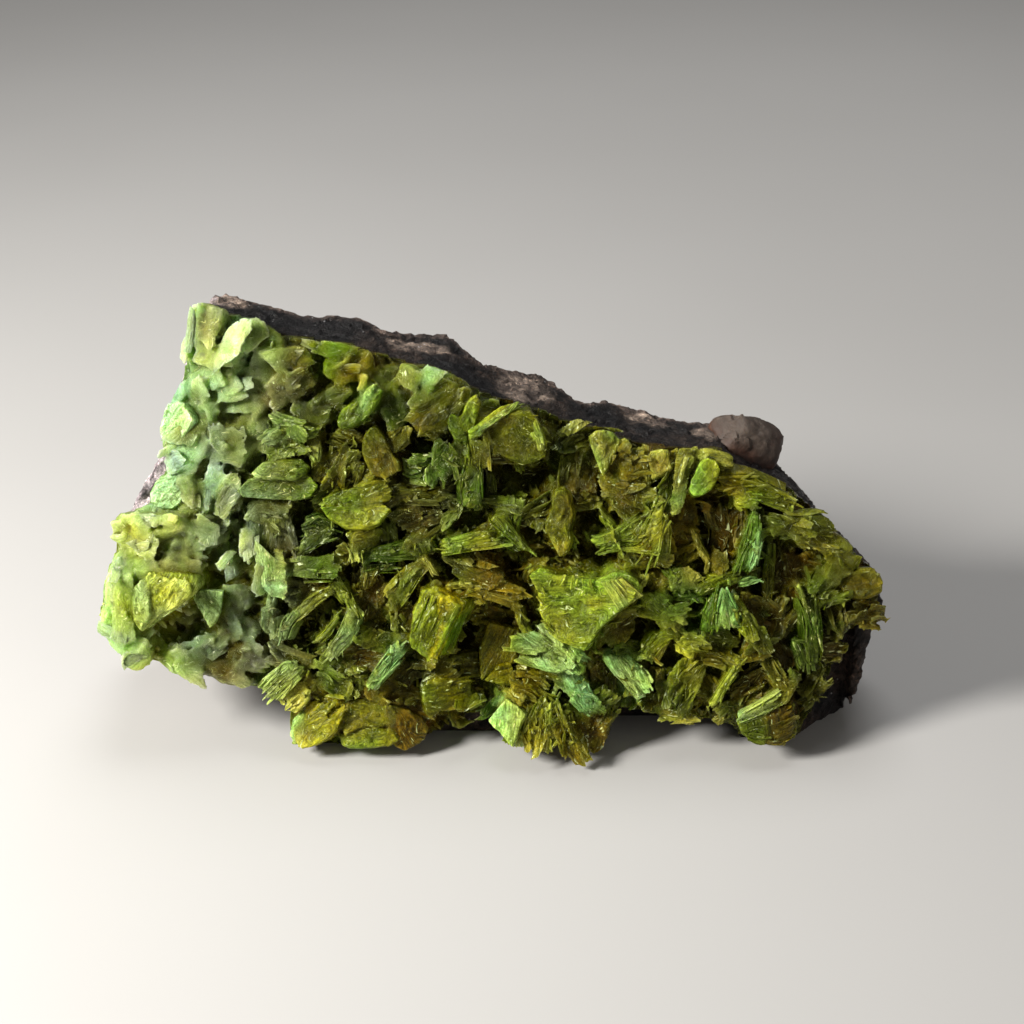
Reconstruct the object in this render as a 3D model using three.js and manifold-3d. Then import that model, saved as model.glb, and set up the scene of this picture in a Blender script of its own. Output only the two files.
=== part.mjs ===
// Autunite specimen: a wedge of dark matrix rock standing on its lower edge, with a
// crust of yellow-green tabular autunite grown over its broad front face.
// Millimetres, +Z up. The front face looks towards -Y and leans back.
import * as THREE from 'three';
import { mergeVertices } from 'three/addons/utils/BufferGeometryUtils.js';
import Module from 'manifold-3d';

const wasm = await Module();
wasm.setup();

// ---------------------------------------------------------------- dimensions
const FACE_LEAN = 18;          // lean of the crystal face from upright, degrees
const FACE_FOOT_Y = -6.5;      // where the plane of the face meets the floor
const CENTRE_X = -0.1;          // moves the specimen so that its box is centred on the origin
const CENTRE_Y = -0.518;
const SEAT_GAP = 0.3;          // clearance between neighbouring pieces
const CRUST_EDGE = 0.75;       // depth of the crust behind the face plane at its rim
const CRUST_DEEP = 2.9;        // depth of the crust away from its rim
const CRUST_RIM = 3.0;         // width over which the crust thickens
const CRUST_LEVEL = -0.35;     // mean level of the crust's surface
const FLOOR_CLEAR = 0.06;      // lowest point of the crystals above the floor
const ROOT_LEVEL = -1.2;       // how far the large crystals reach into the crust
const RING = 22;               // points round each cross-section of the matrix

// Cross-sections of the matrix along X:
// x, front top edge (y, z), rear top edge (y, z), front foot (y, z)
const SECTIONS = [
  [-20.8, -2.69, 8.49, -1.55, 8.2, -3.57, 5.8],
  [-20.13, -1.91, 10.9, -0.44, 10.64, -3.73, 5.29],
  [-19.47, -1.47, 12.24, 0.2, 12.01, -3.8, 5.06],
  [-18.7, -1.02, 13.62, 0.1, 13.4, -3.89, 4.8],
  [-17.76, -0.5, 15.24, 0.8, 15.04, -3.98, 4.51],
  [-16.79, 0.35, 17.85, 1.64, 17.7, -4.07, 4.25],
  [-15.82, 1.31, 20.81, 2.82, 20.71, -4.15, 4.0],
  [-14.95, 1.91, 22.63, 4.21, 22.43, -4.23, 3.76],
  [-13.85, 1.8, 22.3, 4.89, 22.18, -4.32, 3.47],
  [-12.43, 1.66, 21.86, 4.95, 21.76, -4.49, 2.95],
  [-10.86, 1.5, 21.39, 4.85, 21.28, -4.77, 2.08],
  [-9.54, 1.4, 21.09, 4.87, 20.98, -5.16, 0.9],
  [-8.38, 1.35, 20.94, 5.11, 20.86, -5.55, 0.0],
  [-6.9, 1.26, 20.65, 5.4, 20.6, -5.55, 0.0],
  [-5.04, 1.08, 20.08, 5.17, 20.01, -5.55, 0.0],
  [-3.19, 0.92, 19.6, 5.67, 19.58, -4.95, 0.0],
  [-1.33, 0.71, 18.94, 4.99, 18.84, -4.95, 0.0],
  [0.54, 0.4, 18.01, 4.88, 17.89, -4.95, 0.0],
  [2.41, 0.25, 17.53, 4.73, 17.39, -4.95, 0.0],
  [4.29, 0.05, 16.93, 4.08, 16.73, -4.95, 0.0],
  [5.9, -0.12, 16.39, 3.96, 16.17, -5.55, 0.0],
  [7.79, -0.32, 15.78, 4.03, 15.55, -3.55, 0.0],
  [9.68, -0.38, 15.61, 3.68, 15.35, -3.55, 0.0],
  [11.56, -0.4, 15.52, 3.52, 15.25, -3.55, 0.0],
  [13.19, -0.59, 14.95, 4.45, 14.74, -3.55, 0.0],
  [14.84, -0.9, 14.0, 5.05, 13.81, -5.55, 0.0],
  [16.1, -1.06, 13.49, 2.32, 13.1, -5.55, 0.0],
  [17.21, -1.35, 12.63, 1.46, 12.19, -5.22, 0.0],
  [18.33, -1.69, 11.58, 0.41, 11.09, -4.19, 0.0],
  [19.3, -2.03, 10.51, 0.32, 9.99, -3.44, 0.0],
  [20.15, -2.28, 9.75, -0.74, 9.21, -4.62, 1.63],
  [20.77, -2.42, 9.31, -1.42, 8.76, -3.69, 4.49],
  [21.33, -2.87, 7.94, -0.96, 7.37, -3.06, 6.42],
];
// rear foot of the matrix along X: x, y
const REAR_FOOT = [[-22, 0.5], [-20, 3.2], [-18, 5.2], [-14, 7.8], [-8, 9.4], [0, 9.7], [8, 9.0], [13, 8.2], [17, 6.2], [19.5, 3.6], [20.8, 1.2], [22, -0.6]];

// outline of the crust on the face plane: across, up the slope
const CRUST_OUTLINE = [
  [-15.25, 24.38], [-14.32, 24.07], [-13.55, 23.86], [-12.51, 23.75], [-11.79, 23.34], [-11.07, 22.81],
  [-9.92, 22.71], [-8.36, 22.5], [-7.31, 22.34], [-6.27, 21.97], [-5.22, 21.66], [-4.18, 21.34],
  [-3.13, 21.18], [-2.08, 20.81], [-1.29, 20.28], [-0.51, 19.86], [0.55, 19.43], [1.6, 19.22],
  [2.92, 18.79], [3.72, 18.37], [5.31, 17.94], [6.37, 17.72], [7.97, 17.03], [9.57, 16.87],
  [11.16, 16.76], [12.33, 16.87], [12.77, 16.11], [13.85, 15.62], [14.92, 15.24], [16.01, 14.7],
  [16.83, 13.94], [17.66, 13.28], [18.79, 11.86], [19.46, 11.19], [20.57, 10.36], [21.14, 9.75],
  [21.22, 9.09], [21.09, 8.36], [21.13, 7.52], [20.83, 6.96], [20.07, 6.96], [19.43, 6.62],
  [18.92, 5.71], [18.65, 4.29], [18.16, 2.87], [17.44, 1.6], [17.03, 0.68], [16.49, 0.39],
  [15.39, 0.21], [14.56, 0.33], [13.73, 0.68], [13.16, 1.25], [12.33, 1.6], [10.95, 1.77],
  [9.3, 1.83], [8.48, 1.95], [7.93, 2.18], [7.1, 2.23], [6.67, 1.95], [6.46, 0.85],
  [5.92, 0.33], [5.15, 0.27], [5.04, -0.37], [4.66, -0.43], [4.16, -0.13], [3.6, 0.39],
  [2.72, 0.39], [1.35, 0.16], [0.79, 0.56], [0.08, 1.37], [-0.36, 1.95], [-1.12, 1.95],
  [-1.95, 1.6], [-2.78, 0.97], [-3.61, 0.56], [-4.17, 0.1], [-4.99, -0.08], [-5.82, 0.21],
  [-6.65, 0.04], [-8.3, -0.08], [-9.95, 0.1], [-10.5, 0.27], [-11.04, 0.5], [-11.13, 1.25],
  [-10.99, 2.52], [-11.8, 2.87], [-12.88, 3.44], [-13.69, 3.55], [-15.05, 3.78], [-15.86, 4.18],
  [-16.94, 4.35], [-18.02, 4.69], [-18.55, 4.98], [-19.1, 4.92], [-19.73, 5.43], [-20.27, 5.6],
  [-20.79, 6.0], [-21.15, 6.51], [-21.28, 7.18], [-21.24, 7.97], [-21.02, 9.09], [-20.76, 10.09],
  [-20.33, 10.97], [-20.24, 11.86], [-20.02, 12.95], [-19.74, 13.28], [-18.72, 13.28], [-18.16, 14.05],
  [-18.07, 14.81], [-17.68, 15.24], [-17.23, 15.68], [-17.37, 16.33], [-17.49, 17.03], [-17.57, 17.83],
  [-17.26, 18.9], [-16.92, 19.38], [-16.42, 20.07], [-16.12, 20.92], [-16.06, 22.34], [-15.72, 23.13],
  [-15.59, 23.75],
];
// hollows between the crystals: across, up, half width, half height, depth
const HOLLOWS = [
  [1.61, 15.33, 1.82, 0.8, 2.2], [5.02, 11.25, 0.8, 1.93, 2.3], [2.38, 7.44, 0.75, 1.02, 2.3], [-1.66, 6.76, 0.91, 1.61, 2.5],
  [2.26, 11.92, 0.64, 0.75, 2.0], [0.96, 10.47, 0.64, 0.64, 1.8], [3.83, 3.1, 0.54, 0.64, 1.9], [-0.09, 2.75, 0.54, 0.86, 1.9],
  [-1.98, 0.43, 1.82, 0.64, 2.4], [-0.7, 1.94, 0.54, 0.86, 2.0], [-17.65, 6.3, 1.18, 0.75, 1.7], [11.75, 12.91, 1.07, 0.75, 1.9],
  [12.55, 11.36, 1.07, 0.75, 1.9], [8.86, 14.67, 0.38, 0.38, 1.3], [7.22, 13.35, 0.7, 0.43, 1.6], [7.25, 10.69, 0.75, 0.38, 1.5],
  [16.14, 10.81, 1.07, 1.61, 1.7], [15.94, 7.1, 0.7, 1.61, 1.6], [9.91, 8.0, 0.54, 0.54, 1.6], [-3.24, 13.46, 1.61, 0.64, 1.4],
  [-4.71, 16.31, 0.64, 0.64, 1.5], [-7.17, 16.31, 0.43, 0.64, 1.2], [-10.1, 16.85, 0.32, 0.43, 1.3], [-6.77, 9.02, 0.75, 1.5, 1.5],
  [-10.15, 6.53, 0.96, 0.64, 1.5], [-13.66, 8.0, 0.75, 0.75, 1.4], [-15.54, 10.14, 0.64, 0.86, 1.4], [-12.74, 16.31, 0.75, 0.38, 1.4],
  [-6.15, 6.98, 1.07, 0.38, 1.6], [11.11, 7.66, 0.43, 0.64, 1.2], [12.79, 6.08, 0.86, 0.38, 1.3], [14.4, 3.67, 0.86, 0.75, 1.4],
  [6.01, 5.39, 0.75, 0.75, 1.4], [18.84, 5.51, 0.75, 1.39, 1.2], [17.94, 1.77, 0.43, 0.86, 1.2], [-8.5, 19.06, 0.64, 0.86, 1.0],
  [-3.74, 17.18, 1.07, 0.54, 1.2], [-10.1, 19.12, 0.86, 0.43, 1.2], [8.18, 6.76, 0.64, 0.43, 1.2], [0.52, 6.08, 0.43, 0.54, 0.8],
  [-5.35, 8.79, 0.43, 0.86, 1.1], [-8.87, 12.36, 1.07, 0.54, 1.1], [-13.66, 11.25, 0.43, 0.75, 1.0], [11.38, 10.58, 0.54, 0.54, 1.2],
  [10.74, 4.93, 0.43, 0.75, 1.1], [9.56, 6.08, 0.32, 0.54, 1.0], [-9.96, 3.21, 0.54, 0.43, 1.0], [-12.62, 6.08, 0.75, 0.54, 1.0],
];

// Large crystals that stand out of the crust. Each part is an outline on the face
// (across, up), its level w over the face plane, and its tilt (nu, nv).
const LARGE = [
  { name: 'crown_book', cls: 'olive', parts: [
    {w: 1.5, nu: 0.0, nv: 0.0, p: [[3.06, 17.25], [2.96, 16.61], [2.39, 16.29], [1.7, 16.13], [0.55, 16.67], [0.03, 16.56], [-0.44, 17.46], [-0.49, 17.94], [0.55, 18.83], [1.08, 19.05], [2.12, 19.1], [2.54, 18.57]]},
    {w: 1.6, nu: -0.2, nv: 1.0, p: [[1.65, 19.38], [1.28, 19.01], [0.97, 19.06], [0.45, 18.8], [-0.59, 18.01], [-1.06, 17.85], [-1.17, 18.06], [0.56, 19.32], [1.18, 19.53]]},
    {w: 1.2, nu: 0.1, nv: -0.4, p: [[1.92, 16.13], [-0.19, 16.13], [-0.45, 16.45], [-0.18, 16.99], [1.13, 17.15], [1.39, 16.67]]},
  ] },
  { name: 'crown_spike', cls: 'lime', parts: [
    {w: 1.5, nu: -0.1, nv: 0.1, p: [[-0.48, 19.36], [-0.8, 18.1], [-1.12, 17.89], [-1.48, 18.26], [-1.48, 18.73], [-1.27, 19.31], [-0.95, 19.73], [-0.69, 19.88]]},
    {w: 1.5, nu: -0.2, nv: 0.1, p: [[-1.02, 16.51], [-1.33, 16.67], [-1.7, 17.2], [-2.16, 18.15], [-2.16, 18.62], [-1.94, 18.94], [-1.32, 18.57]]},
  ] },
  { name: 'triangular_book', cls: 'lime', parts: [
    {w: 2.3, nu: -0.15, nv: 0.1, p: [[7.77, 9.63], [7.62, 9.2], [5.84, 7.55], [5.06, 6.34], [3.73, 6.84], [3.2, 7.28], [2.66, 8.43], [2.76, 9.09], [2.13, 10.5], [2.65, 10.77], [3.44, 10.5], [5.03, 10.18], [6.45, 10.28], [7.14, 10.07]]},
    {w: 2.5, nu: -0.2, nv: 0.3, p: [[7.86, 9.79], [7.5, 9.41], [6.97, 9.85], [5.81, 10.28], [6.54, 10.66], [7.27, 10.55], [7.81, 10.12]]},
  ] },
  { name: 'striped_book', cls: 'green', parts: [
    {w: 2.2, nu: -0.35, nv: 0.1, p: [[-1.52, 8.84], [-2.87, 5.87], [-3.29, 5.81], [-3.67, 5.98], [-4.14, 6.37], [-4.4, 6.81], [-4.07, 7.96], [-4.17, 8.4], [-3.84, 8.95], [-3.68, 9.61], [-3.04, 9.77]]},
    {w: 2.3, nu: 0.25, nv: -0.1, p: [[-1.52, 8.87], [-2.86, 5.9], [-3.13, 6.06], [-2.62, 9.25], [-2.09, 9.2]]},
  ] },
  { name: 'square_plate', cls: 'grey', parts: [
    {w: 0.7, nu: 0.05, nv: 0.1, p: [[1.67, 7.04], [1.67, 6.43], [1.45, 5.19], [0.37, 4.85], [-0.56, 4.11], [-0.61, 5.02], [-0.61, 5.86], [-0.06, 7.49]]},
  ] },
  { name: 'small_square_plate', cls: 'olive', parts: [
    {w: 1.0, nu: 0.0, nv: 0.2, p: [[1.29, 4.26], [1.13, 3.92], [0.53, 3.98], [-0.28, 4.26], [0.48, 5.17], [1.02, 5.28], [1.23, 4.94]]},
  ] },
  { name: 'corner_block', cls: 'mint', parts: [
    {w: 2.0, nu: -0.35, nv: 0.25, p: [[1.93, 2.62], [1.18, 0.75], [-0.11, 2.33], [0.86, 3.57], [1.77, 2.9]]},
    {w: 1.7, nu: 0.6, nv: 0.0, p: [[2.21, 2.12], [1.94, 1.44], [1.61, 0.98], [1.18, 0.64], [1.94, 2.51]]},
  ] },
  { name: 'left_white_plate', cls: 'mint', parts: [
    {w: 1.0, nu: -0.55, nv: 0.35, p: [[-15.59, 18.49], [-16.13, 18.28], [-16.45, 17.96], [-16.57, 17.64], [-16.38, 17.27], [-16.9, 17.27], [-17.31, 17.59], [-17.4, 17.96], [-17.09, 19.13], [-16.81, 19.44], [-16.39, 19.55], [-16.08, 19.44], [-15.99, 19.02]]},
  ] },
  { name: 'green_triangle_plate', cls: 'green', parts: [
    {w: 1.5, nu: 0.05, nv: 0.1, p: [[-14.21, 9.37], [-14.35, 8.21], [-14.64, 7.6], [-14.97, 7.33], [-15.91, 9.31], [-15.54, 9.42]]},
  ] },
  { name: 'left_yellow_book', cls: 'yellow', parts: [
    {w: 2.0, nu: -0.25, nv: -0.05, p: [[-15.71, 9.44], [-15.88, 9.12], [-16.76, 8.46], [-17.24, 8.35], [-18.51, 7.19], [-18.71, 7.58], [-18.21, 9.23], [-18.33, 10.1], [-18.04, 10.64], [-16.79, 10.15], [-16.11, 10.15], [-15.8, 9.94]]},
    {w: 1.9, nu: -0.5, nv: 0.1, p: [[-18.08, 8.98], [-18.12, 8.1], [-18.36, 7.55], [-18.69, 7.27], [-18.98, 7.83], [-18.99, 8.93], [-18.84, 9.75], [-18.4, 10.13], [-18.16, 9.53]]},
  ] },
  { name: 'tall_centre_plate', cls: 'olive', parts: [
    {w: 1.8, nu: -0.05, nv: 0.05, p: [[4.39, 13.57], [4.23, 12.76], [4.29, 12.12], [4.03, 11.52], [3.72, 11.3], [2.97, 12.66], [2.92, 13.19], [3.28, 13.95], [3.28, 14.43], [3.49, 14.86], [3.85, 14.96], [4.12, 14.64]]},
  ] },
  { name: 'tall_olive_plate', cls: 'olive', parts: [
    {w: 1.4, nu: -0.1, nv: 0.05, p: [[-4.7, 15.85], [-5.5, 15.42], [-6.28, 15.63], [-6.68, 16.86], [-6.67, 17.45], [-6.45, 17.92], [-6.08, 18.24], [-5.77, 18.03], [-4.8, 16.28]]},
  ] },
  { name: 'pale_edged_plate', cls: 'green', parts: [
    {w: 1.6, nu: -0.5, nv: 0.1, p: [[-6.02, 20.53], [-6.04, 19.9], [-6.78, 18.69], [-6.72, 19.53], [-6.44, 20.21]]},
    {w: 1.7, nu: 0.0, nv: 0.2, p: [[-5.51, 20.12], [-5.71, 20.28], [-5.97, 19.97], [-6.46, 19.08], [-6.62, 18.55], [-6.09, 18.97]]},
    {w: 1.5, nu: -0.15, nv: 0.15, p: [[-6.64, 18.52], [-7.17, 18.2], [-7.69, 18.1], [-7.9, 18.26], [-7.94, 18.52], [-7.72, 19.1], [-7.14, 19.47], [-6.72, 19.57]]},
  ] },
  { name: 'crescent_plate', cls: 'lime', parts: [
    {w: 1.7, nu: 0.0, nv: 0.35, p: [[-5.18, 13.82], [-5.88, 13.01], [-6.41, 12.8], [-7.1, 12.74], [-7.62, 12.85], [-8.51, 13.39], [-8.86, 13.93], [-7.81, 13.93], [-7.34, 13.71], [-6.81, 13.93], [-5.6, 14.09]]},
    {w: 1.4, nu: 0.0, nv: 0.1, p: [[-5.08, 14.89], [-5.2, 14.24], [-5.78, 14.02], [-6.57, 14.08], [-7.36, 13.92], [-8.68, 13.97], [-8.88, 14.35], [-8.14, 14.78], [-7.24, 14.94], [-6.02, 15.42], [-5.44, 15.31]]},
  ] },
  { name: 'lower_olive_plate', cls: 'olive', parts: [
    {w: 1.1, nu: 0.1, nv: 0.05, p: [[-0.83, 3.16], [-0.99, 2.82], [-2.19, 2.54], [-2.73, 2.54], [-3.28, 2.08], [-3.54, 2.42], [-3.69, 3.79], [-3.36, 4.29], [-2.93, 4.46], [-0.98, 4.46], [-1.04, 3.73]]},
  ] },
  { name: 'back_olive_plate', cls: 'grey', parts: [
    {w: 0.4, nu: 0.1, nv: 0.1, p: [[-0.51, 4.98], [-0.51, 4.24], [-1.87, 4.19], [-2.52, 5.43], [-0.67, 5.72]]},
  ] },
  { name: 'upper_right_flake', cls: 'pale', parts: [
    {w: 1.3, nu: -0.2, nv: 0.3, p: [[9.59, 15.99], [8.55, 15.4], [8.27, 16.52], [8.42, 16.95], [9.36, 17.0], [9.42, 16.42]]},
  ] },
  { name: 'hooked_flake', cls: 'pale', parts: [
    {w: 1.3, nu: -0.1, nv: 0.2, p: [[6.89, 17.43], [6.47, 17.16], [6.22, 16.79], [6.06, 16.31], [6.17, 15.88], [5.97, 15.56], [5.75, 15.99], [5.74, 16.68], [5.27, 17.32], [5.16, 17.64], [5.52, 17.96], [5.94, 18.06], [6.41, 17.96]]},
  ] },
  { name: 'lime_fan', cls: 'lime', parts: [
    {w: 1.7, nu: -0.1, nv: 0.2, p: [[12.06, 15.96], [11.92, 15.43], [11.62, 14.94], [11.15, 14.62], [10.73, 14.57], [10.47, 14.84], [11.01, 16.38], [11.42, 16.6], [11.84, 16.38]]},
  ] },
  { name: 'lower_right_bulb', cls: 'green', parts: [
    {w: 1.9, nu: -0.1, nv: -0.1, p: [[15.0, 1.39], [14.8, 0.88], [14.14, 1.05], [13.59, 1.45], [13.31, 2.07], [14.11, 2.3], [14.74, 2.64], [14.97, 2.19]]},
    {w: 1.8, nu: 0.2, nv: -0.1, p: [[16.67, 1.81], [16.53, 1.24], [15.68, 0.9], [14.92, 0.85], [15.0, 1.7], [14.76, 2.66], [15.5, 3.06], [16.09, 3.11], [16.49, 2.55]]},
    {w: 2.05, nu: 0.0, nv: 0.0, p: [[15.83, 3.46], [14.73, 2.67], [13.45, 2.11], [13.27, 2.59], [15.69, 4.05]]},
  ] },
  { name: 'yellow_tuft', cls: 'yellow', parts: [
    {w: 1.3, nu: -0.35, nv: 0.2, p: [[-7.81, 2.95], [-7.93, 2.38], [-8.21, 1.98], [-8.38, 1.41], [-8.93, 0.95], [-9.7, 0.55], [-10.25, 0.44], [-10.57, 0.78], [-10.77, 1.41], [-10.7, 1.98], [-9.86, 3.12], [-8.55, 3.57], [-8.07, 3.4]]},
    {w: 1.3, nu: 0.0, nv: 0.2, p: [[-5.11, 2.38], [-5.39, 1.81], [-6.1, 1.64], [-6.8, 1.75], [-7.9, 1.18], [-8.15, 1.81], [-7.86, 2.95], [-7.47, 3.29], [-6.77, 3.4], [-6.07, 3.29], [-5.42, 3.0]]},
    {w: 1.4, nu: -0.1, nv: 0.1, p: [[-4.96, 0.99], [-5.45, 0.64], [-7.63, 0.47], [-8.06, 0.7], [-8.21, 1.22], [-7.34, 1.56], [-6.63, 1.67], [-5.33, 1.44]]},
    {w: 1.2, nu: 0.3, nv: 0.0, p: [[-3.33, 1.6], [-3.56, 0.97], [-4.1, 0.57], [-4.65, 0.29], [-5.19, 0.57], [-5.46, 1.2], [-5.17, 1.94], [-5.7, 2.91], [-5.0, 2.8], [-3.7, 2.23]]},
    {w: 0.9, nu: -0.7, nv: 0.1, p: [[-10.14, 2.24], [-10.48, 1.73], [-10.56, 1.1], [-10.35, 0.46], [-10.73, 0.64], [-10.99, 1.1], [-10.81, 1.96], [-10.36, 2.47]]},
  ] },
  { name: 'right_end_plate', cls: 'olive', parts: [
    {w: 1.3, nu: 0.0, nv: 0.2, p: [[20.95, 9.92], [20.93, 9.26], [20.36, 8.88], [19.5, 8.88], [18.56, 9.65], [19.07, 10.31], [19.7, 10.58], [20.5, 10.53]]},
  ] },
  { name: 'long_green_book', cls: 'green', parts: [
    {w: 1.5, nu: -0.1, nv: 0.35, p: [[-9.46, 16.13], [-9.74, 15.65], [-10.22, 15.33], [-11.63, 15.55], [-12.21, 15.44], [-12.57, 15.76], [-11.92, 16.35], [-10.44, 16.61], [-9.87, 16.51]]},
    {w: 1.3, nu: 0.0, nv: 0.2, p: [[-8.99, 15.03], [-9.42, 14.44], [-10.27, 14.22], [-12.21, 14.49], [-12.95, 14.44], [-13.26, 14.76], [-12.66, 15.4], [-11.81, 15.51], [-10.19, 15.24], [-9.45, 15.56]]},
  ] },
  { name: 'teal_fan', cls: 'teal', parts: [
    {w: 1.55, nu: 0.0, nv: 0.0, p: [[12.33, 9.59], [12.15, 8.38], [12.18, 7.16], [11.25, 6.96], [11.44, 8.18], [11.84, 9.4]]},
    {w: 1.8, nu: 0.0, nv: 0.0, p: [[13.55, 7.3], [12.06, 7.19], [12.32, 9.56], [12.59, 9.5]]},
  ] },
  { name: 'left_mint_plate', cls: 'mint', parts: [
    {w: 0.9, nu: -0.4, nv: 0.2, p: [[-16.13, 14.62], [-16.42, 14.03], [-16.86, 13.7], [-17.5, 13.7], [-18.07, 14.03], [-18.04, 14.57], [-17.59, 15.27], [-16.99, 15.65], [-16.46, 15.65], [-16.16, 15.27]]},
  ] },
  { name: 'curved_book', cls: 'lime', parts: [
    {w: 1.8, nu: 0.0, nv: 0.0, p: [[9.15, 14.4], [9.1, 11.38], [6.98, 11.6], [6.04, 11.82], [7.94, 11.93], [8.8, 14.36]]},
  ] },
];
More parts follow.
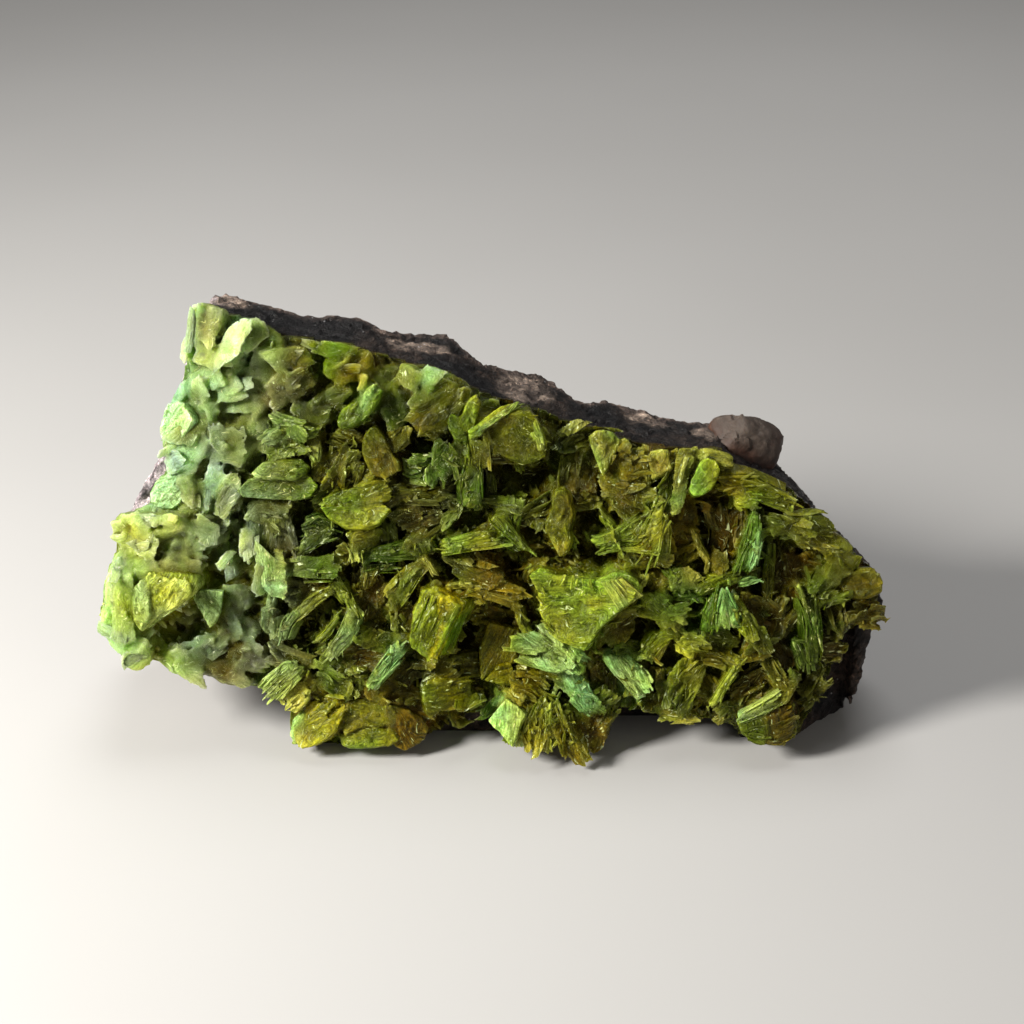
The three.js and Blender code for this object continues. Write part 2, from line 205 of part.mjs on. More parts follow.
// Smaller plates and books that grew together with the crust, in the same form.
const GROWN = [
  {w: 1.1, nu: 0.1, nv: -0.05, p: [[-1.07, 19.51], [-1.44, 18.93], [-1.96, 18.77], [-2.6, 17.45], [-3.95, 18.93], [-3.94, 19.46], [-3.41, 20.14], [-2.57, 20.62], [-1.22, 20.09]]},
  {w: 1.5, nu: -0.15, nv: 0.3, p: [[5.05, 5.65], [4.89, 5.1], [3.76, 5.32], [2.58, 5.04], [2.04, 5.49], [1.66, 6.6], [2.95, 7.16], [4.18, 6.6]]},
  {w: 1.2, nu: -0.4, nv: 0.2, p: [[-16.58, 12.63], [-17.71, 12.14], [-18.02, 11.32], [-18.34, 11.21], [-19.39, 11.49], [-19.94, 12.3], [-19.84, 13.12], [-19.46, 13.44], [-17.18, 13.5]]},
  {w: 1.25, nu: 0.0, nv: 0.0, p: [[16.3, 13.41], [13.73, 14.49], [11.93, 14.7], [11.92, 15.54], [13.6, 15.7], [16.18, 14.41]]},
  {w: 0.9, nu: 0.0, nv: 0.0, p: [[-10.3, 10.92], [-10.81, 13.87], [-12.29, 13.92], [-11.91, 12.56], [-12.16, 11.14]]},
  {w: 0.9, nu: 0.0, nv: 0.2, p: [[-6.69, 15.49], [-7.12, 15.11], [-8.72, 14.79], [-9.4, 15.11], [-9.49, 15.81], [-9.05, 16.56], [-7.61, 16.99]]},
  {w: 0.7, nu: 0.1, nv: 0.2, p: [[-3.91, 19.72], [-4.71, 18.23], [-5.34, 18.39], [-5.7, 18.98], [-5.48, 19.77], [-5.98, 20.93], [-4.67, 21.09]]},
  {w: 1.15, nu: 0.0, nv: 0.0, p: [[17.9, 5.0], [17.81, 7.41], [17.18, 9.9], [16.47, 9.32], [17.17, 4.75]]},
  {w: 1.5, nu: -0.3, nv: 0.1, p: [[-18.81, 10.08], [-18.94, 7.1], [-19.39, 6.6], [-20.16, 7.44], [-19.97, 10.19], [-19.38, 10.41]]},
  {w: 1.3, nu: -0.1, nv: 0.1, p: [[11.38, 4.36], [10.56, 2.38], [9.57, 3.17], [9.39, 3.74], [10.66, 5.26], [11.36, 5.26]]},
  {w: 1.0, nu: 0.0, nv: 0.0, p: [[-2.92, 11.19], [-7.03, 10.86], [-6.92, 11.52], [-3.45, 12.34]]},
  {w: 1.7, nu: 0.0, nv: 0.1, p: [[3.62, 1.21], [3.35, 0.87], [1.56, 0.64], [2.15, 2.12], [1.99, 2.68], [2.85, 3.3], [3.45, 2.68]]},
  {w: 2.35, nu: 0.0, nv: 0.0, p: [[-1.99, 8.88], [-2.96, 6.36], [-4.18, 6.91], [-3.25, 9.21]]},
  {w: 1.0, nu: 0.15, nv: -0.1, p: [[-9.31, 20.6], [-9.31, 20.23], [-10.7, 19.23], [-11.38, 19.08], [-11.74, 19.55], [-11.18, 20.81], [-9.76, 21.13]]},
  {w: 1.8, nu: 0.1, nv: 0.1, p: [[5.08, 0.22], [3.94, 0.5], [3.45, 1.81], [3.5, 2.83], [4.58, 2.32]]},
  {w: 1.55, nu: 0.0, nv: 0.0, p: [[8.58, 12.7], [7.32, 11.83], [5.84, 11.61], [5.2, 12.12], [6.46, 12.61], [7.92, 13.69]]},
  {w: 1.1, nu: -0.1, nv: 0.1, p: [[-12.7, 16.75], [-13.35, 16.06], [-14.59, 16.91], [-14.91, 16.81], [-15.15, 17.34], [-13.86, 18.14], [-13.18, 18.03]]},
  {w: 0.9, nu: 0.0, nv: 0.25, p: [[-5.48, 15.54], [-5.81, 14.35], [-8.94, 14.25], [-9.2, 14.68]]},
  {w: 0.9, nu: 0.1, nv: 0.0, p: [[6.62, 2.47], [6.26, 0.87], [5.72, 0.52], [5.11, 0.64], [5.05, 1.38], [5.31, 2.93], [6.13, 2.98]]},
  {w: 1.2, nu: 0.0, nv: 0.3, p: [[1.71, 9.35], [1.66, 8.79], [0.0, 8.85], [-0.64, 9.07], [-1.38, 10.12], [-0.53, 10.39]]},
  {w: 1.25, nu: 0.0, nv: 0.0, p: [[-9.96, 5.06], [-11.58, 3.15], [-12.68, 3.73], [-10.69, 5.53]]},
  {w: 1.4, nu: -0.1, nv: 0.2, p: [[8.46, 4.39], [8.41, 3.77], [7.55, 3.94], [6.51, 5.06], [6.28, 6.02], [7.41, 5.68]]},
  {w: 1.0, nu: 0.0, nv: 0.1, p: [[7.98, 15.83], [7.52, 15.34], [6.41, 15.34], [6.08, 16.63], [6.6, 16.9], [7.97, 16.79]]},
  {w: 0.8, nu: 0.1, nv: 0.2, p: [[-2.63, 14.93], [-2.85, 14.17], [-4.98, 13.85], [-5.61, 14.5], [-3.48, 15.25]]},
  {w: 1.45, nu: 0.0, nv: 0.0, p: [[0.7, 11.83], [-2.64, 11.28], [-2.63, 12.02], [0.39, 12.73]]},
  {w: 1.55, nu: 0.0, nv: 0.0, p: [[14.29, 11.91], [13.92, 10.27], [12.76, 10.25], [13.47, 11.72], [13.83, 13.88], [14.24, 13.69]]},
  {w: 1.5, nu: 0.0, nv: 0.0, p: [[8.51, 3.86], [7.74, 5.21], [6.76, 5.99], [6.34, 5.1], [8.09, 2.96]]},
  {w: 0.9, nu: 0.1, nv: 0.1, p: [[0.86, 9.82], [0.27, 9.65], [-2.66, 10.87], [-1.86, 11.2], [0.01, 10.92]]},
  {w: 1.65, nu: 0.0, nv: 0.0, p: [[-6.77, 7.8], [-7.22, 6.69], [-8.48, 5.46], [-9.05, 5.72], [-7.5, 8.49]]},
  {w: 0.9, nu: 0.0, nv: 0.2, p: [[-5.51, 6.04], [-6.51, 4.91], [-7.37, 5.14], [-7.74, 5.64], [-7.67, 6.2], [-6.91, 6.6]]},
  {w: 1.0, nu: 0.0, nv: 0.2, p: [[-15.38, 11.6], [-15.67, 11.16], [-16.42, 10.95], [-17.84, 11.33], [-17.97, 12.04], [-16.58, 12.31]]},
  {w: 0.9, nu: 0.1, nv: 0.0, p: [[-13.03, 4.12], [-13.57, 3.89], [-15.19, 4.34], [-15.68, 5.64], [-14.29, 5.25]]},
  {w: 1.8, nu: 0.0, nv: 0.0, p: [[3.34, 2.15], [3.24, 0.9], [1.83, 0.9], [2.31, 3.0], [3.23, 3.11]]},
  {w: 1.2, nu: 0.0, nv: 0.2, p: [[-7.08, 4.55], [-7.81, 3.42], [-8.4, 3.42], [-8.92, 4.27], [-8.91, 4.72], [-7.82, 5.4], [-7.23, 5.17]]},
  {w: 1.15, nu: 0.0, nv: 0.0, p: [[18.95, 11.52], [18.53, 10.99], [15.9, 13.17], [16.43, 13.58], [17.62, 12.93]]},
  {w: 1.85, nu: 0.0, nv: 0.0, p: [[16.58, 1.36], [15.02, 1.02], [14.96, 2.52], [16.35, 2.98]]},
  {w: 1.45, nu: 0.0, nv: 0.0, p: [[-0.4, 13.88], [-1.46, 13.86], [-1.5, 15.1], [-1.23, 16.33], [-0.44, 16.24]]},
  {w: 1.3, nu: -0.1, nv: 0.1, p: [[5.62, 3.17], [5.41, 2.6], [4.97, 2.49], [3.77, 4.98], [5.34, 4.13]]},
  {w: 1.6, nu: 0.1, nv: 0.1, p: [[14.95, 6.19], [14.47, 6.08], [13.47, 7.13], [13.34, 8.02], [12.67, 9.18], [13.32, 8.9], [14.93, 6.8]]},
  {w: 1.6, nu: 0.0, nv: 0.0, p: [[10.36, 7.8], [8.84, 9.45], [8.0, 8.79], [9.52, 7.13]]},
  {w: 0.8, nu: 0.2, nv: 0.2, p: [[-8.58, 18.99], [-9.19, 17.77], [-9.7, 18.25], [-11.43, 18.57], [-9.94, 19.31], [-9.15, 19.42]]},
  {w: 1.2, nu: 0.0, nv: 0.2, p: [[18.98, 11.54], [18.63, 11.16], [16.27, 11.76], [17.5, 12.74], [18.15, 12.52]]},
  {w: 1.2, nu: -0.1, nv: 0.1, p: [[-3.46, 10.39], [-5.08, 8.46], [-5.29, 9.01], [-5.02, 9.35], [-5.39, 9.62], [-4.36, 10.67], [-3.66, 10.83]]},
  {w: 1.4, nu: 0.0, nv: 0.0, p: [[11.41, 4.84], [10.38, 2.81], [9.6, 3.83], [11.18, 5.51]]},
  {w: 1.75, nu: 0.0, nv: 0.0, p: [[-4.33, 6.19], [-6.34, 3.84], [-6.83, 4.04], [-4.91, 6.72]]},
  {w: 1.1, nu: 0.0, nv: 0.2, p: [[8.58, 14.39], [7.0, 14.29], [6.25, 14.66], [6.46, 15.2], [7.93, 15.63]]},
  {w: 1.1, nu: -0.3, nv: 0.3, p: [[-17.95, 10.86], [-18.79, 10.04], [-19.84, 10.37], [-20.17, 10.09], [-20.19, 10.86], [-19.79, 11.41], [-18.1, 11.19]]},
  {w: 0.8, nu: -0.2, nv: -0.1, p: [[-14.13, 19.42], [-14.68, 18.51], [-15.21, 18.46], [-15.71, 19.26], [-15.56, 20.42], [-15.24, 20.58]]},
  {w: 0.9, nu: 0.0, nv: 0.1, p: [[-6.22, 21.74], [-6.44, 20.59], [-7.91, 20.54], [-8.16, 20.8], [-7.78, 21.58], [-7.25, 21.9], [-6.63, 22.11]]},
  {w: 0.7, nu: -0.35, nv: 0.15, p: [[-13.88, 23.8], [-14.23, 22.76], [-14.66, 22.55], [-15.07, 22.61], [-15.24, 23.7], [-14.74, 24.58], [-13.92, 24.32]]},
  {w: 0.6, nu: 0.1, nv: 0.1, p: [[-11.66, 18.7], [-12.0, 17.9], [-12.64, 17.74], [-13.02, 18.96], [-12.25, 19.92], [-11.74, 19.39]]},
  {w: 1.3, nu: 0.1, nv: 0.0, p: [[-15.46, 10.96], [-16.09, 9.92], [-17.72, 10.31], [-17.85, 10.96]]},
  {w: 0.8, nu: 0.0, nv: 0.0, p: [[-12.03, 12.54], [-12.3, 13.9], [-13.05, 13.9], [-12.72, 10.9], [-12.18, 10.9]]},
  {w: 1.2, nu: 0.0, nv: 0.3, p: [[-8.2, 10.56], [-8.47, 9.95], [-9.17, 9.95], [-10.48, 10.61], [-9.3, 11.21], [-8.5, 11.05]]},
  {w: 1.1, nu: 0.0, nv: 0.2, p: [[16.45, 12.93], [16.26, 12.39], [15.51, 12.5], [14.89, 12.17], [14.34, 12.61], [14.42, 13.58], [15.16, 13.58]]},
  {w: 0.8, nu: -0.7, nv: 0.1, p: [[-19.99, 9.79], [-20.33, 7.07], [-20.82, 7.07], [-21.01, 7.57], [-20.52, 9.91], [-20.23, 10.35]]},
  {w: 1.6, nu: 0.0, nv: 0.0, p: [[8.85, 14.14], [7.94, 11.98], [6.04, 11.88], [5.52, 12.15], [7.42, 12.48], [8.55, 14.31]]},
];

const COLOURS = {
  mint: 0xbfe6ac, lime: 0x93ad33, yellow: 0x9c9718, olive: 0x6c6a1c, green: 0x55792c,
  teal: 0x44704a, grey: 0x57582f, pale: 0xb4bb78, ochre: 0x6a5415,
};

// ---------------------------------------------------------------- helpers
const lean = THREE.MathUtils.degToRad(FACE_LEAN);
const FACE = new THREE.Matrix4().makeBasis(
  new THREE.Vector3(1, 0, 0),
  new THREE.Vector3(0, Math.sin(lean), Math.cos(lean)),
  new THREE.Vector3(0, -Math.cos(lean), Math.sin(lean)),
).setPosition(0, FACE_FOOT_Y, 0);

const hash = (a, b, c) => {
  const s = Math.sin(a * 127.1 + b * 311.7 + c * 74.7) * 43758.5453;
  return (s - Math.floor(s)) * 2 - 1;
};
const smooth = (a, b, x) => {
  const t = Math.min(1, Math.max(0, (x - a) / (b - a)));
  return t * t * (3 - 2 * t);
};
const along = (table, x, k) => {
  if (x <= table[0][0]) return table[0][k];
  for (let i = 1; i < table.length; i++) {
    if (x <= table[i][0]) {
      const t = (x - table[i - 1][0]) / (table[i][0] - table[i - 1][0]);
      return table[i - 1][k] * (1 - t) + table[i][k] * t;
    }
  }
  return table[table.length - 1][k];
};
const signedArea = (p) => {
  let a = 0;
  for (let i = 0; i < p.length; i++) {
    const [x0, y0] = p[i];
    const [x1, y1] = p[(i + 1) % p.length];
    a += x0 * y1 - x1 * y0;
  }
  return a / 2;
};
const ccw = (p) => (signedArea(p) < 0 ? [...p].reverse() : p);
const cross = (o, a, b) => (a[0] - o[0]) * (b[1] - o[1]) - (a[1] - o[1]) * (b[0] - o[0]);
const hull = (pts) => {
  const s = [...pts].sort((a, b) => a[0] - b[0] || a[1] - b[1]);
  const half = (list) => {
    const h = [];
    for (const p of list) {
      while (h.length > 1 && cross(h[h.length - 2], h[h.length - 1], p) <= 1e-6) h.pop();
      h.push(p);
    }
    h.pop();
    return h;
  };
  return [...half(s), ...half(s.reverse())];
};
// outline moved outwards by d, with its mitres limited
const offset = (poly, d) => {
  const p = ccw(poly);
  const n = p.length;
  return p.map((q, i) => {
    const a = p[(i + n - 1) % n];
    const b = p[(i + 1) % n];
    const e0 = new THREE.Vector2(q[0] - a[0], q[1] - a[1]).normalize();
    const e1 = new THREE.Vector2(b[0] - q[0], b[1] - q[1]).normalize();
    const m = new THREE.Vector2(e0.y + e1.y, -e0.x - e1.x);
    const len = m.length();
    if (len < 1e-4) return [q[0] + e0.y * d, q[1] - e0.x * d];
    m.divideScalar(len);
    const k = Math.min(1.6, 1 / Math.max(0.2, m.x * e0.y - m.y * e0.x));
    return [q[0] + m.x * d * k, q[1] + m.y * d * k];
  });
};
const outlineDistance = (u, v) => {
  let best = 1e9;
  let inside = false;
  const p = CRUST_OUTLINE;
  for (let i = 0, j = p.length - 1; i < p.length; j = i++) {
    const [x0, y0] = p[j];
    const [x1, y1] = p[i];
    const dx = x1 - x0;
    const dy = y1 - y0;
    const t = Math.min(1, Math.max(0, ((u - x0) * dx + (v - y0) * dy) / (dx * dx + dy * dy)));
    best = Math.min(best, Math.hypot(u - x0 - t * dx, v - y0 - t * dy));
    if ((y0 > v) !== (y1 > v) && u < ((x1 - x0) * (v - y0)) / (y1 - y0) + x0) inside = !inside;
  }
  return inside ? best : -best;
};
const solid = (geometry, matrix) => {
  const g = geometry.clone();
  if (matrix) g.applyMatrix4(matrix);
  g.deleteAttribute('normal');
  g.deleteAttribute('uv');
  const m = mergeVertices(g, 1e-4);
  return new wasm.Manifold(new wasm.Mesh({
    numProp: 3,
    vertProperties: new Float32Array(m.attributes.position.array),
    triVerts: new Uint32Array(m.index.array),
  }));
};
const largest = (s) => s.decompose().reduce((a, b) => (b.volume() > a.volume() ? b : a));
// Joins the ends of edges shorter than `limit`, so that cuts leave no slivers. An edge
// is joined only where that keeps the surface closed and turns no facet over.
const tidy = (pos, tri, limit) => {
  const count = pos.length / 3;
  const around = Array.from({ length: count }, () => new Set());
  const faces = [];
  for (let f = 0; f < tri.length / 3; f++) {
    faces.push([tri[3 * f], tri[3 * f + 1], tri[3 * f + 2]]);
    for (const v of faces[f]) around[v].add(f);
  }
  const at = (v) => new THREE.Vector3(pos[3 * v], pos[3 * v + 1], pos[3 * v + 2]);
  const normal = (a, b, c) => b.clone().sub(a).cross(c.clone().sub(a));
  const ring = (v) => {
    const s = new Set();
    for (const f of around[v]) for (const q of faces[f]) if (q !== v) s.add(q);
    return s;
  };
  for (let pass = 0; pass < 6; pass++) {
    const edges = [];
    faces.forEach((t, f) => {
      if (!t) return;
      for (let k = 0; k < 3; k++) {
        const a = t[k];
        const b = t[(k + 1) % 3];
        if (a < b) {
          const d = at(a).distanceTo(at(b));
          if (d < limit) edges.push([d, a, b]);
        }
      }
    });
    if (!edges.length) break;
    edges.sort((x, y) => x[0] - y[0]);
    let done = 0;
    for (const [, a, b] of edges) {
      if (!around[a].size || !around[b].size) continue;
      const ra = ring(a);
      if (!ra.has(b)) continue;
      const rb = ring(b);
      let common = 0;
      for (const q of ra) if (rb.has(q)) common += 1;
      if (common !== 2) continue;
      const keep = pos[3 * a + 2] <= pos[3 * b + 2] ? a : b;
      const gone = keep === a ? b : a;
      let fine = true;
      for (const f of around[gone]) {
        const t = faces[f];
        if (t.includes(keep)) continue;
        const before = normal(...t.map(at));
        const after = normal(...t.map((q) => at(q === gone ? keep : q)));
        const area = after.length();
        if (area < 2e-4 || before.dot(after) < (before.length() < 2e-3 ? -1 : 0.5 * before.length() * area)) { fine = false; break; }
      }
      if (!fine) continue;
      for (const f of [...around[gone]]) {
        const t = faces[f];
        if (t.includes(keep)) {
          for (const q of t) around[q].delete(f);
          faces[f] = null;
        } else {
          faces[f] = t.map((q) => (q === gone ? keep : q));
          around[keep].add(f);
          around[gone].delete(f);
        }
      }
      done += 1;
    }
    if (!done) break;
  }
  const map = new Map();
  const outPos = [];
  const outTri = [];
  for (const t of faces) {
    if (!t) continue;
    for (const v of t) {
      if (!map.has(v)) { map.set(v, outPos.length / 3); outPos.push(pos[3 * v], pos[3 * v + 1], pos[3 * v + 2]); }
      outTri.push(map.get(v));
    }
  }
  return [new Float32Array(outPos), new Uint32Array(outTri)];
};
const meshOf = (name, s, colour, roughness, shortest = 0.06) => {
  const m = largest(s).getMesh();
  const raw = new Float32Array(m.numVert * 3);
  for (let i = 0; i < m.numVert; i++) {
    for (let k = 0; k < 3; k++) raw[i * 3 + k] = m.vertProperties[i * m.numProp + k];
  }
  const [pos, tri] = tidy(raw, m.triVerts, shortest);
  const g = new THREE.BufferGeometry();
  g.setAttribute('position', new THREE.BufferAttribute(pos, 3));
  g.setIndex(new THREE.BufferAttribute(tri, 1));
  g.translate(CENTRE_X, CENTRE_Y, 0);
  g.computeVertexNormals();
  const mesh = new THREE.Mesh(g, new THREE.MeshStandardMaterial({ color: colour, roughness, metalness: 0 }));
  mesh.name = name;
  return mesh;
};

// ---------------------------------------------------------------- face surfaces
// rear surface of the crust, which the matrix follows
const rearLevel = (u, v) => {
  const d = outlineDistance(u, v);
  return -CRUST_EDGE - (CRUST_DEEP - CRUST_EDGE) * smooth(0, CRUST_RIM, d);
};
// front surface of the crust between the crystals
const frontLevel = (u, v) => {
  let w = CRUST_LEVEL + 0.22 * hash(Math.round(u * 7), Math.round(v * 7), 3);
  for (const [cu, cv, ru, rv, depth] of HOLLOWS) {
    const r = Math.hypot((u - cu) / ru, (v - cv) / rv);
    if (r < 1.25) w = Math.min(w, CRUST_LEVEL - depth * (1 - smooth(0.55, 1.25, r)));
  }
  return Math.max(w, rearLevel(u, v) + 0.5);
};
// a block over the face with one displaced side
const faceBlock = (nu, nv, w0, w1, level, side) => {
  const u0 = -23, u1 = 23.5, v0 = -2, v1 = 26.5;
  const g = new THREE.BoxGeometry(u1 - u0, v1 - v0, w1 - w0, nu, nv, 1);
  g.translate((u0 + u1) / 2, (v0 + v1) / 2, (w0 + w1) / 2);
  const p = g.attributes.position;
  for (let i = 0; i < p.count; i++) {
    const onSide = side > 0 ? p.getZ(i) > w1 - 1e-6 : p.getZ(i) < w0 + 1e-6;
    if (onSide) p.setZ(i, level(p.getX(i), p.getY(i)));
  }
  return solid(g, FACE);
};
// an upright prism on the face plane, its top tilted
const prism = (poly, bottom, top, nu = 0, nv = 0) => {
  const p = ccw(poly);
  const shape = new THREE.Shape(p.map(([x, y]) => new THREE.Vector2(x, y)));
  const g = new THREE.ExtrudeGeometry(shape, { depth: 1, bevelEnabled: false, steps: 1 });
  let cu = 0;
  let cv = 0;
  for (const [x, y] of p) { cu += x / p.length; cv += y / p.length; }
  const q = g.attributes.position;
  for (let i = 0; i < q.count; i++) {
    const w = q.getZ(i) > 0.5
      ? Math.max(bottom + 0.3, top - nu * (q.getX(i) - cu) - nv * (q.getY(i) - cv))
      : bottom;
    q.setZ(i, w);
  }
  return solid(g, FACE);
};

// ---------------------------------------------------------------- matrix rock
// A loft along X: a cylinder whose rings are moved onto the cross-sections.
const sectionRing = (k) => {
  const [x, y1, z1, y2, z2, y3, z3] = SECTIONS[k];
  const yb = Math.max(along(REAR_FOOT, x, 1), y2 + 0.8);
  const zb = Math.max(0, z3 - 0.3 * (yb - y3));
  const corners = [
    [y3, z3], [y1, z1], [y2, z2],
    [y2 + 0.42 * (yb - y2) + 0.35 * hash(k, 1, 5), z2 * 0.7 + zb * 0.3 + 0.5 * hash(k, 2, 5)],
    [y2 + 0.86 * (yb - y2) + 0.35 * hash(k, 3, 5), z2 * 0.36 + zb * 0.64 + 0.5 * hash(k, 4, 5)],
    [yb, zb + 0.12 * (z2 - zb)], [yb - 0.5, zb],
  ];
  const counts = [5, 3, 3, 3, 2, 1, 5];
  const ring = [];
  corners.forEach((a, i) => {
    const b = corners[(i + 1) % corners.length];
    for (let j = 0; j < counts[i]; j++) {
      const t = j / counts[i];
      let y = a[0] * (1 - t) + b[0] * t;
      let z = a[1] * (1 - t) + b[1] * t;
      if (j > 0 && i >= 2 && i <= 4) {
        y += 0.3 * hash(k, i, j);
        z += 0.3 * hash(k, j, i + 9);
      }
      if (j > 0 && i === 1) z += 0.16 * hash(k, j, 31);
      ring.push([x, y, Math.max(0, z)]);
    }
  });
  return ring;
};
const rings = SECTIONS.map((s, k) => sectionRing(k));
const rockGeometry = new THREE.CylinderGeometry(1, 1, 1, RING, SECTIONS.length - 1, false);
{
  const p = rockGeometry.attributes.position;
  const last = SECTIONS.length - 1;
  for (let i = 0; i < p.count; i++) {
    const k = Math.round((0.5 - p.getY(i)) * last);
    const ring = rings[k];
    if (Math.hypot(p.getX(i), p.getZ(i)) < 0.5) {
      const c = [0, 0, 0];
      for (const q of ring) for (let m = 0; m < 3; m++) c[m] += q[m] / ring.length;
      p.setXYZ(i, c[0] + (k === 0 ? -0.2 : 0.15), c[1], c[2]);
    } else {
      const a = Math.atan2(p.getX(i), p.getZ(i));
      const j = ((Math.round((a / (2 * Math.PI)) * RING) % RING) + RING) % RING;
      p.setXYZ(i, ...ring[j]);
    }
  }
}
let rock = solid(rockGeometry);
if (rock.volume() < 0) throw new Error('matrix rock is inside out');
const rear = (u, v) => rearLevel(u, v);
rock = rock.subtract(faceBlock(18, 11, -8, 12, (u, v) => rear(u, v) - SEAT_GAP, -1));

// quartz grain: a rounded lump let into the top of the matrix
const GRAIN = { at: [14.13, 2.13, 14.63], radii: [2.3, 2.0, 1.55], turn: -0.33 };
const lump = (grow) => {
  const g = new THREE.SphereGeometry(1, 14, 9);
  const p = g.attributes.position;
  for (let i = 0; i < p.count; i++) {
    const x = p.getX(i), y = p.getY(i), z = p.getZ(i);
    const f = 1 + 0.07 * Math.sin(3.1 * x + 1) + 0.06 * Math.sin(4.3 * y + 2 * z);
    p.setXYZ(i, x * (GRAIN.radii[0] * f + grow), y * (GRAIN.radii[1] * f + grow), z * (GRAIN.radii[2] * f + grow));
  }
  g.rotateY(-GRAIN.turn);
  g.translate(...GRAIN.at);
  return solid(g);
};
rock = rock.subtract(lump(SEAT_GAP));
const crustClear = faceBlock(18, 11, -8, 12, (u, v) => rear(u, v), -1);
const grain = lump(0).subtract(crustClear);

// ---------------------------------------------------------------- crust and crystals
const aboveFloor = solid(new THREE.BoxGeometry(80, 80, 80).translate(0, 0, 40 + FLOOR_CLEAR));
const behind = crustClear;

const outlineShape = new THREE.Shape(ccw(CRUST_OUTLINE).map(([x, y]) => new THREE.Vector2(x, y)));
let crust = solid(new THREE.ExtrudeGeometry(outlineShape, { depth: 10, bevelEnabled: false }).translate(0, 0, -7), FACE);
crust = crust.intersect(faceBlock(27, 17, -9, 3, frontLevel, 1));

crust = wasm.Manifold.union([crust, ...GROWN.map(({ w, nu, nv, p }) => prism(p, Math.max(-1.6, CRUST_LEVEL - 1.2), w, nu, nv))]);
crust = crust.intersect(behind).intersect(aboveFloor);

const large = [];
let taken = null;
for (const { name, cls, parts } of LARGE) {
  let body = null;
  let seat = null;
  for (const { w, nu, nv, p } of parts) {
    const one = prism(offset(p, 0.03), ROOT_LEVEL, w, nu, nv);
    body = body ? body.add(one) : one;
    const hole = prism(offset(hull(p), SEAT_GAP + 0.03), ROOT_LEVEL - SEAT_GAP, 9);
    seat = seat ? seat.add(hole) : hole;
  }
  body = body.intersect(behind).intersect(aboveFloor);
  if (taken) body = body.subtract(taken);
  body = largest(body);
  taken = taken ? taken.add(seat) : seat;
  large.push([name, cls, body]);
}
crust = crust.subtract(taken);

// ---------------------------------------------------------------- the specimen
const specimen = new THREE.Group();
specimen.name = 'autunite_specimen';
specimen.add(meshOf('matrix_rock', rock, 0x2b241f, 0.85, 0.15));
specimen.add(meshOf('quartz_grain', grain, 0x5b4439, 0.4));
specimen.add(meshOf('autunite_crust', crust, 0x5f6a1e, 0.45, 0.2));
for (const [name, cls, body] of large) specimen.add(meshOf(name, body, COLOURS[cls], 0.3));

export default specimen;
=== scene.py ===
import math
import bpy
import numpy as np
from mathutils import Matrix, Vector, geometry


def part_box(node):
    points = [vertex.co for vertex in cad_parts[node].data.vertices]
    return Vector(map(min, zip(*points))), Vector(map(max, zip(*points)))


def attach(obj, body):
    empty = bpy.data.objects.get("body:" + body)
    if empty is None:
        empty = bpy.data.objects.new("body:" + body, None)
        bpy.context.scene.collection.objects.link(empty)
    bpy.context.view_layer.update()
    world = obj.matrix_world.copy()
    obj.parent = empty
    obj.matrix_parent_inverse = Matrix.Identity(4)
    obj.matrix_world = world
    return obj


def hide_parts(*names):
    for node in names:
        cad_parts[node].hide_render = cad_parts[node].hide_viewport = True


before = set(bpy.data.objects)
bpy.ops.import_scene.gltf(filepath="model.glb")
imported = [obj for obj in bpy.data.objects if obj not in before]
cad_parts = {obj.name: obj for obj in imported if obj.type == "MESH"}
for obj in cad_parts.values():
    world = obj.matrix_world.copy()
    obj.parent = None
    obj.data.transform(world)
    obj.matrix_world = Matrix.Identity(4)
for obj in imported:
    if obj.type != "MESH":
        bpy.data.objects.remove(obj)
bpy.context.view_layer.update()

# All tables are in millimetres. The crust is described in face coordinates:
# u to the right, v up the leaning face, w out of it. SHIFT centres the specimen.
MM = 0.001
LEAN = math.radians(18.0)
SHIFT = np.array((-0.1, -0.518, 0.0))
FOOT = np.array((0.0, -6.5, 0.0))
EU = np.array((1.0, 0.0, 0.0))
EV = np.array((0.0, math.sin(LEAN), math.cos(LEAN)))
EW = np.array((0.0, -math.cos(LEAN), math.sin(LEAN)))
CRUST_LEVEL = -0.35
CRUST_EDGE, CRUST_DEEP, CRUST_RIM = 0.75, 2.9, 3.0

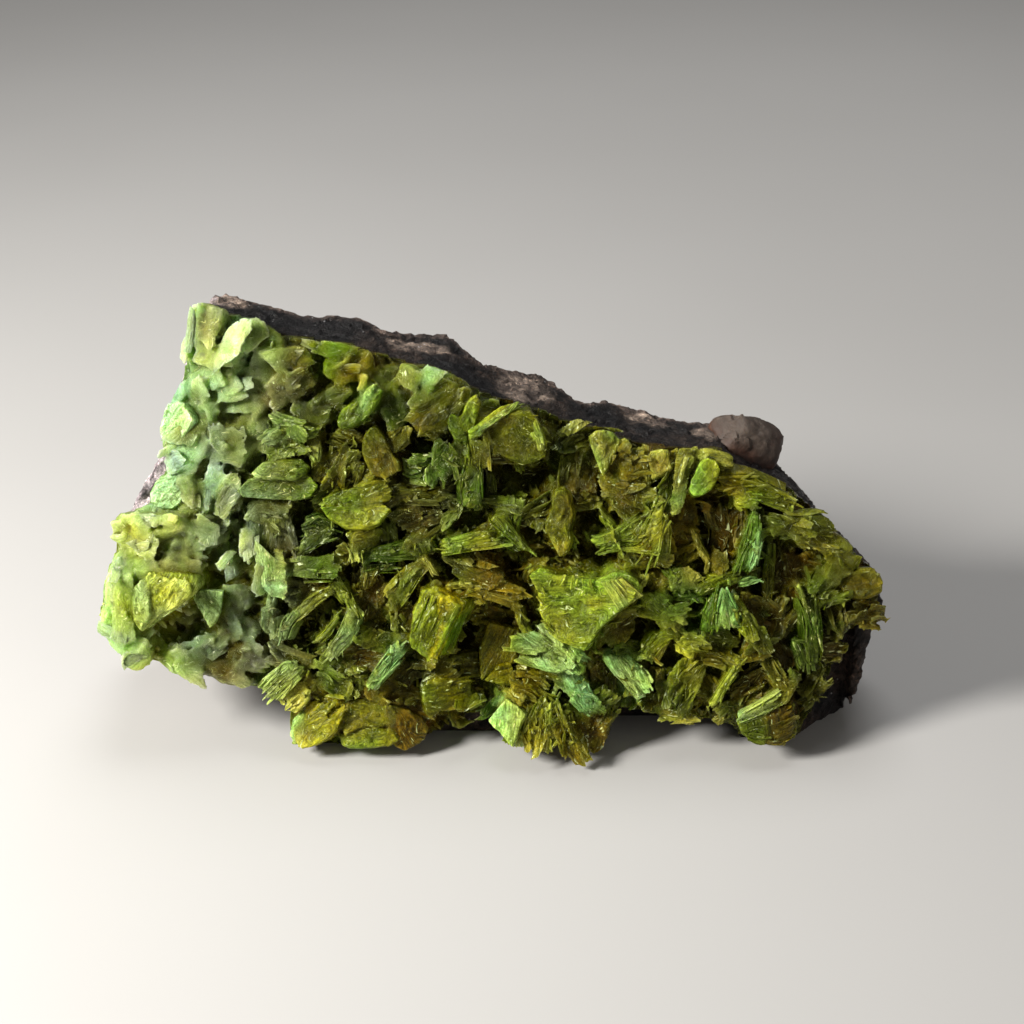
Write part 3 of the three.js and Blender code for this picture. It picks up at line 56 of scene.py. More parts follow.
# Crystals drawn as plates: node, class, level w, lean in u, lean in v, thickness, brightness, outline (u, v).
PLATES = [
 ('','ochre',0.7,-0.35,0.15,0.8,1,[(-15.17,24.04),(-14.78,24.56),(-14.33,24.57),(-13.9,24.33),(-13.85,23.82),(-14.02,23.31),(-14.19,22.79),(-14.63,22.57),(-15.08,22.6),(-15.24,23.11),(-15.29,23.67)]),
 ('','mint',0.5,-0.6,0.2,0.6,1,[(-15.28,24.44),(-15.63,23.55),(-15.64,22.89),(-15.46,22.39),(-15.11,22.61),(-15.28,23.16),(-15.16,23.94),(-14.87,24.61)]),
 ('','mint',0.2,-0.5,0.3,0.4,1.1,[(-16.15,22.42),(-15.86,22.64),(-15.63,22.35),(-15.79,21.78),(-16.07,21.51),(-16.2,21.96)]),
 ('','lime',0.7,-0.3,0.3,0.6,1.2,[(-15.21,22.45),(-14.16,22.54),(-13.94,22.14),(-13.55,21.75),(-13.38,21.55),(-14.26,21.42),(-14.86,21.4),(-15.25,21.79)]),
 ('','mint',1.1,-0.35,0.3,0.7,1.15,[(-13.56,22.08),(-13.41,23.19),(-12.98,23.76),(-12.76,23.67),(-12.75,22.97),(-12.58,22.47),(-12.9,22.11),(-13.34,21.64),(-13.83,21.92),(-14.01,22.22)]),
 ('','green',0.9,0.1,0.3,0.6,1.1,[(-12.78,23.66),(-12.32,23.8),(-11.81,23.6),(-11.45,23.24),(-11.8,23.14),(-12.01,22.89),(-12.1,22.39),(-12.41,22.5),(-12.72,22.8)]),
 ('','lime',0.9,-0.1,0.1,0.8,1,[(-11.81,23.14),(-11.39,23.29),(-10.98,22.84),(-10.72,22.43),(-10.83,22.07),(-10.94,21.7),(-11.31,21.8),(-11.67,22),(-12.09,22.26),(-12.14,22.77)]),
 ('','teal',0.5,-0.1,0.3,0.6,1.25,[(-14.02,21.21),(-13.49,21.57),(-12.75,21.58),(-12.58,21.28),(-13.06,21.02),(-13.59,20.91),(-14.02,21.01)]),
 ('','mint',0.6,-0.4,0.3,0.7,0.9,[(-16.13,20.09),(-15.74,20.77),(-15.18,21),(-14.45,21.14),(-13.89,20.76),(-13.71,20.37),(-14.33,20.18),(-14.89,20.31),(-15.29,20.49),(-15.62,20.27),(-15.84,19.75),(-16.17,19.42),(-16.46,19.56),(-16.35,19.87)]),
 ('','lime',0.8,-0.2,-0.1,0.8,0.8,[(-15.56,20.42),(-15.22,20.59),(-14.81,20.17),(-14.52,19.64),(-14.1,19.44),(-14.23,18.96),(-14.69,18.51),(-15.24,18.44),(-15.6,18.7),(-15.74,19.23),(-15.7,19.93)]),
 ('','mint',0.8,-0.2,0.3,0.7,0.85,[(-14.66,20.13),(-14.02,20.55),(-13.48,20.76),(-12.99,20.57),(-13.09,20.17),(-12.87,19.82),(-13.41,19.6),(-14,19.48),(-14.44,19.73)]),
 ('left_white_plate','mint',1,-0.55,0.35,1.1,1.3,[(-17.21,19.04),(-16.92,19.37),(-16.46,19.5),(-16.1,19.43),(-15.97,19.04),(-15.62,18.71),(-15.5,18.57),(-16.07,18.33),(-16.41,18),(-16.52,17.69),(-16.28,17.36),(-16.86,17.31),(-17.34,17.57),(-17.47,17.91),(-17.31,18.53)]),
 ('','olive',1.2,-0.1,0.1,0.6,1.15,[(-16.49,17.82),(-16.22,18.19),(-15.68,18.41),(-15.03,18.57),(-14.5,18.48),(-14.24,18.22),(-14.73,17.9),(-15.27,17.69),(-15.91,17.41),(-16.34,17.41)]),
 ('','lime',0.9,-0.2,0.5,0.6,1.1,[(-17.06,16.92),(-16.75,17.17),(-16.04,17.34),(-15.45,17.56),(-14.92,17.72),(-15.23,17.37),(-15.75,17.06),(-16.29,16.8),(-16.71,16.59),(-16.99,16.72)]),
 ('','mint',1,-0.4,0.2,0.8,1.1,[(-17.06,16.15),(-16.83,16.74),(-16.08,16.99),(-15.46,17.14),(-15.29,16.94),(-15.74,16.66),(-15.97,16.12),(-16.2,15.8),(-16.66,15.66),(-17,15.84)]),
 ('','lime',1.1,-0.3,0.1,0.9,1,[(-15.76,17),(-15.2,17.34),(-14.75,17.42),(-14.88,16.89),(-15.22,16.45),(-15.67,16.22),(-15.9,15.89),(-16.02,15.3),(-15.82,14.47),(-16.15,14.72),(-16.3,15.5),(-16.06,16.25)]),
 ('','ochre',0.9,0.3,-0.3,0.6,0.7,[(-15.64,15.72),(-15.36,16.16),(-14.93,16.48),(-14.5,16.79),(-14.32,16.55),(-14.55,16.17),(-14.99,15.74),(-15.13,15.29),(-15.36,14.96),(-15.63,15.32)]),
 ('','olive',1.1,-0.1,0.1,1,1,[(-15.18,17.31),(-14.58,17.74),(-13.88,18.12),(-13.19,18.03),(-12.77,17.46),(-12.68,16.78),(-13.06,16.46),(-13.33,16.09),(-13.75,16.29),(-14.17,16.65),(-14.6,16.9),(-14.92,16.79)]),
 ('','pale',1.2,-0.2,0.1,0.5,0.9,[(-13.39,15.97),(-13.44,16.29),(-13.21,16.92),(-12.88,17.4),(-12.73,16.94),(-12.95,16.36),(-13.18,15.93)]),
 ('','pale',0.6,-0.2,0.2,0.5,0.9,[(-12.72,17.6),(-12.23,17.62),(-11.74,17.37),(-11.63,17.17),(-12.01,17),(-12.34,16.68),(-12.61,16.88),(-12.72,17.24)]),
 ('','mint',1.1,-0.2,0.1,0.6,0.9,[(-15.04,15.18),(-14.64,15.83),(-14.25,16),(-14.1,15.48),(-14.39,14.79),(-14.62,14.25),(-14.9,13.71),(-15.23,13.91),(-15.16,14.65)]),
 ('left_mint_plate','mint',0.9,-0.4,0.2,1,1.15,[(-18.13,14.49),(-17.67,15.2),(-17.03,15.61),(-16.46,15.65),(-16.12,15.32),(-16.06,14.7),(-16.35,14.11),(-16.81,13.76),(-17.5,13.7),(-18.13,13.97)]),
 ('','mint',0.2,-0.2,0.2,0.6,0.7,[(-19.15,13.34),(-18.42,13.79),(-17.64,13.62),(-16.86,13.65),(-17.03,13.17),(-17.92,13.13),(-18.75,12.99)]),
 ('','mint',0.2,-0.5,0.2,0.6,0.7,[(-16.85,19.46),(-16.32,20.27),(-16.03,20.03),(-16.15,19.41),(-16.56,19.27)]),
 ('','olive',0.9,0.1,0.1,0.8,0.8,[(-11.41,21.5),(-10.94,22.06),(-10.38,22.31),(-9.76,22.2),(-9.35,21.88),(-9.46,21.47),(-9.88,21.17),(-10.5,20.97),(-11.16,21.08)]),
 ('','ochre',1,0.15,-0.1,1,0.62,[(-11.64,20.21),(-11.15,20.83),(-10.38,21.08),(-9.76,21.13),(-9.32,20.59),(-9.33,20.21),(-9.7,19.9),(-10.13,19.59),(-10.71,19.23),(-11.38,19.08),(-11.72,19.57)]),
 ('','olive',0.6,0.1,0.1,0.7,0.75,[(-12.8,19.49),(-12.27,19.9),(-11.76,19.37),(-11.67,18.69),(-11.99,17.91),(-12.62,17.76),(-12.97,18.34),(-13.01,18.97)]),
 ('','mint',0.5,-0.1,0.2,0.5,0.7,[(-13.78,19.25),(-13.13,19.47),(-12.6,19.37),(-12.6,18.96),(-13.24,18.8),(-13.72,18.94)]),
 ('','olive',0.6,-0.1,0.1,0.7,0.8,[(-12.76,20.96),(-12.11,21.7),(-11.47,21.6),(-11.59,20.98),(-11.92,20.24),(-12.56,19.92),(-12.98,20.33)]),
 ('','olive',0.3,0.1,0.2,0.6,0.85,[(-10.8,22.62),(-9.92,22.71),(-9.09,22.5),(-9.19,21.98),(-9.92,22.1),(-10.64,22.21)]),
 ('','green',0.8,-0.1,0.4,0.6,1.25,[(-9.15,22.33),(-8.73,22.54),(-8.05,22.5),(-7.36,22.3),(-7.09,21.91),(-7.51,21.7),(-7.88,21.8),(-8.3,21.84),(-8.72,22.04)]),
 ('','green',1,-0.4,0.2,0.8,1.25,[(-8.79,21.31),(-8.57,21.68),(-8.08,21.85),(-7.76,21.67),(-7.87,21.15),(-8.25,20.72),(-8.68,20.86)]),
 ('','olive',0.9,0,0.1,0.8,0.95,[(-7.79,21.58),(-7.26,21.89),(-6.63,22.1),(-6.22,21.73),(-6.28,21.11),(-6.44,20.6),(-6.86,20.65),(-7.38,20.54),(-7.9,20.54),(-8.16,20.8)]),
 ('','pale',1,-0.2,0.1,0.4,0.85,[(-6.92,20.13),(-6.75,20.6),(-6.54,20.96),(-6.33,20.81),(-6.44,20.35),(-6.65,20.08)]),
 ('pale_edged_plate','mint',1.6,-0.5,0.1,0.5,1,[(-6.73,19.51),(-6.45,20.2),(-6.02,20.54),(-6.02,19.92),(-6.41,19.33),(-6.63,18.95),(-6.79,18.68)]),
 ('pale_edged_plate','green',1.7,0,0.2,0.6,1.25,[(-6.61,18.58),(-6.09,18.99),(-5.72,19.55),(-5.51,20.11),(-5.72,20.26),(-5.98,19.95),(-6.19,19.49),(-6.45,19.09)]),
 ('pale_edged_plate','green',1.5,-0.15,0.15,0.6,0.9,[(-7.95,18.51),(-7.73,19.08),(-7.15,19.45),(-6.73,19.56),(-6.68,18.9),(-6.63,18.54),(-7.16,18.22),(-7.69,18.1),(-7.9,18.25)]),
 ('tall_olive_plate','olive',1.4,-0.1,0.05,0.9,1,[(-6.68,17.42),(-6.46,17.9),(-6.09,18.22),(-5.77,18.02),(-5.41,17.34),(-5.05,16.66),(-4.79,16.3),(-4.69,15.88),(-5.12,15.66),(-5.49,15.44),(-5.86,15.54),(-6.28,15.64),(-6.48,16.32),(-6.69,16.84)]),
 ('','grey',0.8,0.1,0.1,0.5,1,[(-5.5,17.83),(-4.82,18.08),(-4.45,17.81),(-4.3,17.39),(-4.62,16.97),(-4.93,16.72),(-5.24,17.14)]),
 ('','olive',0.9,0,0.2,0.9,0.78,[(-9.49,15.81),(-9.06,16.53),(-8.43,16.84),(-7.64,16.95),(-7.21,16.53),(-6.9,16.02),(-6.69,15.5),(-7.11,15.14),(-7.9,14.98),(-8.69,14.83),(-9.38,15.14)]),
 ('','green',0.7,0.1,0.2,0.8,0.5,[(-5.99,20.91),(-5.32,21.16),(-4.69,21.05),(-4.17,20.22),(-3.91,19.7),(-4.17,18.94),(-4.7,18.28),(-5.32,18.44),(-5.68,19.01),(-5.48,19.78),(-5.84,20.3)]),
 ('','pale',1,-0.1,0.2,0.5,0.72,[(-4.82,20.8),(-4.45,21.32),(-3.88,21.32),(-3.67,20.87),(-3.82,20.3),(-4.24,20.04),(-4.56,20.29)]),
 ('','mint',1.2,-0.3,0.2,0.6,0.85,[(-3.77,20.61),(-3.56,21.12),(-3.09,21.24),(-2.61,21.11),(-2.51,20.86),(-2.77,20.59),(-3.14,20.32),(-3.4,19.96),(-3.62,19.64),(-3.77,20.15)]),
 ('','olive',1.1,0.1,-0.05,1,0.85,[(-3.93,19.48),(-3.4,20.16),(-2.57,20.63),(-1.79,20.51),(-1.22,20.08),(-1.07,19.49),(-1.44,18.91),(-1.96,18.76),(-2.18,18.18),(-2.6,17.43),(-3.22,17.87),(-3.69,18.47),(-3.94,18.95)]),
 ('crown_spike','lime',1.5,-0.1,0.1,0.7,0.95,[(-1.48,18.72),(-1.27,19.3),(-0.95,19.72),(-0.69,19.87),(-0.48,19.36),(-0.59,18.79),(-0.8,18.11),(-1.11,17.9),(-1.48,18.26)]),
 ('crown_spike','green',1.5,-0.2,0.1,0.7,1.05,[(-2.16,18.59),(-1.95,18.91),(-1.64,18.66),(-1.32,18.57),(-1.17,17.9),(-1.06,17.23),(-1.01,16.55),(-1.33,16.7),(-1.69,17.2),(-1.96,17.72),(-2.16,18.13)]),
 ('','teal',1.2,-0.1,0.2,0.8,1.1,[(-3.29,15.81),(-3.03,16.49),(-2.71,16.91),(-2.34,17.33),(-2.02,16.92),(-1.92,16.41),(-2.18,15.84),(-2.61,15.41),(-3.19,15.3)]),
 ('','teal',1,0,0.2,0.7,1,[(-4.36,16.2),(-3.99,16.51),(-3.56,16.66),(-3.3,16.35),(-3.41,15.89),(-3.67,15.52),(-4.09,15.37),(-4.41,15.68)]),
 ('','green',1.3,-0.1,0.1,0.7,0.8,[(-2.13,16.88),(-1.65,17.36),(-1.34,16.64),(-1.18,16.38),(-1.6,16.11),(-1.97,15.84),(-2.23,16.31)]),
 ('','lime',0.9,0,0.25,0.8,0.72,[(-9.19,14.68),(-8.45,14.94),(-7.66,14.99),(-6.87,15.25),(-6.23,15.46),(-5.49,15.51),(-5.49,14.79),(-5.8,14.38),(-6.86,14.38),(-7.92,14.27),(-8.93,14.27)]),
 ('','teal',1.2,-0.1,0.35,0.7,1.1,[(-11.66,17.83),(-11.25,18.38),(-10.72,18.64),(-10.19,18.65),(-9.66,18.46),(-9.33,18.01),(-9.22,17.61),(-9.75,17.76),(-10.23,18),(-10.76,17.89),(-11.23,17.48),(-11.54,17.18)]),
 ('','green',1.1,-0.1,0.3,0.7,1,[(-11.7,16.85),(-11.18,17.37),(-10.49,17.63),(-9.85,17.59),(-9.63,17.14),(-9.95,16.78),(-10.58,16.57),(-11.33,16.45)]),
 ('','green',0.8,0.2,0.2,0.8,0.5,[(-11.38,18.62),(-10.72,18.96),(-9.95,19.3),(-9.18,19.38),(-8.61,18.95),(-8.77,18.18),(-9.18,17.78),(-9.69,18.26),(-10.46,18.54)]),
 ('long_green_book','green',1.5,-0.1,0.35,0.9,1.15,[(-12.58,15.74),(-11.95,16.3),(-11.26,16.47),(-10.47,16.58),(-9.88,16.49),(-9.45,16.15),(-9.71,15.69),(-10.18,15.39),(-10.87,15.47),(-11.62,15.56),(-12.2,15.45)]),
 ('long_green_book','green',1.3,0,0.2,0.9,0.85,[(-13.26,14.76),(-12.68,15.38),(-11.83,15.49),(-10.94,15.33),(-10.2,15.23),(-9.46,15.54),(-8.99,15.02),(-9.41,14.45),(-10.25,14.25),(-11.31,14.35),(-12.2,14.5),(-12.94,14.45)]),
 ('','olive',0.4,0.2,0.1,0.6,0.45,[(-9.02,19.9),(-8.39,20.24),(-7.78,20.07),(-7.58,19.44),(-8,18.92),(-8.52,18.42),(-9.03,18.69),(-9.33,19.38)]),
 ('','olive',0.7,0.1,-0.1,0.7,0.6,[(-8.39,17.83),(-7.61,17.92),(-6.93,17.91),(-6.84,17.26),(-7.07,16.72),(-7.64,16.95),(-8.31,17.07)]),
 ('','yellow',1.2,-0.4,0.2,1.4,1,[(-20.03,12.95),(-19.62,13.3),(-18.86,13.26),(-17.99,13.33),(-17.13,13.55),(-16.67,13.33),(-16.44,12.78),(-17.07,12.42),(-17.65,12.21),(-17.94,11.83),(-17.94,11.41),(-18.28,11.27),(-18.86,11.48),(-19.45,11.43),(-19.86,11.65),(-20.09,12.16)]),
 ('','lime',1.1,-0.3,0.3,1,1.1,[(-20.28,10.77),(-19.89,11.31),(-19.31,11.35),(-18.63,11.19),(-18.06,11.23),(-17.88,10.93),(-18.27,10.45),(-18.72,10.11),(-19.29,10.12),(-19.86,10.34),(-20.2,10.06)]),
 ('left_yellow_book','yellow',2,-0.25,-0.05,1.4,1.05,[(-18.06,10.62),(-17.41,10.44),(-16.75,10.2),(-16.03,10.25),(-15.71,10.05),(-15.62,9.56),(-15.81,9.22),(-16.38,8.85),(-16.73,8.49),(-17.24,8.34),(-17.71,7.98),(-18.13,7.44),(-18.61,7.07),(-18.81,7.45),(-18.59,8.36),(-18.26,9.16),(-18.38,10.04)]),
 ('left_yellow_book','pale',1.9,-0.5,0.1,0.8,1.1,[(-18.91,9.67),(-18.42,10.1),(-18.14,9.55),(-18.04,9.03),(-18.06,8.18),(-18.31,7.61),(-18.68,7.29),(-19.02,7.78),(-19.05,8.85)]),
 ('','mint',0.8,-0.7,0.1,1.2,1,[(-20.56,9.86),(-20.23,10.34),(-19.93,9.86),(-20.02,8.77),(-20.11,7.94),(-20.26,7.15),(-20.84,7.04),(-21.09,7.48),(-20.93,8.33),(-20.71,9.18)]),
 ('','lime',1.5,-0.3,0.1,1.4,1.05,[(-20.06,10.1),(-19.42,10.36),(-18.8,10.09),(-18.88,9.44),(-19.01,8.63),(-18.97,7.82),(-18.88,7.19),(-19.35,6.66),(-19.8,6.89),(-20.19,7.4),(-20.04,8.54)]),
 ('','mint',1,-0.4,0.1,1,0.9,[(-20.97,6.91),(-20.37,7.14),(-19.78,6.99),(-19.38,6.55),(-19.51,6.05),(-19.99,5.83),(-20.52,6.15),(-20.93,6.43)]),
 ('','lime',1.3,-0.1,0.2,0.8,0.95,[(-19.46,6.52),(-19.02,6.79),(-18.53,6.6),(-18.36,6.29),(-18.75,6.01),(-19.24,5.89),(-19.63,5.99)]),
 ('','lime',1.4,-0.2,0.1,0.8,1.1,[(-19.49,5.48),(-19.2,5.93),(-18.69,6.07),(-18.3,6.09),(-18.37,5.6),(-18.54,5.26),(-18.94,5.13),(-19.33,5.22)]),
 ('','olive',1,0,0.2,1,1,[(-17.99,12.02),(-17.3,12.23),(-16.6,12.28),(-15.91,12.07),(-15.38,11.6),(-15.65,11.19),(-16.39,10.98),(-17.14,11.13),(-17.83,11.34)]),
 ('','ochre',1.3,0.1,0,1.1,0.8,[(-17.83,10.99),(-16.99,11.14),(-16.21,10.9),(-15.48,10.94),(-15.61,10.34),(-16.1,9.91),(-16.93,9.98),(-17.7,10.33)]),
 ('','pale',0.9,-0.2,0.2,0.7,0.75,[(-16.66,12.9),(-16.11,13.03),(-15.78,12.58),(-15.78,11.74),(-16.33,12.03),(-16.83,12.27)]),
 ('','olive',1,-0.1,0.2,0.9,0.7,[(-15.84,12.98),(-15.19,13.36),(-14.54,13.22),(-14.33,12.49),(-14.65,11.81),(-15.25,11.64),(-15.73,12.05)]),
 ('','yellow',1.2,-0.1,0,0.7,0.9,[(-16.11,15.37),(-15.78,15.65),(-15.25,15.28),(-15.06,14.8),(-15.23,14.37),(-15.73,14.09),(-16.04,14.3),(-16.19,14.78)]),
 ('','yellow',0.9,0.1,0,0.7,0.75,[(-16.58,13.88),(-16.09,14.19),(-15.57,14.18),(-15.33,13.85),(-15.55,13.37),(-16.03,13.16),(-16.49,13.34)]),
 ('','olive',1.3,-0.1,0.1,0.7,1,[(-14.62,13.58),(-14.44,14.27),(-14.22,14.9),(-13.88,15.49),(-13.62,15.23),(-13.31,14.71),(-13.26,14.29),(-13.64,14.02),(-14.13,13.8)]),
 ('green_triangle_plate','green',1.5,0.05,0.1,0.6,1.05,[(-15.92,9.31),(-15.55,9.41),(-14.91,9.4),(-14.23,9.34),(-14.29,8.75),(-14.35,8.21),(-14.63,7.62),(-14.95,7.36),(-15.16,7.79),(-15.46,8.33),(-15.72,8.77)]),
 ('','teal',0.6,0,0.2,0.8,0.8,[(-16.42,5.8),(-15.98,6.49),(-15.44,6.81),(-14.85,6.81),(-14.47,6.38),(-14.74,5.8),(-15.28,5.53),(-15.93,5.48)]),
 ('','lime',1,-0.3,0.2,0.8,1.1,[(-18.21,5.69),(-17.86,6.14),(-17.4,5.86),(-17,5.53),(-16.77,5.02),(-16.55,4.56),(-17.17,4.72),(-17.63,4.94),(-18.09,5.27)]),
 ('','olive',1,0,0.1,0.9,1,[(-17.34,5.93),(-16.74,5.93),(-16.21,5.66),(-15.67,5.39),(-15.36,4.95),(-15.69,4.57),(-16.34,4.57),(-16.71,4.73),(-16.97,5.17)]),
 ('','ochre',0.9,0.1,0,0.9,0.55,[(-15.66,5.68),(-15.02,5.66),(-14.29,5.24),(-13.56,4.66),(-13.05,4.07),(-13.59,3.86),(-14.39,4),(-15.17,4.37),(-15.47,4.94)]),
 ('','pale',1.1,-0.3,0.2,0.5,1.1,[(-13.35,11.71),(-13.19,12.35),(-12.85,12.58),(-12.57,12.18),(-12.63,11.61),(-12.85,11.17),(-13.13,11.41)]),
 ('','mint',1.3,-0.3,0.3,0.5,1.1,[(-12.16,11.14),(-11.83,11.32),(-11.44,10.98),(-11.1,10.7),(-10.88,10.41),(-11.15,9.93),(-11.59,9.65),(-11.92,9.37),(-12.19,9.25),(-11.98,9.82),(-11.71,10.35),(-11.88,10.7)]),
 ('','olive',1.2,-0.1,0.1,0.6,0.95,[(-12.59,9.78),(-12.36,10.43),(-11.98,10.87),(-11.77,10.45),(-11.94,9.74),(-12.27,9.31),(-12.54,9.41)]),
 ('','pale',0.9,-0.2,0.2,0.5,0.85,[(-14.59,10.85),(-14.14,11.13),(-13.87,11.51),(-13.76,11.04),(-14.09,10.66),(-14.48,10.44)]),
 ('','pale',0.9,-0.3,0.2,0.4,1,[(-14.18,10.51),(-13.89,10.85),(-13.67,10.49),(-13.73,10.12),(-14.01,10.1)]),
 ('','pale',0.5,-0.2,0.2,0.4,0.75,[(-14.47,12.89),(-13.98,13.18),(-13.81,12.82),(-14.2,12.59)]),
 ('','olive',0.6,0.1,0.1,0.7,0.55,[(-14.3,9.2),(-13.45,9.44),(-12.82,9.05),(-12.73,8.34),(-13.21,7.97),(-14,8.21),(-14.42,8.66)]),
 ('','olive',0.9,0,0.1,0.6,0.75,[(-12.45,14.18),(-11.39,14.29),(-10.59,14.08),(-10.71,13.65),(-11.35,13.12),(-12.2,13.01),(-12.72,13.54)]),
 ('','green',0.8,0,0.2,0.7,0.5,[(-12.28,8.1),(-11.53,8.32),(-11.21,7.79),(-11.42,7.05),(-11.96,6.94),(-12.39,7.47)]),
 ('','ochre',0.6,0,0.1,0.8,0.45,[(-15.37,8.6),(-14.46,8.28),(-13.77,7.79),(-13.51,6.97),(-14.17,6.43),(-14.92,6.86),(-15.23,7.63)]),
 ('','ochre',0.8,0.1,0.1,0.9,0.5,[(-14.27,6.02),(-13.3,6.32),(-12.35,6.08),(-12.04,5.3),(-12.59,4.66),(-13.54,4.91),(-14.17,5.37)]),
 ('','green',0.7,0.1,0.2,0.7,0.55,[(-13.92,7.54),(-13.18,7.79),(-12.54,7.4),(-12.54,6.66),(-13.18,6.46),(-13.81,6.8)]),
 ('crescent_plate','lime',1.7,0,0.35,0.8,1.05,[(-8.88,13.9),(-8.4,13.9),(-7.82,13.9),(-7.35,13.7),(-6.82,13.9),(-6.19,14),(-5.61,14.05),(-5.19,13.8),(-5.55,13.35),(-5.87,13.05),(-6.39,12.85),(-7.07,12.8),(-7.6,12.9),(-8.08,13.2),(-8.5,13.4)]),
 ('crescent_plate','lime',1.4,0,0.1,0.8,0.85,[(-8.88,14.35),(-8.14,14.77),(-7.24,14.93),(-6.71,15.19),(-6.03,15.4),(-5.45,15.3),(-5.09,14.88),(-5.2,14.25),(-5.78,14.04),(-6.57,14.09),(-7.36,13.93),(-7.99,13.98),(-8.68,13.98)]),
 ('','olive',1.2,-0.1,0.1,0.7,1,[(-7.31,12.55),(-6.78,12.83),(-6.24,12.63),(-5.87,12.42),(-5.98,11.94),(-6.36,11.61),(-6.79,11.76),(-7.1,12.13)]),
 ('','ochre',1,0,0.1,0.7,0.7,[(-8.25,11.17),(-7.98,11.75),(-7.55,11.86),(-7.29,11.49),(-7.41,10.85),(-7.89,10.68),(-8.26,10.9)]),
 ('','pale',1.3,-0.4,0.2,0.5,1,[(-7.43,11.38),(-7.21,11.81),(-6.99,11.68),(-6.99,11.1),(-7.27,10.87)]),
 ('','green',1.2,0,0.3,0.7,0.95,[(-10.49,10.61),(-10.12,10.96),(-9.32,11.17),(-8.52,11.01),(-8.2,10.55),(-8.46,9.99),(-9.15,9.99),(-9.84,10.2),(-10.32,10.4)]),
 ('','ochre',0.9,0.1,0.1,0.9,0.6,[(-2.66,10.9),(-1.86,11.21),(-0.8,11.13),(0,10.89),(0.54,10.34),(0.86,9.8),(0.27,9.65),(-0.53,10.05),(-1.33,10.33),(-1.97,10.62)]),
 ('striped_book','green',2.2,-0.35,0.1,1.8,1.2,[(-3.7,9.51),(-3.05,9.73),(-2.52,9.45),(-2.09,9.23),(-1.5,8.96),(-1.61,8.58),(-1.99,7.91),(-2.37,7.07),(-2.64,6.4),(-2.86,5.95),(-3.29,5.85),(-3.67,5.98),(-4.15,6.3),(-4.42,6.71),(-4.31,7.2),(-4.09,7.87),(-4.19,8.29),(-3.87,8.85)]),
 ('striped_book','yellow',2.3,0.25,-0.1,1.6,1.1,[(-2.61,9.31),(-2.09,9.22),(-1.52,8.84),(-1.63,8.45),(-2,7.8),(-2.38,6.98),(-2.65,6.32),(-2.87,5.88),(-3.13,6.07),(-3.01,6.91),(-2.79,8.03)]),
 ('','olive',1,0,0.1,0.8,0.6,[(-4.17,5.39),(-3.57,5.55),(-2.93,5.39),(-3.09,4.95),(-3.68,4.95),(-4.22,4.95)]),
 ('','grey',0.2,0,0.2,0.8,0.7,[(-2.39,9.18),(-1.52,9.33),(-0.77,9.07),(-0.33,8.64),(-0.98,8.38),(-1.74,8.17),(-2.17,8.54)]),
 ('','olive',1.2,-0.1,0.1,0.6,0.95,[(-5.06,10.15),(-4.36,10.65),(-3.67,10.82),(-3.45,10.4),(-3.83,9.75),(-4.32,9.31),(-4.75,8.76),(-5.08,8.48),(-5.29,9.01),(-5.02,9.34),(-5.39,9.6)]),
 ('','ochre',0.5,0.1,0.1,0.9,0.5,[(-7.41,10.49),(-6.56,10.47),(-5.81,10.12),(-5.72,9.15),(-6.04,8.29),(-6.9,8.09),(-7.43,8.87)]),
 ('','ochre',0.3,0.1,0.1,0.9,0.5,[(-6.82,8.23),(-5.85,8.31),(-5.1,7.85),(-5.11,7.2),(-5.97,7),(-6.72,7.24)]),
 ('','olive',0.9,0,0.2,0.8,0.65,[(-5.27,8.35),(-4.73,8.67),(-4.2,8.35),(-4.3,7.61),(-4.63,6.87),(-5.06,7.08),(-5.38,7.72)]),
 ('','ochre',0.7,0,0.2,0.9,0.45,[(-10.85,9.47),(-10.1,9.84),(-9.24,9.63),(-9.03,8.89),(-9.67,8.37),(-10.43,8.47)]),
 ('','olive',0.9,0,0.2,0.8,0.75,[(-6.47,6.92),(-5.61,7.02),(-4.97,6.81),(-5.07,6.5),(-5.83,6.39),(-6.48,6.5)]),
 ('','ochre',0.9,0,0.2,1,0.65,[(-7.68,6.18),(-6.92,6.55),(-6.06,6.34),(-5.52,6.02),(-5.84,5.38),(-6.49,4.96),(-7.36,5.17),(-7.73,5.65)]),
 ('','olive',0.8,0.1,0.2,0.8,0.6,[(-4.36,11.75),(-3.72,12.52),(-2.88,12.61),(-2.56,11.97),(-2.88,11.35),(-3.73,11.16)]),
 ('','ochre',0.6,0.1,0.2,0.9,0.38,[(-5.2,13.71),(-4.15,14.1),(-2.98,13.98),(-2.66,13.29),(-3.3,12.73),(-4.36,12.86),(-5.1,13.08)]),
 ('','olive',0.8,0.1,0.2,0.8,0.6,[(-5.59,14.53),(-4.65,15.03),(-3.49,15.21),(-2.64,14.89),(-2.85,14.16),(-4.02,14.03),(-4.96,13.89)]),
 ('','grey',0.6,0,0.2,0.7,0.85,[(-5.76,12.7),(-5.23,12.86),(-5.01,12.39),(-5.23,11.86),(-5.65,12.07)]),
 ('','pale',1,-0.2,0.2,0.5,0.65,[(-2.48,13.43),(-2,13.82),(-1.68,13.57),(-1.79,13.2),(-2.16,13.13),(-2.38,12.81)]),
 ('','ochre',0.6,0.2,0.2,0.9,0.3,[(-2.54,14.79),(-1.8,15.18),(-1.43,14.85),(-1.37,13.86),(-1.8,13.51),(-2.43,13.85)]),
 ('','grey',0.7,0,0.2,0.7,0.8,[(-4.05,12.18),(-3.52,12.49),(-3.3,11.97),(-3.52,11.45),(-3.95,11.55)]),
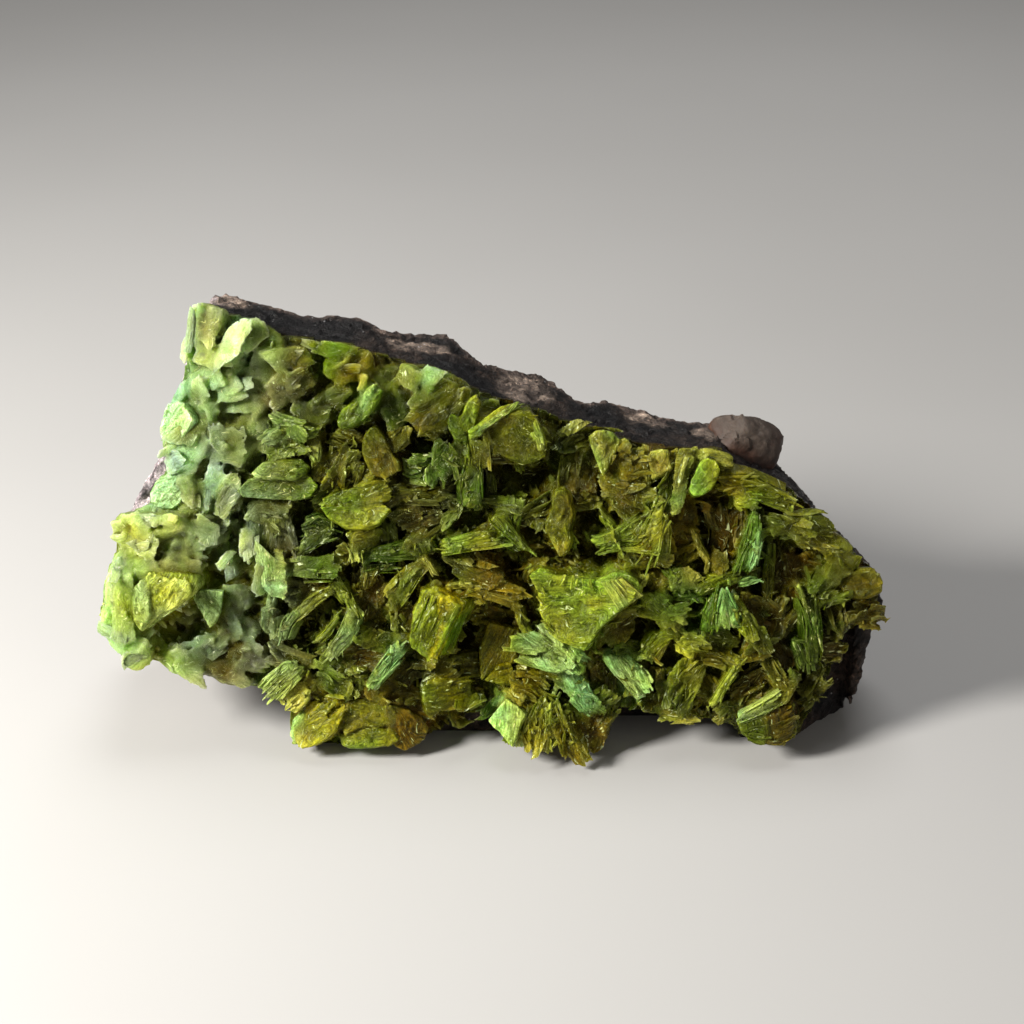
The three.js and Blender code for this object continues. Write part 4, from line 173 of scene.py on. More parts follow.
 ('yellow_tuft','yellow',1.3,-0.35,0.2,1.6,0.9,[(-10.42,2.34),(-9.91,2.98),(-9.23,3.27),(-8.56,3.55),(-8.05,3.45),(-7.77,3.06),(-7.88,2.51),(-8.16,2.11),(-8.33,1.56),(-8.9,1.07),(-9.69,0.61),(-10.25,0.43),(-10.59,0.71),(-10.82,1.28),(-10.76,1.82)]),
 ('yellow_tuft','lime',1.3,0,0.2,1.5,0.72,[(-7.87,2.91),(-7.49,3.23),(-6.79,3.33),(-6.08,3.23),(-5.43,2.96),(-5.11,2.38),(-5.38,1.84),(-6.08,1.68),(-6.79,1.79),(-7.33,1.58),(-7.87,1.26),(-8.14,1.84),(-7.98,2.38)]),
 ('yellow_tuft','lime',1.4,-0.1,0.1,1.2,0.85,[(-8.23,1.15),(-7.35,1.52),(-6.63,1.65),(-5.98,1.62),(-5.32,1.47),(-4.95,1.05),(-5.44,0.7),(-6.1,0.62),(-6.97,0.48),(-7.63,0.46),(-8.07,0.66)]),
 ('yellow_tuft','ochre',1.2,0.3,0,1.5,0.7,[(-5.68,3.02),(-4.99,2.83),(-4.36,2.54),(-3.72,2.14),(-3.35,1.47),(-3.57,0.86),(-4.11,0.52),(-4.65,0.29),(-5.18,0.63),(-5.44,1.29),(-5.16,2),(-5.42,2.59)]),
 ('yellow_tuft','mint',0.9,-0.7,0.1,1.2,0.95,[(-11.03,1),(-10.84,1.87),(-10.35,2.48),(-10.12,2.32),(-10.48,1.74),(-10.55,1.11),(-10.32,0.56),(-10.74,0.62)]),
 ('','pale',1.1,-0.3,0.2,0.7,1.1,[(-10.13,4.32),(-9.91,3.76),(-10.02,3.06),(-10.3,2.82),(-10.87,2.77),(-11.26,2.94),(-10.87,3.41),(-10.47,3.81)]),
 ('','olive',0.9,0,0.1,0.8,0.8,[(-9.94,4.22),(-9.34,4.33),(-8.8,4),(-8.59,3.56),(-9.24,3.28),(-9.79,3.01),(-9.95,3.56)]),
 ('','green',1.2,0,0.2,0.9,0.8,[(-8.92,4.7),(-8.49,5.13),(-7.84,5.34),(-7.24,5.13),(-7.08,4.54),(-7.57,4.07),(-7.79,3.48),(-8.38,3.48),(-8.7,4.01),(-8.92,4.28)]),
 ('','olive',1,-0.1,0.2,0.9,0.85,[(-7.7,4.9),(-7.15,5.13),(-6.39,5.05),(-5.95,4.95),(-6.28,4.31),(-6.83,4.08),(-7.04,4.5),(-7.48,4.59)]),
 ('','ochre',1.1,0.1,0,1,0.8,[(-6.94,3.64),(-6.29,3.73),(-5.65,3.49),(-5.23,2.96),(-5.77,2.81),(-6.41,3.17),(-6.84,3.3)]),
 ('','olive',0.7,0.1,0.1,0.8,0.8,[(-3.7,4.82),(-3.26,5.3),(-2.62,5.5),(-2.18,5.16),(-1.86,4.71),(-1.86,4.32),(-2.46,4.12),(-3,4.25),(-3.54,4.26)]),
 ('back_olive_plate','grey',0.4,0.1,0.1,0.5,0.62,[(-2.51,5.45),(-0.67,5.67),(-0.51,4.95),(-0.51,4.23),(-1.22,4.2),(-1.87,4.22),(-2.08,4.78),(-2.41,5.11)]),
 ('lower_olive_plate','olive',1.1,0.1,0.05,0.6,0.85,[(-3.69,3.82),(-3.36,4.31),(-2.93,4.46),(-2.17,4.39),(-0.99,4.4),(-1.04,3.68),(-0.83,3.12),(-0.99,2.79),(-1.64,2.64),(-2.19,2.54),(-2.73,2.56),(-3.27,2.13),(-3.54,2.48),(-3.64,3.21)]),
 ('','olive',1.3,0.1,0.2,0.4,1,[(-2.17,2.65),(-1.85,3.12),(-1.31,3.37),(-0.82,3.19),(-0.93,2.88),(-1.58,2.74)]),
 ('','grey',0.3,0.1,0,0.5,0.5,[(-2.27,2.11),(-1.56,2.26),(-1.18,1.85),(-1.35,1.33),(-1.78,1.23),(-2.27,1.6)]),
 ('','ochre',0.6,0.2,0.1,1,0.38,[(-5.77,4.41),(-5.01,5.02),(-4.15,4.97),(-3.84,4.07),(-3.95,3.08),(-4.71,2.69),(-5.46,3.07),(-5.77,3.64)]),
 ('','ochre',0.5,0.2,0,1,0.45,[(-5.15,2.34),(-4.28,2.74),(-3.63,2.58),(-3.42,1.88),(-4.18,2.05),(-4.73,1.74)]),
 ('','olive',0.9,0.1,0.1,0.9,0.7,[(-9.07,5.94),(-8.48,6.19),(-7.84,6.23),(-7.58,5.78),(-7.85,5.25),(-8.5,5.16),(-8.98,5.23)]),
 ('','ochre',0.6,0.1,0.1,0.9,0.45,[(-11.82,5.73),(-10.96,5.93),(-10.22,5.58),(-10.01,5.02),(-10.65,5.15),(-11.4,4.96),(-11.94,5.19)]),
 ('crown_book','lime',1.6,-0.2,1,0.6,1.25,[(-0.49,18.54),(0.03,18.92),(0.55,19.26),(1.18,19.46),(1.65,19.33),(1.28,19),(0.97,19.04),(0.45,18.8),(-0.07,18.42),(-0.58,18.09),(-1.05,17.94),(-1.16,18.12)]),
 ('crown_book','olive',1.5,0,0,1.6,1,[(-0.49,17.94),(0.03,18.47),(0.55,18.83),(1.08,19.05),(1.6,19.05),(2.12,19.1),(2.54,18.57),(2.9,17.83),(3.06,17.25),(2.96,16.61),(2.39,16.29),(1.7,16.13),(1.18,16.4),(0.55,16.67),(0.03,16.56),(-0.13,16.98),(-0.44,17.46)]),
 ('','pale',1.6,-0.1,0.1,0.5,0.85,[(2.33,18.36),(2.69,17.85),(2.9,17.28),(2.69,17.07),(2.43,17.63)]),
 ('crown_book','olive',1.2,0.1,-0.4,0.8,0.75,[(-0.18,17.03),(0.55,17.14),(1.13,17.18),(1.39,16.66),(1.92,16.07),(1.18,16.09),(0.55,16.1),(-0.19,16.12),(-0.45,16.47)]),
 ('','lime',1.6,-0.1,0.1,0.6,0.9,[(-0.49,17.52),(-0.18,17.16),(0.08,16.75),(-0.23,16.38),(-0.49,16.22),(-0.7,16.73),(-0.65,17.15)]),
 ('','green',0.6,0.1,0.2,0.6,0.6,[(-0.5,19.33),(0.13,19.53),(0.55,19.27),(0.13,18.91),(-0.4,18.66),(-0.55,18.97)]),
 ('','ochre',-1,0.1,0.3,0.8,0.4,[(1.4,15.34),(2.26,15.53),(3.34,15.87),(3.78,15.45),(3.83,14.82),(3.34,14.42),(2.69,14.32),(1.88,14.18),(0.96,14.1),(0.86,14.52)]),
 ('','olive',0.9,0,0.3,0.8,0.7,[(-0.36,14.24),(0.12,14.44),(0.81,14.34),(1.55,14.29),(1.39,13.83),(0.54,13.73),(-0.14,13.83)]),
 ('','green',1.1,0,0.2,0.7,0.85,[(0.86,14.05),(1.39,14.2),(1.71,13.94),(1.66,13.16),(1.5,12.54),(1.07,12.75),(0.86,13.37)]),
 ('','olive',0.9,0,0.1,0.8,0.8,[(1.66,13.49),(2.13,14.07),(2.66,14.34),(3.25,14.34),(3.36,13.76),(3.09,13.17),(2.67,12.96),(2.03,12.96)]),
 ('tall_centre_plate','olive',1.8,-0.05,0.05,0.8,1.05,[(3.28,14.41),(3.49,14.84),(3.85,14.95),(4.12,14.63),(4.28,14.11),(4.39,13.58),(4.23,12.77),(4.29,12.13),(4.03,11.54),(3.71,11.33),(3.45,11.75),(3.24,12.18),(2.97,12.65),(2.92,13.19),(3.13,13.62),(3.28,13.94)]),
 ('','olive',0.2,0.1,0.2,0.7,0.42,[(3.72,17.72),(4.36,17.97),(4.84,17.75),(4.79,16.98),(4.31,16.62),(3.78,16.84)]),
 ('','pale',0.5,-0.1,0.5,0.3,0.95,[(3.82,17.94),(4.5,18.24),(4.93,18.45),(4.98,18.2),(4.4,18),(3.92,17.79)]),
 ('','olive',0.2,0,0.3,0.6,0.6,[(5.05,17.94),(5.84,18.14),(6.9,18.04),(7.32,17.73),(6.69,17.73),(5.84,17.83),(5.31,17.63)]),
 ('hooked_flake','pale',1.3,-0.1,0.2,0.5,0.85,[(5.17,17.61),(5.53,17.92),(5.95,18.03),(6.42,17.94),(6.73,17.63),(6.89,17.43),(6.47,17.17),(6.21,16.8),(6.06,16.34),(6.16,15.93),(5.95,15.62),(5.74,16.02),(5.74,16.69),(5.48,17.05),(5.27,17.3)]),
 ('','olive',1.1,0,0.2,0.6,0.9,[(6.69,17.13),(6.9,17.54),(7.32,17.39),(7.17,17.08),(6.75,16.93)]),
 ('','ochre',0.2,0.1,0.2,0.9,0.45,[(4.53,16.31),(5.33,16.61),(5.87,16.29),(5.92,15.35),(5.76,14.51),(5.01,14.42),(4.58,15.16)]),
 ('','olive',0.5,0.1,0.2,0.8,0.6,[(3.62,15.94),(4.26,16.24),(4.68,15.82),(4.68,14.99),(4.26,14.58),(3.83,15)]),
 ('','olive',1,0,0.1,0.9,0.85,[(6.08,16.62),(6.6,16.88),(7.39,16.94),(7.97,16.78),(7.98,15.83),(7.51,15.36),(6.88,15.25),(6.4,15.36),(6.08,15.83)]),
 ('','olive',1.1,0,0.2,0.8,0.75,[(6.46,15.19),(7.2,15.4),(7.94,15.6),(8.36,15.09),(8.57,14.41),(7.94,14.26),(6.99,14.31),(6.25,14.67)]),
 ('','olive',0.8,0,0.2,0.8,0.65,[(4.05,14.27),(4.79,14.48),(5.64,14.27),(5.64,13.86),(4.79,13.75),(4.15,13.86)]),
 ('triangular_book','lime',2.3,-0.15,0.1,1.8,1,[(2.13,10.36),(2.66,10.65),(3.45,10.41),(4.24,10.28),(5.03,10.15),(5.82,10.18),(6.44,10.31),(7.12,10.12),(7.75,9.72),(7.6,9.29),(7.29,8.96),(6.77,8.52),(6.25,8.07),(5.83,7.63),(5.41,6.97),(5.05,6.42),(4.52,6.61),(3.73,6.85),(3.2,7.25),(2.93,7.83),(2.67,8.36),(2.77,9),(2.56,9.53)]),
 ('','olive',1.4,0.3,-0.6,0.9,0.7,[(5.48,6.47),(5.88,7.3),(6.35,7.78),(6.87,8.26),(7.38,8.74),(7.57,8.26),(6.96,7.52),(6.44,6.9),(5.92,6.28),(5.62,5.77),(5.18,5.82)]),
 ('triangular_book','lime',2.35,-0.1,0.2,0.7,1.1,[(5.82,10.21),(6.55,10.6),(7.28,10.53),(7.79,10.15),(7.84,9.86),(7.48,9.49),(6.96,9.86),(6.34,10.09)]),
 ('','mint',1.5,-0.15,0.3,1.3,0.85,[(1.66,6.48),(2.15,6.86),(2.95,7.05),(3.65,6.82),(4.18,6.58),(4.71,6.25),(5.03,5.75),(4.87,5.23),(4.29,5.16),(3.75,5.39),(3.22,5.11),(2.58,5.08),(2.04,5.47),(1.72,5.97)]),
 ('','olive',1,-0.2,0,0.6,1.1,[(1.29,8.44),(1.5,8.57),(1.77,7.91),(1.99,7.09),(2.09,6.71),(1.83,6.8),(1.5,7.62),(1.34,8.06)]),
 ('square_plate','grey',0.7,0.05,0.1,0.45,0.95,[(-0.06,7.45),(0.8,7.22),(1.67,6.99),(1.67,6.39),(1.56,5.57),(1.45,5.19),(0.96,5.09),(0.37,4.88),(-0.12,4.5),(-0.55,4.18),(-0.61,5.06),(-0.61,5.88),(-0.39,6.53)]),
 ('small_square_plate','olive',1,0,0.2,0.5,1.1,[(-0.28,4.28),(0.1,4.71),(0.48,5.13),(1.02,5.24),(1.23,4.92),(1.29,4.28),(1.13,3.96),(0.53,4.02)]),
 ('','olive',0.9,0,0.1,0.7,0.8,[(1.29,4.9),(1.83,5.17),(2.21,4.73),(2.97,4.73),(3.35,4.46),(3.73,4.29),(3.24,4.07),(2.7,3.96),(2.05,4.18),(1.4,4.07)]),
 ('','pale',1,-0.1,0.1,0.3,0.9,[(3.29,3.75),(3.67,4.14),(3.73,3.93),(3.46,3.48)]),
 ('','mint',1.3,-0.1,0.1,1.2,0.7,[(3.77,4.91),(4.31,4.82),(4.85,4.51),(5.34,4.14),(5.61,3.82),(5.61,3.22),(5.4,2.66),(4.97,2.54),(4.59,2.91),(4.37,3.51),(4.31,4.05),(3.99,4.37)]),
 ('','olive',1.3,0.1,0.2,0.6,0.85,[(1.61,3.85),(2.04,4.31),(2.42,4.25),(2.97,3.81),(3.4,3.32),(3.13,3.06),(2.59,3.24),(2.15,2.93),(1.72,2.68),(1.61,3.27)]),
 ('corner_block','mint',2,-0.35,0.25,1.8,1.15,[(-0.12,2.19),(0.37,2.82),(0.86,3.44),(1.34,3.18),(1.77,2.92),(1.93,2.68),(1.72,2.29),(1.5,1.75),(1.34,1.31),(1.18,0.88),(0.96,1.11),(0.53,1.59),(0.15,1.86)]),
 ('corner_block','green',1.7,0.6,0,1.2,1,[(1.94,2.47),(2.21,2.01),(1.94,1.39),(1.61,1),(1.18,0.75),(1.4,1.27),(1.56,1.69),(1.77,2.1)]),
 ('','lime',1.7,0,0.1,1.4,0.85,[(1.88,1.34),(2.15,2.11),(1.99,2.66),(2.42,3.04),(2.85,3.26),(3.28,3.09),(3.45,2.66),(3.56,1.94),(3.61,1.23),(3.34,0.9),(2.97,0.84),(2.42,0.95),(2.05,0.84),(1.56,0.68)]),
 ('','olive',1.8,0.1,0.1,1.3,1,[(3.5,2.81),(4.04,2.73),(4.58,2.28),(4.91,1.66),(5.08,1),(5.08,0.23),(4.75,0.13),(4.32,0.42),(3.94,0.54),(3.56,1),(3.45,1.82)]),
 ('','pale',1.4,-0.2,0.3,0.5,0.9,[(0.86,3.56),(1.23,3.84),(1.67,3.71),(1.72,3.31),(1.34,3.13),(0.96,3.31)]),
 ('','teal',0.4,-0.3,0.1,0.5,0.7,[(-0.08,2.22),(0.2,2.91),(0.58,3.45),(0.8,3.3),(0.52,2.78),(0.08,2.13)]),
 ('','ochre',0.9,0.1,0,1.2,0.6,[(5.31,2.94),(6.13,2.97),(6.63,2.44),(6.58,1.64),(6.26,0.85),(5.72,0.52),(5.11,0.66),(5.05,1.41),(5.21,2.26)]),
 ('','lime',1.1,0.1,0.1,1,0.6,[(5.51,3.84),(6.06,3.87),(6.55,3.42),(6.66,2.87),(6.12,2.5),(5.52,2.52),(5.46,3.18)]),
 ('','olive',1,-0.1,0.1,0.5,0.8,[(6.83,7.12),(7.25,7.78),(7.68,7.9),(7.58,7.08),(7.32,6.48),(6.89,6.58)]),
 ('','mint',1.4,-0.1,0.2,0.9,0.9,[(6.3,5.92),(6.89,5.93),(7.43,5.63),(8.07,5.12),(8.44,4.44),(8.39,3.86),(8.02,3.74),(7.53,3.99),(7,4.4),(6.52,5.02)]),
 ('','ochre',0.5,0.1,0.1,1,0.5,[(5.2,5.52),(5.96,5.88),(6.51,5.21),(6.84,4.32),(6.63,3.55),(5.97,3.79),(5.42,4.36)]),
 ('','olive',1.2,0,0.3,0.7,0.7,[(-1.38,10.07),(-0.53,10.33),(0.27,10.02),(1.07,9.66),(1.71,9.35),(1.66,8.84),(0.81,8.89),(0.01,8.89),(-0.63,9.1),(-1.06,9.46)]),
 ('','olive',0.6,0,0.2,0.4,0.8,[(-1.68,8.15),(-0.97,8.52),(-0.44,8.78),(-0.17,8.62),(-0.65,8.3),(-1.3,8.04)]),
 ('','teal',0.9,0.1,0.2,0.8,0.75,[(6.79,6.05),(7.66,6.45),(8.37,6.11),(8.64,5.57),(8.1,5.27),(7.34,5.39),(6.79,5.62)]),
 ('upper_right_flake','pale',1.3,-0.2,0.3,0.6,0.95,[(8.44,16.9),(8.96,16.97),(9.37,16.99),(9.42,16.43),(9.57,16.03),(9.05,15.66),(8.53,15.44),(8.43,15.99),(8.28,16.49)]),
 ('','olive',0.9,-0.1,0.2,0.7,0.9,[(9.41,16.8),(9.93,16.92),(10.3,16.61),(10.19,16.09),(9.72,15.78),(9.51,16.24)]),
 ('','olive',0.8,0,0.2,0.7,0.8,[(7.99,16.73),(8.36,16.73),(8.47,16.11),(8.47,15.39),(8.05,15.39),(7.94,16.11)]),
 ('','pale',1.5,-0.2,0.2,0.5,0.95,[(9.9,16.31),(10.1,16.42),(10.31,16.12),(10.21,15.65),(10.05,15.13),(9.85,14.61),(9.59,14.03),(9.49,14.34),(9.69,14.96),(9.79,15.64)]),
 ('','green',1.2,-0.2,0.1,0.6,0.85,[(8.94,14.72),(9.2,15.31),(9.5,15.74),(9.76,15.6),(9.67,15.07),(9.47,14.37),(9.32,13.68),(9.01,13.56)]),
 ('lime_fan','lime',1.7,-0.1,0.2,1.1,1.25,[(10.46,14.85),(10.61,15.42),(10.82,15.94),(11.03,16.35),(11.44,16.56),(11.86,16.37),(12.06,15.96),(11.91,15.44),(11.6,14.97),(11.13,14.66),(10.72,14.6)]),
 ('','pale',1,-0.1,0.3,0.6,0.72,[(11.25,16.3),(11.51,16.71),(11.88,16.92),(12.35,16.83),(12.55,16.48),(12.44,16.07),(12.13,15.81),(11.92,16.26)]),
 ('','pale',0.9,-0.1,0.3,0.6,0.72,[(10.31,16.54),(10.68,16.9),(10.99,16.6),(11.25,16.35),(10.98,15.99),(10.56,15.78),(10.25,16.13)]),
 ('','olive',0.9,0,0.1,0.8,0.8,[(9.85,15.37),(10.27,15.8),(10.8,15.69),(10.81,15.06),(10.49,14.53),(10.07,14.63),(9.85,14.95)]),
 ('','olive',1.4,0,-0.1,0.8,0.85,[(6.85,11.6),(7.97,11.38),(9.02,11.6),(9.52,11.04),(8.79,10.54),(7.98,10.7),(7.34,10.98)]),
 ('','pale',1.3,-0.1,0.2,0.6,0.8,[(9.87,10.38),(10.55,10.66),(10.92,10.2),(10.98,9.73),(10.66,9.46),(10.13,9.55),(9.76,9.91)]),
 ('','olive',0.9,0,0.2,0.6,0.7,[(8.41,10.03),(8.83,10.34),(9.32,9.92),(9.42,9.34),(8.84,9.34),(8.41,9.55)]),
 ('','pale',1.3,-0.3,0.2,0.4,0.95,[(7.95,9.9),(8.21,10.13),(8.37,9.78),(8.06,9.6)]),
 ('','olive',0.6,-0.1,0.1,0.5,0.85,[(9.91,10.79),(10.17,11.39),(10.38,11.88),(10.65,11.67),(10.55,11.13),(10.18,10.53)]),
 ('','ochre',0.5,0,0.2,0.6,0.75,[(9.73,12.36),(10.16,12.68),(10.69,12.47),(10.59,12.05),(10.05,11.94)]),
 ('','olive',1,0,0.1,0.6,0.8,[(11.69,10.99),(12.16,11.32),(12.7,11.21),(12.6,10.62),(12.29,10.08),(11.86,10.35),(11.48,10.78)]),
 ('','olive',1.2,0,0.2,0.9,0.55,[(6.47,14.23),(7.21,14.34),(7.95,14.13),(8.48,13.82),(8.27,13.19),(7.63,12.99),(7,13.3),(6.57,13.71)]),
 ('','ochre',0.3,0.1,0.2,0.8,0.5,[(9.51,14.06),(10.15,14.36),(10.8,14.03),(11.02,13.3),(10.59,12.68),(9.94,12.79),(9.51,13.33)]),
 ('','ochre',-0.2,0.1,0.2,0.8,0.38,[(11.27,13.69),(12.14,14.04),(13.23,13.65),(13.72,12.85),(13.23,12.07),(12.15,12.25),(11.38,12.9)]),
 ('','ochre',-0.4,0.1,0.2,0.8,0.36,[(11.44,12),(12.42,12.03),(13.41,11.8),(13.63,11.26),(12.97,10.85),(11.99,11.09)]),
 ('','olive',1.1,0,0.2,1,0.7,[(14.44,13.56),(15.18,13.56),(15.93,13.24),(16.46,12.93),(16.25,12.41),(15.5,12.51),(14.87,12.2),(14.34,12.62)]),
 ('','olive',1.2,0,0.2,0.9,0.85,[(16.16,13.69),(16.85,13.74),(17.49,13.43),(17.65,12.86),(17.07,12.6),(16.43,12.6),(15.9,12.91),(15.69,13.43)]),
 ('','olive',1.2,0,0.2,1,0.9,[(16.26,11.76),(16.58,12.23),(17.53,12.7),(18.17,12.49),(18.55,11.97),(18.97,11.56),(18.6,11.19),(17.8,11.5),(17.01,11.61)]),
 ('','ochre',-0.2,0.1,0.1,0.9,0.36,[(15.21,11.65),(16.08,11.73),(16.75,11.29),(16.77,10.31),(16.35,9.34),(15.47,9.36),(15.12,10.35)]),
 ('','ochre',0.2,0.1,0.1,0.9,0.45,[(16.77,11.2),(17.64,11.18),(18.31,10.84),(18.1,10.08),(17.34,9.89),(16.78,10.33)]),
 ('','lime',1.2,-0.1,0.3,0.9,0.8,[(18.55,11.69),(19.07,11.4),(19.32,10.89),(19.1,10.38),(18.58,10.01),(18.11,10.41),(18.23,11.07)]),
 ('','olive',1.6,0.1,0.1,0.8,0.9,[(12.68,9.16),(13.33,8.88),(13.88,8.11),(14.43,7.4),(14.93,6.79),(14.94,6.2),(14.46,6.1),(13.91,6.6),(13.46,7.15),(13.34,8.02),(12.96,8.67)]),
 ('','olive',1.4,0,-0.1,0.7,1,[(13.48,6.07),(13.84,6.3),(14.9,6.53),(14.88,5.96),(14.3,5.73),(13.77,5.55)]),
 ('','lime',1.5,-0.2,0.2,0.9,1.1,[(10.19,6.62),(10.51,6.95),(10.98,7.14),(11.3,6.89),(11.24,6.36),(10.82,5.97),(10.46,5.79),(10.19,6.2)]),
 ('','green',1.3,-0.1,0.1,1,0.85,[(9.4,3.71),(9.72,4.21),(10.14,4.77),(10.67,5.22),(11.36,5.24),(11.37,4.37),(11.12,3.54),(10.86,2.77),(10.54,2.43),(10.05,2.91),(9.57,3.17)]),
 ('','ochre',0.8,0.1,0.2,1,0.38,[(13.28,3.68),(13.66,4.63),(14.21,5.04),(14.87,4.8),(15.31,4.15),(15.54,3.5),(14.87,3.1),(14.1,2.91),(13.44,2.93)]),
 ('lower_right_bulb','green',1.9,-0.1,-0.1,1.6,0.8,[(13.32,2.05),(14.1,2.31),(14.72,2.68),(14.96,2.22),(14.99,1.4),(14.8,0.87),(14.16,1.02),(13.61,1.41)]),
 ('lower_right_bulb','ochre',1.8,0.2,-0.1,1.6,0.6,[(14.71,2.76),(15.47,3.11),(16.08,3.13),(16.5,2.51),(16.71,1.73),(16.57,1.15),(15.69,0.87),(14.91,0.86),(14.98,1.74)]),
 ('','olive',1.3,0,0.2,0.9,0.7,[(14.66,5.22),(15.42,5.22),(16.06,4.8),(15.96,4.27),(15.53,3.84),(15.09,4.37)]),
 ('','pale',1.5,-0.1,0.2,0.6,0.7,[(15.57,3.86),(15.94,4.46),(16.31,5),(16.52,4.42),(16.31,3.89),(15.94,3.61)]),
 ('','green',1.3,-0.1,0.3,0.9,0.95,[(17.07,10.06),(17.6,10.43),(18.13,10.55),(18.71,10.87),(19.12,10.47),(18.69,10),(18.11,9.63),(17.58,9.1),(17.11,9.35)]),
 ('right_end_plate','olive',1.3,0,0.2,1.4,0.9,[(19.09,10.28),(19.73,10.54),(20.53,10.49),(20.96,9.91),(20.91,9.28),(20.32,8.92),(19.47,8.92),(18.93,9.28),(18.56,9.65)]),
 ('','green',1.2,-0.1,0.2,1,0.8,[(18.5,9.7),(19.02,9.55),(19.34,9.04),(18.97,8.61),(18.39,8.59),(17.97,8.9),(18.08,9.43)]),
 ('','ochre',0.8,0.1,0.1,1.2,0.7,[(19.45,8.47),(20.21,8.67),(20.88,8.33),(21.06,7.67),(20.69,7.08),(20.03,7.26),(19.46,7.82)]),
 ('','ochre',0.6,0,0.1,1,0.5,[(18.23,7.95),(18.98,8.28),(19.42,7.84),(19.44,6.97),(18.8,6.64),(18.14,7.08)]),
 ('','ochre',0.5,0,0.1,0.9,0.38,[(17.98,6.57),(18.85,6.46),(19.3,5.8),(18.99,5.04),(18.22,5.26),(17.88,5.91)]),
 ('','lime',1.6,-0.1,0.2,0.8,1,[(8.22,9.06),(8.8,9.44),(9.33,9.04),(9.76,8.52),(10.18,8.27),(10.44,7.97),(9.91,7.8),(9.33,8.04),(8.8,8.19),(8.38,8.54)]),
 ('','olive',1.1,0,0.1,0.6,0.8,[(8.86,4.73),(9.29,4.89),(9.51,4.29),(9.35,3.58),(8.92,3.69)]),
 ('','pale',0.9,0,0.1,0.5,0.7,[(12.22,2.81),(12.76,3.03),(13.2,2.75),(12.99,2.37),(12.39,2.37)]),
 ('','pale',0.7,0,0.1,0.4,0.7,[(12.15,2),(12.64,2.17),(12.76,1.78),(12.27,1.72)]),
 ('','pale',0.9,0,0.1,0.5,0.8,[(9.45,2.41),(10.33,2.35),(10.98,2.07),(9.95,1.91)]),
 ('','olive',1.1,0,0.2,0.9,0.75,[(11.26,5.91),(12.12,6.23),(12.93,5.96),(13.53,5.7),(13.04,5.28),(12.29,5.12),(11.59,5.38)]),
 ('','olive',1,0,0.1,0.9,0.75,[(11.37,4.14),(12.01,4.47),(12.56,4.14),(12.24,3.48),(11.7,3.15),(11.32,3.48)]),
 ('','ochre',0.4,0.1,0.1,1,0.45,[(15.21,8.57),(16.2,8.66),(16.65,7.88),(16.56,6.79),(15.8,6.38),(15.24,7.16)]),
 ('','ochre',0.5,0.1,0.1,1,0.5,[(13.69,8.39),(14.45,8.59),(15.11,8.25),(15.13,7.38),(14.58,7.17),(14.02,7.95)]),
 ('','ochre',0.5,0.1,0.1,1,0.42,[(15.27,6.09),(16.04,6.23),(16.49,5.67),(16.4,4.79),(15.74,4.81),(15.29,5.37)]),
 ('','olive',0.6,0,0.1,0.9,0.5,[(17.17,4.34),(17.82,4.56),(18.27,3.9),(18.07,3.02),(17.42,2.8),(16.97,3.46)]),
 ('','ochre',0.8,0,0.1,1,0.55,[(8.14,3.39),(9.01,3.39),(9.67,2.95),(9.46,2.45),(8.69,2.4),(8.15,2.73)]),
 ('','green',0.8,0.1,0.2,0.8,0.45,[(11.43,6.91),(12.19,6.78),(13.06,6.76),(13.39,6.32),(12.63,6.03),(11.65,6.27)]),
 ('','lime',1.2,0,0.1,0.8,0.8,[(9.33,7.89),(9.98,7.57),(10.41,7.13),(10.09,6.7),(9.56,6.92),(9.12,7.46)]),
]
